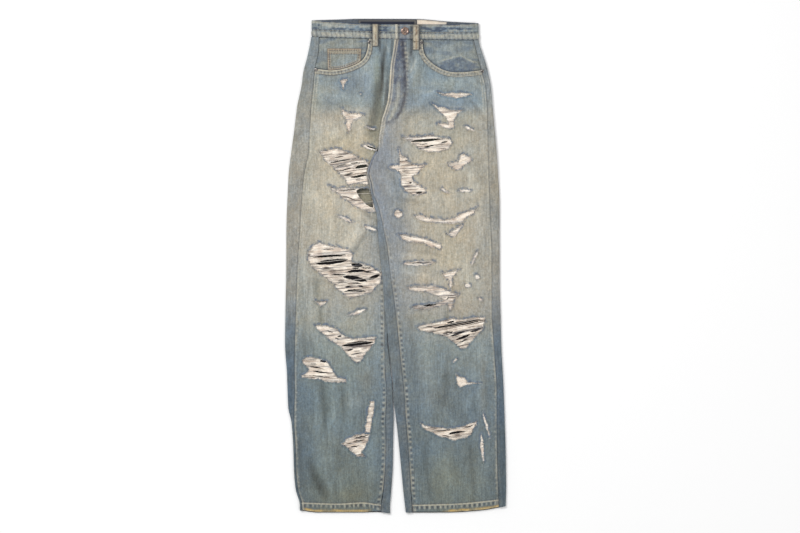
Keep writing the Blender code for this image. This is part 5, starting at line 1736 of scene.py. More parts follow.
def lay_sheet(piece: bpy.types.Object, wall: Wall, width: float, length: float, under: Sequence[str]) -> None:
    """Works out a cloth piece's flat area, no more than the size it was cut to, and does nothing with it."""
    area = min(wall.flat_area(), width * length)
    list(under)


def walk(start: float, end: float, spacing: float) -> Array:
    """Even steps from start to end, both kept."""
    return np.linspace(start, end, max(2, int(round(abs(end - start) / spacing)) + 1))


def curve_points(rows: Sequence[Spot], spacing: float) -> Array:
    """Points along a line of grid rows, rounded at its corners.

    Args:
        rows: the line on the grid.
        spacing: distance between points in metres.

    Returns:
        One row for each point, in metres.
    """
    line = np.array(metres(rows))
    for _ in range(3):
        quarter = line[:-1] * 0.75 + line[1:] * 0.25
        three = line[:-1] * 0.25 + line[1:] * 0.75
        line = np.vstack([line[:1], np.stack([quarter, three], axis=1).reshape(-1, 2), line[-1:]])
    along = np.concatenate([[0.0], np.cumsum(np.hypot(*np.diff(line, axis=0).T))])
    spots = walk(0.0, along[-1], spacing)
    return np.stack([np.interp(spots, along, line[:, 0]), np.interp(spots, along, line[:, 1])], axis=1)


def beside(points: Array, distance: float) -> Array:
    """A line moved to the left of the way it runs.

    Args:
        points: the line.
        distance: how far.

    Returns:
        The moved line.
    """
    way = unit(np.gradient(points, axis=0))
    return points + np.stack([-way[:, 1], way[:, 0]], axis=1) * distance


def open_rip(rip: Rip, spacing: float = 0.0016) -> list[Spot]:
    """The ragged outline of a rip's opening.

    Args:
        rip: the rip.
        spacing: distance between points.

    Returns:
        The outline in metres.
    """
    seed = int(rip.outline[0][0] * 10)
    fine, share = (0.00030, 0.80) if rip.slender else (0.00048, 1.15)
    ring = np.array(resampled(metres(rip.outline), spacing, fine, seed))
    x, y = ring[:, 0], ring[:, 1]
    wide, small = CellNoise(seed, 0.0088, 0.0080), CellNoise(seed + 1, 0.0044, 0.0038)
    across = 0.0018 * wide.at(x, y) + 0.0009 * small.at(x, y)
    up = 0.0012 * wide.at(x + 0.3, y) + (0.0011 if rip.slender else 0.0006) * small.at(x + 0.3, y)
    return plain(ring + share * np.stack([across, up], axis=1))


@dataclass
class FrontPanel:
    """The front of one leg, with its rips cut through and worn round their edges."""

    leg: Leg
    cell: float = 0.0029
    rings: tuple[float, ...] = (0.0010, 0.0022, 0.0036)
    cut: tuple[float, float] = (0.235, 1.03)
    rip_reach: float = 0.008
    holes: list[list[Spot]] = field(default_factory=list)

    def top(self, x: Array, y: Array) -> Array:
        """Height of the outside of the cloth, without the curl at the rips.

        Args:
            x: metres to the right.
            y: metres towards the waist.

        Returns:
            Metres of height.
        """
        hem = HEM_TOP[self.leg]
        turned_up = 0.0008 * step((hem.y_at(x) - y) / 0.0015)
        opening = curve_points(POCKET[self.leg], 0.006)
        to_pocket, _ = line_distance(np.stack([x, y], axis=1), plain(opening), 0.02)
        turned_up = turned_up + 0.0007 * (1 - step((to_pocket - POCKET_BAND) / POCKET_BAND_EDGE))
        stitched = -0.0005 * np.exp(-(((y - hem.y_at(x) + 0.001) / 0.0012) ** 2))
        fly = 0.0
        if self.leg is R:
            v = v_of(y)
            groove = np.exp(-(((u_of(x) - FLY_STITCH.at(v)) / 0.8) ** 2)) * (1 - step((v - 119) / 4))
            ridge = np.exp(-(((u_of(x) - FLY_STITCH.at(v) + 3.0) / 2.4) ** 2)) * (1 - step((v - 117) / 8))
            fly = -0.0006 * groove + 0.0007 * ridge * (1 + CellNoise(51, 0.004, 0.005).at(x, y))
        return LAYERS.front_low(self.leg, x, y) + WALL + crumple(self.leg, x, y) + turned_up + stitched + fly

    def outline(self) -> list[Spot]:
        """The panel's cut, waist to hem.

        Returns:
            The outline in metres.
        """
        left = self.leg is L
        side = self.leg.inward
        hem = HEM[self.leg]
        pocket = curve_points(POCKET[self.leg], 0.0035)
        seam_y = y_of(69.0 if left else 70.6)
        outer_x = float(LAYERS.outer_seam(self.leg, seam_y))
        clear = (pocket[:, 0] - outer_x) * side > 0.003
        below = pocket[:, 1] < BAND_LOW.y_at(pocket[:, 0]) - 0.001
        pocket = pocket[clear & below]
        if not left:
            pocket = pocket[::-1]
        loop: list[Spot] = [(outer_x + side * SEAM_GAP, seam_y), *plain(pocket)]
        inner_line = LEFT_FRONT_END if left else FLY_EDGE
        top_x = float(inner_line.x_at(y_of(40)))
        for x in walk(float(pocket[-1, 0]) + side * 0.002, top_x, 0.004):
            loop.append((float(x), float(BAND_LOW.y_at(x)) - SEAM_GAP))
        for y in walk(y_of(42), y_of(146), 0.004):
            loop.append((float(inner_line.x_at(y)), float(y)))
        foot = 511.0 if left else 510.8
        inner_x = float(LAYERS.inner_seam(self.leg, y_of(foot)))
        for y in walk(y_of(151), float(hem.y_at(inner_x)), 0.004):
            loop.append((float(LAYERS.inner_seam(self.leg, y)) - side * SEAM_GAP, float(y)))
        low_x = float(LAYERS.outer_seam(self.leg, y_of(508)))
        for x in walk(inner_x - side * 0.004, low_x + side * 0.004, 0.004):
            loop.append((float(x), float(hem.y_at(x))))
        for y in walk(float(hem.y_at(low_x)), seam_y - 0.004, 0.004):
            loop.append((float(LAYERS.outer_seam(self.leg, y)) + side * SEAM_GAP, float(y)))
        return loop

    def fine_marks(self) -> list[Spot]:
        """More points where the stitched bands run: pocket, seams, hem and fly.

        Returns:
            Their places in metres.
        """
        side = self.leg.inward
        lines = []
        pocket = curve_points(POCKET[self.leg], 0.0018)
        lines += [beside(pocket, -side * far) for far in (0.0012, 0.0030, 0.0050, 0.0068, 0.0084, 0.0104)]
        y = walk(y_of(74), y_of(508), 0.0020)
        for far in (0.0014, 0.0030, 0.0050, 0.0070):
            lines.append(np.stack([LAYERS.outer_seam(self.leg, y) + side * far, y], axis=1))
        y = walk(y_of(156), y_of(508), 0.0020)
        for far in (0.0012, 0.0024, 0.0042, 0.0062, 0.0082):
            lines.append(np.stack([LAYERS.inner_seam(self.leg, y) - side * far, y], axis=1))
        hem = HEM_TOP[self.leg]
        start, end = (298.0, 378.0) if self.leg is L else (416.0, 496.0)
        x = walk(x_of(start), x_of(end), 0.0020)
        for far in (-0.0016, 0.0, 0.0012, 0.0030, 0.0050, 0.0072, 0.0098, 0.0130):
            lines.append(np.stack([x, hem.y_at(x) - far], axis=1))
        if self.leg is R:
            y = walk(y_of(42), y_of(120), 0.0018)
            for far in (-4.0, -2.6, -1.4, -0.4, 0.6, 1.6, 2.8):
                lines.append(np.stack([x_of(FLY_STITCH.at(v_of(y)) + far), y], axis=1))
            for far in (0.4, 0.9, 1.5, 2.2, 3.3, 4.2):
                lines.append(np.stack([FLY_EDGE.x_at(y) + far * GRID, y], axis=1))
        return plain(np.vstack(lines))

    def edge_of_rips(self, x: Array, y: Array) -> Array:
        """Distance to the nearest rip, no more than rip_reach.

        Args:
            x: metres to the right.
            y: metres towards the waist.

        Returns:
            Metres for each place.
        """
        points = np.stack([x, y], axis=1)
        nearest = np.full(len(x), self.rip_reach)
        for hole in self.holes:
            nearest = np.minimum(nearest, loop_distance(points, hole, self.rip_reach))
        return nearest

    def build(self) -> bpy.types.Object:
        """Cuts, lays and dresses the panel.

        Returns:
            The panel.
        """
        self.holes = [open_rip(rip) for rip in RIPS if rip.leg is self.leg]
        worn = WornTint(self.leg)

        def top(x: Array, y: Array) -> Array:
            """The cloth's height with its edges curled at the rips."""
            gap = self.edge_of_rips(x, y)
            curl = 0.0007 * band_of(gap, 0.0, 0.0016) * (1 + 0.6 * CellNoise(61, 0.004, 0.004).at(x, y))
            return self.top(x, y) + curl

        def tint(x: Array, y: Array) -> Array:
            """The worn colour with blue frayed edges, partly painted shade and darker on their upper sides,
            and a pale rim outside them.
            """
            gap = self.edge_of_rips(x, y)
            slope = np.clip((gap - self.edge_of_rips(x, y - 0.0007)) / 0.0007, -1, 1)
            colour = worn.at(x, y)
            rough = CellNoise(62, 0.0042, 0.0040).at(x, y)
            fine = CellNoise(63, 0.0019, 0.0019).at(x, y)
            pale = step((v_of(y) - 60) / 60) * (1 - step((v_of(y) - 300) / 90))
            colour = mixed(colour, (196, 194, 182), (0.12 + 0.2 * pale) * band_of(gap, 0.0066, 0.0022))
            # The blue-grey rim is partly frayed indigo and partly painted shade, more on the rips' upper
            # edges.
            reach = np.maximum(0.0027 + 0.0018 * rough + 0.0011 * slope, 0.0006)
            share = (0.42 + 0.32 * slope + 0.65 * rough + 0.55 * fine) * np.exp(-((gap / reach) ** 3))
            lint = np.clip(0.9 * fine - 0.5 * rough, 0, 0.75) * band_of(gap, 0.0, 0.0011)
            colour = mixed(colour, (222, 216, 204), lint)
            frayed = mixed(np.tile(FRAYED_BLUE_AND_SHADE, (len(x), 1)), FRAYED_GREY_AND_SHADE, step(0.5 - fine))
            return mixed(colour, frayed, np.clip(share, 0, 0.8))

        name = f"front_cloth_{self.leg.value}"
        wall = cut_wall(
            name, self.outline(), self.holes, self.cell, top, SHELL, tint, UNDERSIDE,
            self.rings, self.fine_marks(),
        )
        piece = wall.build()
        finish_piece(piece, DENIM, "denim", [f"front_panel_{self.leg.value}"])
        lay_sheet(piece, wall, *self.cut, [f"back_cloth_{self.leg.value}"])
        return piece


@dataclass
class WeftThreads:
    """The white threads left across the rips of one leg: a loose woven bed, strands and frayed ends."""

    leg: Leg
    panel: FrontPanel
    depth: float = 0.0007
    bed_cell: float = 0.0015
    bed_wall: float = 0.0006
    strand_gap: float = 0.0014

    def partings(self) -> list[list[Spot]]:
        """Outlines of the dark places of this leg.

        Returns:
            The outlines in metres.
        """
        found = []
        for seed, part in enumerate(PARTINGS):
            if part.leg is self.leg:
                rough = min(0.00045, part.height * GRID * 0.16)
                found.append(resampled(part.outline(), 0.0016, rough, seed))
        if self.leg is L:
            found.append(resampled(metres(OPEN_HOLE), 0.0025, 0.0006, 5))
        return found

    def bed(self, rip: Rip, holes: list[list[Spot]]) -> Wall:
        """The loose weave that fills a rip between its dark places.

        Args:
            rip: the rip.
            holes: the dark places.

        Returns:
            The bed's wall.
        """
        opening = open_rip(rip)
        loop = grown(resampled(metres(rip.outline), 0.0022, 0.0, 1), 0.0026 if not rip.slender else 0.0016)
        near = [hole for hole in holes if inside_loop(np.mean(hole, axis=0)[None], loop)[0]]
        turn = math.radians(rip.rise)
        ridges = CellNoise(71, 0.020, 0.0022, turn)
        folds = CellNoise(72, 0.030, 0.0046, turn)
        shades = CellNoise(73, 0.017, 0.0028, turn)
        warm = CellNoise(74, 0.010, 0.006, turn)
        depth = 0.0001 if rip.slender else self.depth
        gaping = self.gaping(near)

        def top(x: Array, y: Array) -> Array:
            """Just under the cloth's outside, ridged along the threads."""
            relief = 0.00035 * ridges.at(x, y) + 0.00045 * folds.at(x, y)
            return self.panel.top(x, y) - depth + relief * (0.4 if rip.slender else 1.0)

        def tint(x: Array, y: Array) -> Array:
            """White cotton with painted shade as grey lines between bundles of threads and in the troughs,
            and painted light on the ridges.
            """
            base = np.tile(COTTON, (len(x), 1))
            base = mixed(base, (216, 196, 178), np.clip(0.25 + 0.7 * warm.at(x, y), 0, 0.8))
            # Painted shade: dark lines between the bundles, more in loose beds.
            base = mixed(base, (102, 90, 84), gaping * np.clip(-shades.at(x, y) * 2.4 - 0.75, 0, 0.85))
            # Painted shade in the troughs of the ridged threads.
            lined = -folds.at(x, y) - 0.8 * ridges.at(x, y)
            base = mixed(base, (122, 112, 108), gaping * np.clip(lined * 1.3 - 0.7, 0, 0.6))
            spots = np.stack([x, y], axis=1)
            rim = 1 - step(loop_distance(spots, opening, 0.004) / 0.0026)
            base = mixed(base, (150, 150, 158), 0.45 * rim * step(0.6 + ridges.at(x, y)))
            if rip.slender:
                torn = CellNoise(75, 0.0050, 0.0016, turn).at(x, y)
                base = mixed(base, (118, 124, 136), np.clip(1.3 * torn - 0.15, 0, 0.85))
            lit = np.clip(0.97 + 0.10 * ridges.at(x, y), 0, 1.1)
            return base * lit[:, None]

        return cut_wall(rip.name, loop, near, self.bed_cell, top, self.bed_wall, tint, BED_UNDER)

    def gaping(self, near: Sequence[Sequence[Spot]]) -> float:
        """How loose a bed looks, from the number of its dark places: 0.25 to 1."""
        return min(1.0, 0.25 + 0.25 * len(near))

    def strands(self, rip: Rip, holes: list[list[Spot]], rng: np.random.Generator) -> list[Thread]:
        """Single threads across a rip.

        Args:
            rip: the rip.
            holes: the dark places, which few threads cross.
            rng: the random numbers.

        Returns:
            Each strand's points, radius and colour.
        """
        turn = math.radians(rip.rise)
        cos, sin = math.cos(turn), math.sin(turn)
        loop = np.array(metres(rip.outline))
        top = self.heights_near(loop)
        loose = self.gaping([hole for hole in holes if inside_loop(np.mean(hole, axis=0)[None], loop)[0]])
        a = loop[:, 0] * cos + loop[:, 1] * sin
        b = -loop[:, 0] * sin + loop[:, 1] * cos
        found = []
        for level in np.arange(b.min() + 0.0005, b.max(), self.strand_gap):
            level += rng.uniform(-0.0005, 0.0005)
            crossings = []
            for k in range(len(a)):
                a0, b0, a1, b1 = a[k], b[k], a[k - 1], b[k - 1]
                if (b0 > level) != (b1 > level):
                    crossings.append(a0 + (level - b0) * (a1 - a0) / (b1 - b0))
            crossings.sort()
            for start, end in zip(crossings[::2], crossings[1::2]):
                if end - start < 0.003:
                    continue
                spots = walk(start - 0.0012, end + 0.0012, 0.0042)
                phase, swing = rng.uniform(0, 6.3), rng.uniform(0.0002, 0.0007)
                across = level + swing * np.sin((spots - start) / 0.017 + phase)
                across += rng.normal(0, 0.00018, len(spots))
                x, y = spots * cos - across * sin, spots * sin + across * cos
                # The brown strands, most in loose beds, are painted shade between bundles.
                shade = rng.choice([0, 0, 0, 0, 0, 1, 1, 2, 3 if loose > 0.6 else 1])
                colour = linear(STRAND_COLOURS[shade]) / STUDIO_GAIN
                keep = np.ones(len(spots), bool)
                if rng.random() > 0.14:
                    points = np.stack([x, y], axis=1)
                    for hole in holes:
                        keep &= ~inside_loop(points, hole)
                z = top(x, y) - 0.00035 + rng.uniform(-0.0002, 0.0003)
                for run in np.split(np.arange(len(spots)), np.nonzero(~keep)[0]):
                    run = run[keep[run]]
                    if len(run) > 1:
                        path = np.stack([x, y, z], axis=1)[run]
                        found.append((path, rng.uniform(0.00026, 0.00046), colour))
        return found

    def heights_near(self, loop: Array) -> Surface:
        """The cloth's height round one rip, read off a coarse lattice of it.

        Args:
            loop: the rip's outline.

        Returns:
            The height as a function of place.
        """
        low, high = loop.min(axis=0) - 0.006, loop.max(axis=0) + 0.006
        count = np.maximum(3, np.ceil((high - low) / 0.0022).astype(int))
        xs, ys = np.linspace(low[0], high[0], count[0]), np.linspace(low[1], high[1], count[1])
        grid_x, grid_y = np.meshgrid(xs, ys)
        heights = self.panel.top(grid_x.ravel(), grid_y.ravel()).reshape(grid_x.shape)

        def top(x: Array, y: Array) -> Array:
            """Height between the lattice's points."""
            across = np.clip((x - low[0]) / (high[0] - low[0]) * (count[0] - 1), 0, count[0] - 1.001)
            up = np.clip((y - low[1]) / (high[1] - low[1]) * (count[1] - 1), 0, count[1] - 1.001)
            i, j = across.astype(int), up.astype(int)
            s, t = across - i, up - j
            below = heights[j, i] * (1 - s) + heights[j, i + 1] * s
            return below * (1 - t) + (heights[j + 1, i] * (1 - s) + heights[j + 1, i + 1] * s) * t

        return top

    def frayed_ends(self, rip: Rip, rng: np.random.Generator) -> list[Thread]:
        """Short ends of the cut blue threads round a rip.

        Args:
            rip: the rip.
            rng: the random numbers.

        Returns:
            Each end's points, radius and colour.
        """
        loop = np.array(open_rip(rip, 0.0012))
        top = self.heights_near(loop)
        way = unit(np.roll(loop, -1, axis=0) - np.roll(loop, 1, axis=0))
        sign = 1 if signed_area(loop) > 0 else -1
        found = []
        for point, (dx, dy) in zip(loop, way):
            inward = np.array([-dy, dx]) * sign
            lean = inward + np.array([dx, dy]) * rng.uniform(-0.8, 0.8)
            length = rng.uniform(0.0009, 0.0034) * (0.45 + abs(inward[1])) * (0.5 if rip.slender else 1.0)
            tip = point + lean / np.hypot(*lean) * length
            start = point - lean / np.hypot(*lean) * 0.0009
            middle = (start + tip) / 2 + rng.normal(0, 0.0002, 2)
            flat = np.array([start, middle, tip])
            z = top(flat[:, 0], flat[:, 1]) + np.array([0.0002, 0.0006, rng.uniform(-0.0004, 0.0004)])
            colour = linear(END_COLOURS[rng.choice([0, 0, 1, 2, 2])])
            found.append((np.column_stack([flat, z]), rng.uniform(0.00018, 0.0003), colour))
        return found

    def build(self) -> list[bpy.types.Object]:
        """Makes the beds as one cloth and the strands and ends as one set of threads.

        Returns:
            Both pieces.
        """
        rng = np.random.default_rng(7 if self.leg is L else 8)
        holes = self.partings()
        outer, inner, faces, tints, backs = [], [], [], [], []
        count = 0
        threads = []
        for rip in RIPS:
            if rip.leg is not self.leg:
                continue
            wall = self.bed(rip, holes)
            outer.append(wall.outer)
            inner.append(wall.inner)
            faces += [[index + count for index in face] for face in wall.faces]
            tints.append(wall.outer_tint)
            backs.append(wall.inner_tint)
            count += len(wall.outer)
            threads += self.strands(rip, holes, rng) + self.frayed_ends(rip, rng)
        name = f"weft_bed_{self.leg.value}"
        wall = Wall(name, np.vstack(outer), np.vstack(inner), faces, np.vstack(tints), np.vstack(backs))
        bed = wall.build()
        finish_piece(bed, WEFT, "denim", [])
        side = math.sqrt(wall.flat_area())
        wall.flat_area()
        strings = tubes(f"weft_threads_{self.leg.value}", threads)
        finish_piece(strings, WEFT, "denim", [])
        return [bed, strings]


def tubes(name: str, threads: Sequence[Thread]) -> bpy.types.Object:
    """Many thin three-sided threads as one mesh.

    Args:
        name: the piece's name.
        threads: each one's points, radius and colour.

    Returns:
        The object.
    """
    points, faces, tints = [], [], []
    angles = np.radians([90, 210, 330])
    for path, radius, colour in threads:
        first = len(points)
        way = np.gradient(path, axis=0)
        side = np.stack([-way[:, 1], way[:, 0], np.zeros(len(path))], axis=1)
        side /= np.maximum(np.linalg.norm(side, axis=1), 1e-9)[:, None]
        taper = np.ones(len(path))
        if len(path) == 3:
            taper = np.array([1.0, 0.9, 0.35])
        for point, out, size in zip(path, side, taper * radius):
            for angle in angles:
                points.append(point + out * math.cos(angle) * size + np.array([0, 0, math.sin(angle) * size]))
                tints.append(colour)
        for ring in range(len(path) - 1):
            for k in range(3):
                a, b = first + ring * 3 + k, first + ring * 3 + (k + 1) % 3
                faces.append([a, a + 3, b + 3, b])
        last = first + (len(path) - 1) * 3
        faces.append([first, first + 1, first + 2])
        faces.append([last + 2, last + 1, last])
    return cloth_object(name, points, faces, np.array(tints))


@dataclass
class BackPanel:
    """The back of one leg, which wraps round both folded sides to the seams on the front."""

    leg: Leg
    yoke: bool = False
    spacing: float = 0.0055
    yoke_top_v: float = 39.0
    hem_v: float = 510.0

    def top(self, x: Array, y: Array) -> Array:
        """Height of the outside where the back shows on the front."""
        return LAYERS.front_low(self.leg, x, y) + WALL + crumple(self.leg, x, y)

    def section(self, y: float, wrap: bool) -> tuple[Array, Array]:
        """One section from the side seam round to the inside seam, as middle points and normals.

        Args:
            y: metres towards the waist.
            wrap: whether it has an inner folded side.

        Returns:
            The points and the outward normals.
        """
        left = self.leg is L
        side = -self.leg.inward
        edge = float(EDGE[self.leg].x_at(y))
        fold = float(FOLD[self.leg].x_at(y))
        half = SHELL / 2
        points: list[Spot] = []
        normals: list[Spot] = []

        def arc(edge_x: float, way: int) -> tuple[float, list[Spot], list[Spot]]:
            """The folded side at edge_x that bulges to way: its centre, points and normals, top first."""
            probe = edge_x - way * 0.003
            high = float(self.top(np.array([probe]), np.array([y]))[0]) - half
            low = float(LAYERS.back_low(self.leg, probe, y)) + half + BACK_CLEAR
            radius, middle = (high - low) / 2, (high + low) / 2
            centre = edge_x - way * (radius + half)
            angles = np.radians(np.linspace(90, -90, ARC_POINTS))
            spots = [(centre + way * radius * math.cos(a), middle + radius * math.sin(a)) for a in angles]
            return centre, spots, [(way * math.cos(a), math.sin(a)) for a in angles]

        def over(start: float, end: float, count: int) -> None:
            """Adds points on the top layer."""
            xs = np.linspace(start, end, count)
            for x, z in zip(xs, self.top(xs, np.full(count, y))):
                points.append((float(x), float(z) - half))
                normals.append((0.0, 1.0))

        centre, spots, ways = arc(edge, side)
        over(float(LAYERS.outer_seam(self.leg, y)), centre, 9)
        points, normals = points[:-1] + spots, normals[:-1] + ways
        if wrap:
            inner_centre, inner_spots, inner_ways = arc(fold, -side)
        elif left:
            inner_centre = x_of(CENTRE_BACK_U) - SEAM_GAP / 2
        else:
            inner_centre = fold + SEAM_GAP / 2
        xs = np.linspace(centre, inner_centre, 36)[1:]
        for x in xs[:-1] if wrap else xs:
            points.append((float(x), float(LAYERS.back_low(self.leg, x, y)) + half + BACK_CLEAR))
            normals.append((0.0, -1.0))
        if wrap:
            points, normals = points + inner_spots[::-1], normals + inner_ways[::-1]
            start = len(points)
            over(inner_centre, float(LAYERS.inner_seam(self.leg, y)), 7)
            del points[start], normals[start]
        return np.array(points), np.array(normals)

    def levels(self) -> tuple[Array, Callable[[Array, float], Array], float]:
        """Heights of the sections, how points shift from them, and where the inner fold starts.

        Returns:
            The levels, the shift and the first level with two folded sides.
        """
        hem = HEM[self.leg]

        def yoke_line(x: Array) -> Array:
            """The seam under the yoke."""
            away = np.minimum(np.abs(u_of(x) - CENTRE_BACK_U) / 90, 1.0)
            return y_of(YOKE_V + YOKE_DIP * (1 - away))

        def panel_shift(x: Array, level: float) -> Array:
            """Moves the ends of the panel to the yoke seam and to the hem."""
            v = v_of(level)
            at_top = 1 - step((v - YOKE_V) / 24)
            at_hem = step((v - 470) / 32)
            hem_shift = hem.y_at(x) - BACK_HEM_DROP * GRID - y_of(self.hem_v)
            return (yoke_line(x) - y_of(YOKE_V) - SEAM_GAP) * at_top + hem_shift * at_hem

        def yoke_shift(x: Array, level: float) -> Array:
            """Moves the ends of the yoke to the waistband and to its seam."""
            share = (v_of(level) - self.yoke_top_v) / (YOKE_V - self.yoke_top_v)
            top_shift = BAND_LOW.y_at(x) - SEAM_GAP - y_of(self.yoke_top_v)
            return top_shift * (1 - share) + (yoke_line(x) - y_of(YOKE_V)) * share

        if self.yoke:
            return walk(y_of(self.yoke_top_v), y_of(YOKE_V), self.spacing), yoke_shift, math.inf
        return walk(y_of(YOKE_V), y_of(self.hem_v), self.spacing), panel_shift, CROTCH_V

    def build(self) -> bpy.types.Object:
        """Makes and dresses the piece.

        Returns:
            The piece.
        """
        levels, shift, wrap_from = self.levels()
        worn = WornTint(self.leg, on_back=True)
        index: dict[tuple[int, int], int] = {}
        outer, inner, flat_x, flat_y, up = [], [], [], [], []
        for row, level in enumerate(levels):
            points, normals = self.section(float(level), v_of(level) >= wrap_from)
            y = level + shift(points[:, 0], float(level))
            for column, ((x, z), (nx, nz)) in enumerate(zip(points, normals)):
                index[row, column] = len(outer)
                outer.append((x + nx * SHELL / 2, y[column], z + nz * SHELL / 2))
                inner.append((x - nx * SHELL / 2, y[column], z - nz * SHELL / 2))
                flat_x.append(x)
                flat_y.append(y[column])
                up.append(nz)
        faces = []
        for row, column in index:
            corners = [(row, column), (row, column + 1), (row + 1, column + 1), (row + 1, column)]
            if all(corner in index for corner in corners):
                face = [index[corner] for corner in corners]
                faces.append(face if self.leg is L else face[::-1])
        x, y = np.array(flat_x), np.array(flat_y)
        tint = self.shade(worn.at(x, y), x, y, np.array(up))
        kind = "yoke_cloth" if self.yoke else "cloth"
        name = f"back_{kind}_{self.leg.value}"
        # Painted shade on the leg's inside, seen through the rips' gaps, lifted to a paler olive as painted
        # light in the open hole, with painted shadow under the hole's upper edge.
        inside = np.tile(INSIDE_SHADE, (len(x), 1))
        hole = np.exp(-(((u_of(x) - 366) / 7) ** 2) - ((v_of(y) - 198) / 8) ** 2)
        inside = mixed(inside, (146, 142, 124), np.clip(hole * 1.4, 0, 1))
        rim = 1 - step((v_of(y) - 188.5 + 0.25 * (u_of(x) - 360)) / 5.5)
        inside = mixed(inside, (52, 54, 48), 0.85 * rim)
        wall = Wall(name, np.array(outer), np.array(inner), faces, tint, inside)
        piece = wall.build()
        node = f"back_yoke_{self.leg.value}" if self.yoke else f"back_panel_{self.leg.value}"
        finish_piece(piece, DENIM, "denim", [node])
        area = wall.flat_area()
        return piece

    def shade(self, tint: Array, x: Array, y: Array, up: Array) -> Array:
        """The colour of the strips that show on the front: greyer above, bluer below.

        Args:
            tint: the worn colours.
            x: metres to the right.
            y: metres towards the waist.
            up: how far each place faces up.

        Returns:
            The new colours.
        """
        v = v_of(y)
        strip = colours_down(v, SIDE_STRIP)
        side = (x_of(400) - x) * self.leg.inward > 0.11
        share = np.where(up > 0.2, np.where(side, 0.8, 0.0), 0.35)
        tint = mixed(tint, blotched(strip, x, y), share)
        inside = np.where((up > 0.2) & ~side, 0.8, 0.0) * step((v - 176) / 20)
        return mixed(tint, blotched(colours_down(v, INNER_STRIP), x, y), inside)


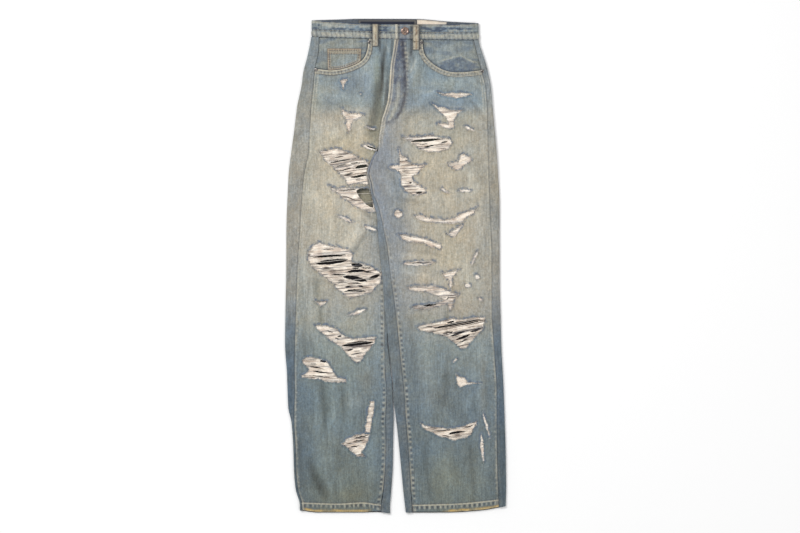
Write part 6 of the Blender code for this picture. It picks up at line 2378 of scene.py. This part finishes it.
@dataclass
class Waistband:
    """One strip round the waist, lapped at the front with a tab."""

    rows: int = 21
    fine_step: float = 0.0022
    back_step: float = 0.005

    def build(self) -> bpy.types.Object:
        """Makes the strip.

        Returns:
            The waistband.
        """
        half = BAND_WALL / 2
        low = FLUSH_LIFT
        left_x, right_x = float(LEFT_EDGE.x_at(y_of(30))), float(RIGHT_EDGE.x_at(y_of(30)))
        radius = (BAND_FRONT_Z - low) / 2
        left_c, right_c = left_x + radius + half, right_x - radius - half
        across = walk(x_of(BAND_LEFT_END_U), left_c, self.fine_step)[:-1]
        path = [(float(x), BAND_FRONT_Z + half, 0.0, 1.0, 1) for x in across]
        middle = low + half + radius
        for angle in np.radians(np.linspace(90, -90, ARC_POINTS)):
            cos, sin = math.cos(angle), math.sin(angle)
            path.append((left_c - radius * cos, middle + radius * sin, -cos, sin, 2))
        path += [(float(x), low + half, 0.0, -1.0, 0) for x in walk(left_c, right_c, self.back_step)[1:-1]]
        for angle in np.radians(np.linspace(-90, 90, ARC_POINTS)):
            cos, sin = math.cos(angle), math.sin(angle)
            path.append((right_c + radius * cos, middle + radius * sin, cos, sin, 2))
        for x in walk(right_c, x_of(BAND_TAB_END_U), self.fine_step)[1:]:
            path.append((float(x), float(LAYERS.band_right_low(x)) + half, 0.0, 1.0, 1))
        xs, zs, nx, nz, place = (np.array(column) for column in zip(*path))
        shares = np.linspace(0, 1, self.rows)
        noise, fine = CellNoise(81, 0.012, 0.010), CellNoise(82, 0.0042, 0.006)
        outer, inner, tints, insides = [], [], [], []
        for share in shares:
            top = np.where(place == 0, BAND_BACK_TOP.y_at(xs), BAND_FRONT_TOP.y_at(xs))
            y = BAND_LOW.y_at(xs) * (1 - share) + top * share
            round_off = 0.5 * (math.exp(-((share / 0.06) ** 2)) + math.exp(-(((1 - share) / 0.06) ** 2)))
            ridge = math.exp(-(((share - 0.20) / 0.15) ** 2))
            groove = math.exp(-(((share - 0.42) / 0.05) ** 2))
            puffed = 0.0007 * ridge * (1 + 0.8 * fine.at(xs, y)) - 0.0006 * groove + 0.0004 * noise.at(xs, y)
            thick = half - half * 0.55 * round_off
            out = np.where(nz > -0.5, thick + puffed, thick)
            outer.append(np.stack([xs + nx * out, y, zs + nz * out], axis=1))
            inner.append(np.stack([xs - nx * thick, y, zs - nz * thick], axis=1))
            tints.append(self.tint(xs, y, share))
            insides.append(np.tile(linear((92, 98, 106)), (len(xs), 1)))
        faces = []
        width = len(xs)
        for row in range(self.rows - 1):
            for column in range(width - 1):
                a = row * width + column
                faces.append([a, a + width, a + width + 1, a + 1][::-1])
        sides = np.vstack(outer), np.vstack(inner)
        wall = Wall("waistband_cloth", *sides, faces, np.vstack(tints), np.vstack(insides))
        piece = wall.build()
        finish_piece(piece, DENIM, "denim", ["waistband"])
        wall.flat_area()
        return piece

    def tint(self, x: Array, y: Array, share: float) -> Array:
        """Blue-grey above a pale roped ridge, with painted shade as dark ticks in its groove and painted
        shadow beside the belt loops.

        Args:
            x: metres to the right.
            y: metres towards the waist.
            share: 0 at the lower edge, 1 at the upper.

        Returns:
            One colour for each place.
        """
        streaks, spots = CellNoise(84, 0.030, 0.0042), CellNoise(85, 0.0075, 0.0046)
        base = blotched(np.tile(linear((132, 143, 148)), (len(x), 1)), x, y, 1.4)
        base = base * (1 + 0.16 * streaks.at(x, y) + 0.14 * spots.at(x, y))[:, None]
        stained = np.clip(2.8 * streaks.at(x, y) + 1.8 * spots.at(x, y) - 0.25, 0, 0.9)
        base = mixed(base, (74, 86, 104), stained * step((share - 0.45) / 0.1))
        rubbed = np.clip(-1.6 * streaks.at(x, y) - 1.0 * spots.at(x, y) - 0.4, 0, 0.6)
        base = mixed(base, (182, 182, 170), rubbed)
        ridge = band_of(np.full(len(x), share), 0.21, 0.15)
        base = mixed(base, (186, 183, 168), ridge * np.clip(0.75 + 0.5 * spots.at(x, y), 0, 1))
        pull = pulled(x + 0.2 * y, 0.0095, 46)
        base = mixed(base, (84, 90, 102), ridge * np.clip(-pull - 0.2, 0, 0.6))
        # Painted shade in the groove and along the lower seam, broken into ticks by the stitches' pull.
        groove = math.exp(-(((share - 0.44) / 0.055) ** 2)) + math.exp(-((share / 0.06) ** 2))
        base = mixed(base, (58, 66, 84), np.clip(groove * (0.55 - 0.55 * pull), 0, 0.9))
        base = mixed(base, (70, 76, 90), np.full(len(x), 0.6 * math.exp(-(((1 - share) / 0.05) ** 2))))
        base = mixed(base, (192, 188, 172), np.full(len(x), 0.4 * math.exp(-(((share - 0.88) / 0.05) ** 2))))
        u = u_of(x)
        base = mixed(base, (92, 103, 126), 0.55 * band_of(u, 404, 6.5))
        base = mixed(base, (214, 206, 186), 0.8 * band_of(u, 396.4, 1.2))
        # Painted shadow beside the belt loops' edges.
        loop_shadow = np.clip(0.8 + 0.6 * spots.at(x, y), 0, 1)
        for edge in (371.2, 379.9, 411.2, 420.9):
            base = mixed(base, (30, 34, 44), 0.85 * loop_shadow * band_of(u, edge, 1.1))
        return mixed(base, (44, 48, 58), 0.8 * band_of(u, 398.6, 0.8))


@dataclass(frozen=True)
class Stack:
    """Heights of what is seen on the front, for what is sewn on it."""

    left: FrontPanel
    right: FrontPanel

    def band(self, x: Array) -> Array:
        """Top of the waistband."""
        return np.where(x > x_of(BAND_TAB_END_U), LAYERS.band_right_low(x), BAND_FRONT_Z) + BAND_WALL + 0.0003

    def facing(self, x: Array, y: Array) -> Array:
        """Top of the pocket facings.

        Args:
            x: metres to the right.
            y: metres towards the waist.

        Returns:
            Metres of height.
        """
        rumple = Crease(R, 441, 64, 460, 56, 0.006, 0.0016).shape(x, y) * 0.0016
        rumple = rumple + Crease(R, 460, 56, 476, 64, 0.006, 0.0014).shape(x, y) * 0.0013
        low = LAYERS.floor(y) + WALL + SEAM_GAP
        return low + FACING_WALL + rumple * 0.6 + 0.00015 * CellNoise(91, 0.012, 0.010).at(x, y)

    def front(self, x: Array, y: Array) -> Array:
        """The highest cloth at a place on the front."""
        panels = np.where(x > FLY_EDGE.x_at(y), self.right.top(x, y), self.left.top(x, y))
        return np.where(y > BAND_LOW.y_at(x), self.band(x), panels)


@dataclass
class PocketFacing:
    """The cloth seen inside a slanted front pocket, with the rumple of the right one."""

    leg: Leg
    stack: Stack
    cut: tuple[float, float] = (0.145, 0.085)
    cell: float = 0.0021
    thick: float = 0.0010

    def build(self) -> bpy.types.Object:
        """Cuts and dresses the facing.

        Returns:
            The facing.
        """
        left = self.leg is L
        side = self.leg.inward
        rows = POCKET[self.leg]
        curve = curve_points(rows, 0.006)
        curve = beside(curve, -FACING_UNDER * GRID)
        seam = LAYERS.outer_seam(self.leg, curve[:, 1])
        below = curve[:, 1] < BAND_LOW.y_at(curve[:, 0]) - 0.003
        curve = curve[below & ((curve[:, 0] - seam) * side > 0.004)]
        if not left:
            curve = curve[::-1]
        low_y = float(curve[0, 1])
        loop: list[Spot] = []
        for y in walk(y_of(38.9 if left else 41.0), low_y, 0.004):
            loop.append((float(LAYERS.outer_seam(self.leg, y)) + side * SEAM_GAP, float(y)))
        loop += plain(curve)
        first = float(LAYERS.outer_seam(self.leg, y_of(40)))
        for x in walk(float(curve[-1, 0]), first + side * 0.003, 0.004):
            loop.append((float(x), float(BAND_LOW.y_at(x)) - SEAM_GAP))

        def tint(x: Array, y: Array) -> Array:
            """Blue-grey cloth with painted shadow beside the opening and, on the right, painted light and
            shade on the rumple.
            """
            base = blotched(np.tile(linear((142, 148, 145)), (len(x), 1)), x, y, 1.3)
            spots = np.stack([x, y], axis=1)
            streaks = CellNoise(92, 0.022, 0.0050, 0.1 * side).at(x, y)
            base = mixed(base, (110, 123, 135), np.clip(0.1 + 0.9 * streaks, 0, 0.7))
            near, _ = line_distance(spots, plain(curve_points(rows, 0.003)), 0.02)
            # Painted shadow beside the pocket opening.
            base = mixed(base, (58, 66, 76), 0.75 * band_of(near, 0.0, 0.0030))
            if self.leg is R:
                ridge, _ = line_distance(spots, metres(FACING_RUMPLE), 0.02)
                u, v = u_of(x), v_of(y)
                level = np.interp(u, [p[0] for p in FACING_RUMPLE], [p[1] for p in FACING_RUMPLE])
                # Painted shade below the rumple's ridge and painted light along it.
                under = step((v - level) / 1.2) * step((u - 436) / 5) * (1 - step((u - 472) / 8))
                patchy = np.clip(0.75 + 0.7 * CellNoise(93, 0.0050, 0.0042).at(x, y), 0, 1)
                base = mixed(base, (92, 105, 124), 0.7 * under * patchy)
                base = mixed(base, (178, 180, 168), 0.75 * patchy * band_of(ridge, 0.0006, 0.0015))
            return base

        name = f"pocket_cloth_{self.leg.value}"
        wall = cut_wall(name, loop, [], self.cell, self.stack.facing, self.thick, tint, INSIDE_SHADE)
        piece = wall.build()
        finish_piece(piece, DENIM, "denim", [f"pocket_facing_{self.leg.value}"])
        lay_sheet(piece, wall, *self.cut, [f"back_yoke_{self.leg.value}"])
        return piece


@dataclass
class PatchPocket:
    """A flat sewn-on piece of one cloth: coin pocket, back pocket or belt loop."""

    name: str
    node: str
    loop: list[Spot]
    top: Surface
    thick: float
    colour: Rgb
    size: tuple[float, float]
    cell: float = 0.004
    hem: float | None = None
    hem_colour: Rgb = (176, 150, 124)
    stripe: float | None = None
    slot: str = "denim"
    finish: DenimFinish = DENIM
    lies_on: str = "waistband_cloth"

    def build(self) -> bpy.types.Object:
        """Cuts and dresses the piece.

        Returns:
            The piece.
        """

        def tint(x: Array, y: Array) -> Array:
            """Worn cloth with a pale rim, on a pocket a tan hem, and on a belt loop a tan middle stripe with
            painted shade along its edges.
            """
            base = np.tile(linear(self.colour), (len(x), 1))
            base = blotched(base, x, y, 0.3 if self.slot != "denim" else 1.2)
            gap, along = line_distance(np.stack([x, y], axis=1), [*self.loop, self.loop[0]], 0.012)
            if self.stripe is not None:
                worn = np.clip(0.7 + 0.6 * CellNoise(96, 0.004, 0.009).at(x, y), 0, 1)
                base = mixed(base, (148, 116, 90), 0.75 * worn * band_of(x, self.stripe + 0.0006, 0.0017))
                # Painted shade along the loop's right side and round its edges.
                base = mixed(base, (62, 62, 70), 0.85 * band_of(x, self.stripe + 0.0058, 0.0020))
                base = mixed(base, (58, 60, 70), 0.9 * band_of(gap, 0.0, 0.0021))
                flecks = 1.2 * CellNoise(97, 0.003, 0.004).at(x, y) - 0.3
                base = mixed(base, (92, 84, 80), np.clip(flecks, 0, 0.6))
            if self.hem is not None:
                pull = pulled(along, 0.0062, 47)
                base = mixed(base, (164, 158, 142), 0.8 * step((y - self.hem) / 0.001))
                base = mixed(base, linear(self.hem_colour), 0.7 * band_of(gap, 0.0016, 0.0015))
                sewn = np.clip(0.3 - 0.6 * pull, 0, 0.8)
                base = mixed(base, (78, 76, 84), sewn * band_of(gap, 0.0042, 0.0012))
                ticks = np.clip(0.1 - 1.5 * pulled(along, 0.0052, 48), 0, 0.8)
                base = mixed(base, (86, 74, 74), ticks * band_of(gap, 0.0040, 0.0026))
                base = mixed(base, (168, 158, 138), 0.6 * band_of(gap, 0.0062, 0.0011))
                turned = np.clip(0.4 - 0.5 * pull, 0, 0.8)
                base = mixed(base, (70, 70, 80), turned * band_of(y, self.hem, 0.0011))
            base = mixed(base, SEAM_LIGHT, 0.3 * band_of(gap, 0.0022, 0.0012))
            return mixed(base, SEAM_DARK, 0.55 * band_of(gap, 0.0, 0.0008))

        wall = cut_wall(self.name, self.loop, [], self.cell, self.top, self.thick, tint, INSIDE_SHADE)
        piece = wall.build()
        finish_piece(piece, self.finish, self.slot, [self.node])
        lay_sheet(piece, wall, *self.size, [self.lies_on])
        return piece


@dataclass(frozen=True)
class StitchRow:
    """A line of stitches on the cloth."""

    points: Array
    height: Surface
    colour: Rgb = (206, 196, 170)
    pitch: float = 0.0036
    length: float = 0.0027
    width: float = 0.00075
    below: bool = False


@dataclass
class Stitching:
    """Every stitch of one side of the jeans, as one piece."""

    name: str
    rows: list[StitchRow] = field(default_factory=list)

    def build(self) -> bpy.types.Object:
        """Models each stitch as a small rounded bar.

        Returns:
            The piece.
        """
        rng = np.random.default_rng(5)
        points, faces, tints = [], [], []
        for row in self.rows:
            along = np.concatenate([[0.0], np.cumsum(np.hypot(*np.diff(row.points, axis=0).T))])
            spots = np.arange(row.pitch / 2, along[-1] - row.pitch / 2, row.pitch)
            for spot in spots:
                half, sixth = row.length / 2, row.length / 6
                ends = np.array([spot - half, spot - sixth, spot + sixth, spot + half])
                x, y = np.interp(ends, along, row.points[:, 0]), np.interp(ends, along, row.points[:, 1])
                z = row.height(x, y) + np.array([-0.0001, 0.0003, 0.0003, -0.0001]) * (-1 if row.below else 1)
                way = np.array([x[-1] - x[0], y[-1] - y[0]])
                side = np.array([-way[1], way[0]]) / max(np.hypot(*way), 1e-9) * row.width / 2
                first = len(points)
                drop = 0.0004 if not row.below else -0.0004
                for k, wide in enumerate((0.6, 1.0, 1.0, 0.6)):
                    points.append((x[k] - side[0] * wide, y[k] - side[1] * wide, z[k] - drop))
                    points.append((x[k], y[k], z[k]))
                    points.append((x[k] + side[0] * wide, y[k] + side[1] * wide, z[k] - drop))
                shade = linear(row.colour) * rng.uniform(0.75, 1.12)
                tints += [shade] * 12
                for ring in range(3):
                    a = first + ring * 3
                    ring_faces = [[a + i, a + 3 + i, a + 3 + j, a + j] for i, j in ((0, 1), (1, 2), (2, 0))]
                    faces += [face[::-1] for face in ring_faces] if not row.below else ring_faces
                caps = [[first, first + 1, first + 2], [first + 11, first + 10, first + 9]]
                faces += [cap[::-1] for cap in caps] if not row.below else caps
        piece = cloth_object(self.name, points, faces, np.array(tints))
        made = bmesh.new()
        made.from_mesh(piece.data)
        bmesh.ops.recalc_face_normals(made, faces=made.faces)
        made.to_mesh(piece.data)
        made.free()
        finish_piece(piece, STITCH, "denim", [])
        return piece


def straight(u0: float, v0: float, u1: float, v1: float) -> Array:
    """A straight sewing line between two grid places."""
    return curve_points(((u0, v0), (u1, v1)), 0.004)


def down_line(line: PatternLine, v0: float, v1: float, shift: float) -> Array:
    """A sewing line beside a line down the leg."""
    y = walk(y_of(v0), y_of(v1), 0.004)
    return np.stack([line.x_at(y) + shift, y], axis=1)


def over_line(line: PatternLine, u0: float, u1: float, shift: float) -> Array:
    """A sewing line beside a line across the garment."""
    x = walk(x_of(u0), x_of(u1), 0.004)
    return np.stack([x, line.y_at(x) + shift], axis=1)


DISHED_RINGS = ((0.10, 0.0), (0.10, 0.10), (0.14, -0.28), (0.10, -0.06))
DOMED_RINGS = ((0.18, 0.18), (0.3, 0.2))


@dataclass
class TurnedMetal:
    """A round metal part, modelled from a cylinder by insets and moves."""

    name: str
    node: str
    u: float
    v: float
    radius: float
    height: float
    finish: MetalFinish
    dished: bool

    def build(self) -> bpy.types.Object:
        """Models the part on its seat, from the solid's own place.

        Returns:
            The part.
        """
        base = float(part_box(self.node)[0][2])
        place = (x_of(self.u), y_of(self.v), base + self.height / 2)
        bpy.ops.object.select_all(action="DESELECT")
        bpy.ops.mesh.primitive_cylinder_add(
            vertices=32, radius=self.radius, depth=self.height, location=place
        )
        piece = bpy.context.object
        piece.name = self.name
        bpy.ops.object.transform_apply(location=True, rotation=True, scale=True)
        for face in piece.data.polygons:
            face.select = face.normal.z > 0.9
        bpy.context.tool_settings.mesh_select_mode = (False, False, True)
        bpy.ops.object.mode_set(mode="EDIT")
        for inset, rise in DISHED_RINGS if self.dished else DOMED_RINGS:
            bpy.ops.mesh.inset(thickness=self.radius * inset, depth=self.height * rise)
        bpy.ops.object.mode_set(mode="OBJECT")
        rounded = piece.modifiers.new("rounded_rim", "BEVEL")
        rounded.width, rounded.segments, rounded.angle_limit = self.height * 0.28, 3, math.radians(60)
        bpy.ops.object.modifier_apply(modifier=rounded.name)
        bpy.ops.object.shade_smooth_by_angle(angle=math.radians(45))
        add_tint(piece.data, np.full((len(piece.data.vertices), 3), 0.5))
        finish_piece(piece, self.finish, "aged_metal", [self.node])
        return piece


@dataclass
class Studio:
    """Pale floor, soft lights and the camera straight over the jeans."""

    camera_height: float = 6.0
    view_width: float = 1.728
    sensor: float = 36.0
    floor_size: float = 12.0
    floor_drop: float = 0.0008
    floor_white: float = 0.92
    sky_strength: float = 0.62

    def build(self) -> None:
        """Sets up the floor, the lights, the surroundings and the camera."""
        bpy.ops.object.select_all(action="DESELECT")
        bpy.ops.mesh.primitive_plane_add(size=self.floor_size, location=(0, 0, -self.floor_drop))
        floor = bpy.context.object
        floor.name = "floor"
        bpy.ops.object.transform_apply(location=True, rotation=True, scale=True)
        white = (self.floor_white,) * 3
        paper, _ = new_material("pale_floor", {"Base Color": (*white, 1.0), "Roughness": 0.9})
        floor.data.materials.append(paper)
        scene = bpy.context.scene
        scene.view_settings.view_transform = "Standard"
        world = scene.world or bpy.data.worlds.new("studio")
        scene.world = world
        world.use_nodes = True
        sky = {"Color": (1.0, 1.0, 1.0, 1.0), "Strength": self.sky_strength}
        set_inputs(world.node_tree.nodes["Background"], sky)
        self.light("key_light", (-1.6, 1.5, 2.6), 1.2, 62.0)
        self.light("fill_light", (1.8, -1.0, 3.0), 2.4, 26.0)
        camera = bpy.data.cameras.new("camera")
        camera.sensor_width = self.sensor
        camera.lens = self.sensor * self.camera_height / self.view_width
        camera.clip_end = 50.0
        seat = bpy.data.objects.new("camera", camera)
        seat.location = (x_of(400.0), y_of(266.5), self.camera_height)
        bpy.context.collection.objects.link(seat)
        scene.camera = seat

    def light(self, name: str, place: Rgb, size: float, power: float) -> None:
        """Adds a square soft light that faces the jeans.

        Args:
            name: the light's name.
            place: where it stands.
            size: its side in metres.
            power: its power in watts.
        """
        lamp = bpy.data.lights.new(name, "AREA")
        lamp.size = size
        lamp.energy = power
        holder = bpy.data.objects.new(name, lamp)
        holder.location = place
        holder.rotation_euler = (Vector((0, 0, 0)) - Vector(place)).to_track_quat("-Z", "Y").to_euler()
        bpy.context.collection.objects.link(holder)


def build_sewn_pieces(stack: Stack) -> list[bpy.types.Object]:
    """Makes the coin pocket, back pockets, belt loops and tapes.

    Args:
        stack: heights of the front.

    Returns:
        The pieces.
    """
    pieces = []

    def coin_top(x: Array, y: Array) -> Array:
        """Just over the facing."""
        return stack.facing(x, y) + 0.0014

    def low(x: Array, y: Array) -> Array:
        """The height of what lies under the back."""
        return np.full(len(x), 0.0012)

    def lifted(x: Array, y: Array) -> Array:
        """Just over the inside of the waistband."""
        return FLUSH_LIFT + BAND_WALL + SEAM_GAP + 0.0007 + 0.0001 * CellNoise(95, 0.01, 0.01).at(x, y)

    left_x, right_x, top_y = x_of(327.2), x_of(361.3), y_of(48.6)
    curve = beside(curve_points(LEFT_POCKET, 0.0016), 0.0009)
    curve = curve[(curve[:, 0] > left_x) & (curve[:, 0] < right_x - 0.0005)]
    loop = [(float(x), top_y) for x in walk(right_x, left_x, 0.002)] + plain(curve)
    pieces.append(PatchPocket(
        "coin_pocket_cloth", "coin_pocket", loop, coin_top, 0.0011, (140, 147, 145), (0.075, 0.048),
        0.0014, y_of(54.2), lies_on="pocket_cloth_left",
    ).build())
    for name, u0, u1 in (("left", 314.0, 374.0), ("right", 406.0, 466.0)):
        x0, x1, y0, y1 = x_of(u0), x_of(u1), y_of(82.0), y_of(146.0)
        shape = [(x0 + 0.006, y1), ((x0 + x1) / 2, y1 - 0.016), (x1 - 0.006, y1), (x1, y0), (x0, y0)]
        pieces.append(PatchPocket(
            f"back_pocket_cloth_{name}", f"back_pocket_{name}", resampled(shape, 0.004, 0.0, 1),
            low, 0.0011, (118, 130, 140), (0.132, 0.158), 0.005, lies_on="floor",
        ).build())
    for name, u0, u1, v0 in (
        ("left", 332.0, 338.0, 20.6), ("centre", 387.2, 393.2, 20.2), ("right", 442.0, 448.0, 22.6),
    ):
        pieces.append(PatchPocket(
            f"belt_loop_cloth_back_{name}", f"belt_loop_back_{name}", strap(u0, u1, v0, 47.5),
            low, 0.0011, (150, 150, 142), (0.0135, 0.061), 0.003, stripe=x_of((u0 + u1) / 2), lies_on="floor",
        ).build())
    for side, u0, u1, v0, v1 in (("left", 372.3, 378.6, 24.2, 46.8), ("right", 412.5, 419.6, 24.8, 50.4)):
        middle = x_of((u0 + u1) / 2)

        def over(x: Array, y: Array, middle: float = middle) -> Array:
            """Just over the waistband and the panel, bowed between its two ends."""
            near = np.max([stack.front(x, y + shift) for shift in (-0.004, 0.0, 0.004)], axis=0)
            crown = 0.0005 * (1 - np.minimum(np.abs(x - middle) / 0.0075, 1.0) ** 2)
            return near + 0.0016 + crown

        pieces.append(PatchPocket(
            f"belt_loop_cloth_front_{side}", f"belt_loop_front_{side}", strap(u0, u1, v0, v1),
            over, 0.0012, (190, 184, 166), (0.0156, 0.058), 0.0016, stripe=middle,
        ).build())
    for name, slot, u0, u1, colour in (
        ("label_dark", "dark_tape", 358.4, 416.2, (44, 48, 62)),
        ("label_cream", "cream_tape", 416.9, 446.6, (236, 222, 204)),
    ):
        top = [(float(x), float(BAND_BACK_TOP.y_at(x)) - 0.0012) for x in walk(x_of(u1), x_of(u0), 0.003)]
        bottom = [(float(x), y_of(27.0)) for x in walk(x_of(u0), x_of(u1), 0.003)]
        pieces.append(PatchPocket(
            f"{name}_tape", name, bottom + top, lifted, 0.0006, colour,
            (x_of(u1) - x_of(u0) + 0.001, 0.018), 0.003, slot=slot, finish=TAPE,
        ).build())
    return pieces


def strap(u0: float, u1: float, v0: float, v1: float) -> list[Spot]:
    """The outline of a belt loop."""
    corners = [(x_of(u0), y_of(v1)), (x_of(u1), y_of(v1)), (x_of(u1), y_of(v0)), (x_of(u0), y_of(v0))]
    return resampled(corners, 0.0016, 0.0, 1)


def sewing_rows(stack: Stack) -> tuple[list[StitchRow], list[StitchRow]]:
    """All lines of topstitching.

    Args:
        stack: heights of the front.

    Returns:
        The rows of the front and those of the underside.
    """

    def over_band(x: Array, y: Array) -> Array:
        """On the waistband."""
        return stack.band(x)

    def coin(x: Array, y: Array) -> Array:
        """On the coin pocket."""
        return stack.facing(x, y) + 0.0015

    def under(x: Array, y: Array) -> Array:
        """Under the back panels."""
        return LAYERS.floor(y) + 0.0001

    def flat(x: Array, y: Array) -> Array:
        """Under the back pockets."""
        return np.full(len(x), 0.0002)

    def band_under(x: Array, y: Array) -> Array:
        """Under the waistband."""
        return np.full(len(x), FLUSH_LIFT)

    front: list[StitchRow] = []
    for panel in (stack.left, stack.right):
        pocket = curve_points(POCKET[panel.leg], 0.003)
        seam = LAYERS.outer_seam(panel.leg, pocket[:, 1])
        inward = (pocket[:, 0] - seam) * panel.leg.inward > 0.002
        pocket = pocket[(pocket[:, 1] < BAND_LOW.y_at(pocket[:, 0]) - 0.001) & inward]
        for distance in (0.0022, 0.0086):
            front.append(StitchRow(beside(pocket, -distance), panel.top, (196, 180, 150)))
    for line, shift in ((BAND_LOW, 0.0026), (BAND_LOW, 0.0150), (BAND_FRONT_TOP, -0.0028)):
        for u0, u1 in ((313, 393.5), (396, 478)):
            front.append(StitchRow(over_line(line, u0, u1, shift), over_band))
    front += [
        StitchRow(straight(396.2, 38, 396.8, 26), over_band),
        StitchRow(down_line(FLY_EDGE, 41, 138, 0.0022), stack.right.top, (214, 206, 184)),
        StitchRow(down_line(FLY_STITCH, 42, 119.5, 0.0), stack.right.top, (120, 112, 100)),
        StitchRow(down_line(FLY_STITCH, 42, 118.0, -0.0055), stack.right.top, (96, 92, 92)),
    ]
    for panel, u0, u1 in ((stack.left, 301, 380), (stack.right, 413, 498)):
        front.append(StitchRow(over_line(HEM_TOP[panel.leg], u0, u1, -0.0015), panel.top, (196, 188, 166)))
    for panel, v0 in ((stack.left, 72), (stack.right, 42)):
        y = walk(y_of(v0), y_of(500), 0.004)
        x = LAYERS.outer_seam(panel.leg, y) + 0.0024 * panel.leg.inward
        front.append(StitchRow(np.stack([x, y], axis=1), panel.top, (160, 158, 147)))
    for v in (49.5, 53.3):
        front.append(StitchRow(straight(328.2, v, 360.3, v), coin, (190, 158, 122)))
    for u in (328.6, 330.6, 359.9, 357.9):
        front.append(StitchRow(straight(u, 49.6, u, 63), coin, (186, 168, 140)))
    below: list[StitchRow] = []
    for u0, u1 in ((314.0, 374.0), (406.0, 466.0)):
        middle = (u0 + u1) / 2
        rows = ((u0 + 1, 83), (u0 + 3.6, 145.4), (middle, 152.4), (u1 - 3.6, 145.4), (u1 - 1, 83))
        below.append(StitchRow(np.array(metres(rows)), flat, below=True))
        below.append(StitchRow(straight(u0 + 1, 86.5, u1 - 1, 86.5), flat, below=True))
    for line, height in (
        (straight(314, 57.4, 389.5, 63.6), under),
        (straight(390.5, 63.6, 474, 57.4), under),
        (straight(388.6, 64.5, 388.6, 138), under),
        (over_line(BAND_LOW, 315, 475, 0.0028), band_under),
        (over_line(BAND_BACK_TOP, 315, 475, -0.0030), band_under),
    ):
        below.append(StitchRow(line, height, below=True))
    return front, below


def main() -> None:
    """Builds every sub-assembly in order and reports each piece."""
    logging.basicConfig(level=logging.INFO, format="%(name)s: %(message)s")
    Studio().build()
    fronts = {leg: FrontPanel(leg) for leg in Leg}
    stack = Stack(fronts[L], fronts[R])
    pieces: list[bpy.types.Object] = []
    for leg in Leg:
        pieces.append(BackPanel(leg).build())
        pieces.append(BackPanel(leg, yoke=True).build())
        pieces.append(fronts[leg].build())
        pieces += WeftThreads(leg, fronts[leg]).build()
        pieces.append(PocketFacing(leg, stack).build())
    pieces.append(Waistband().build())
    pieces += build_sewn_pieces(stack)
    over, under = sewing_rows(stack)
    pieces.append(Stitching("topstitching_front", over).build())
    pieces.append(Stitching("topstitching_back", under).build())
    button = TurnedMetal("button_metal", "waist_button", 405.0, 31.5, 0.0085, 0.0024, COPPER, True)
    pieces.append(button.build())
    for name, u, v in (
        ("left_outer", 316.2, 70.0), ("left_inner", 369.5, 42.4),
        ("right_inner", 421.6, 42.8), ("right_outer", 482.2, 71.4),
    ):
        rivet = TurnedMetal(f"rivet_metal_{name}", f"rivet_{name}", u, v, 0.0038, 0.0010, NICKEL, False)
        pieces.append(rivet.build())
    for piece in pieces:
        LOG.info("%s: %d faces", piece.name, len(piece.data.polygons))


if __name__ == "__main__":
    main()
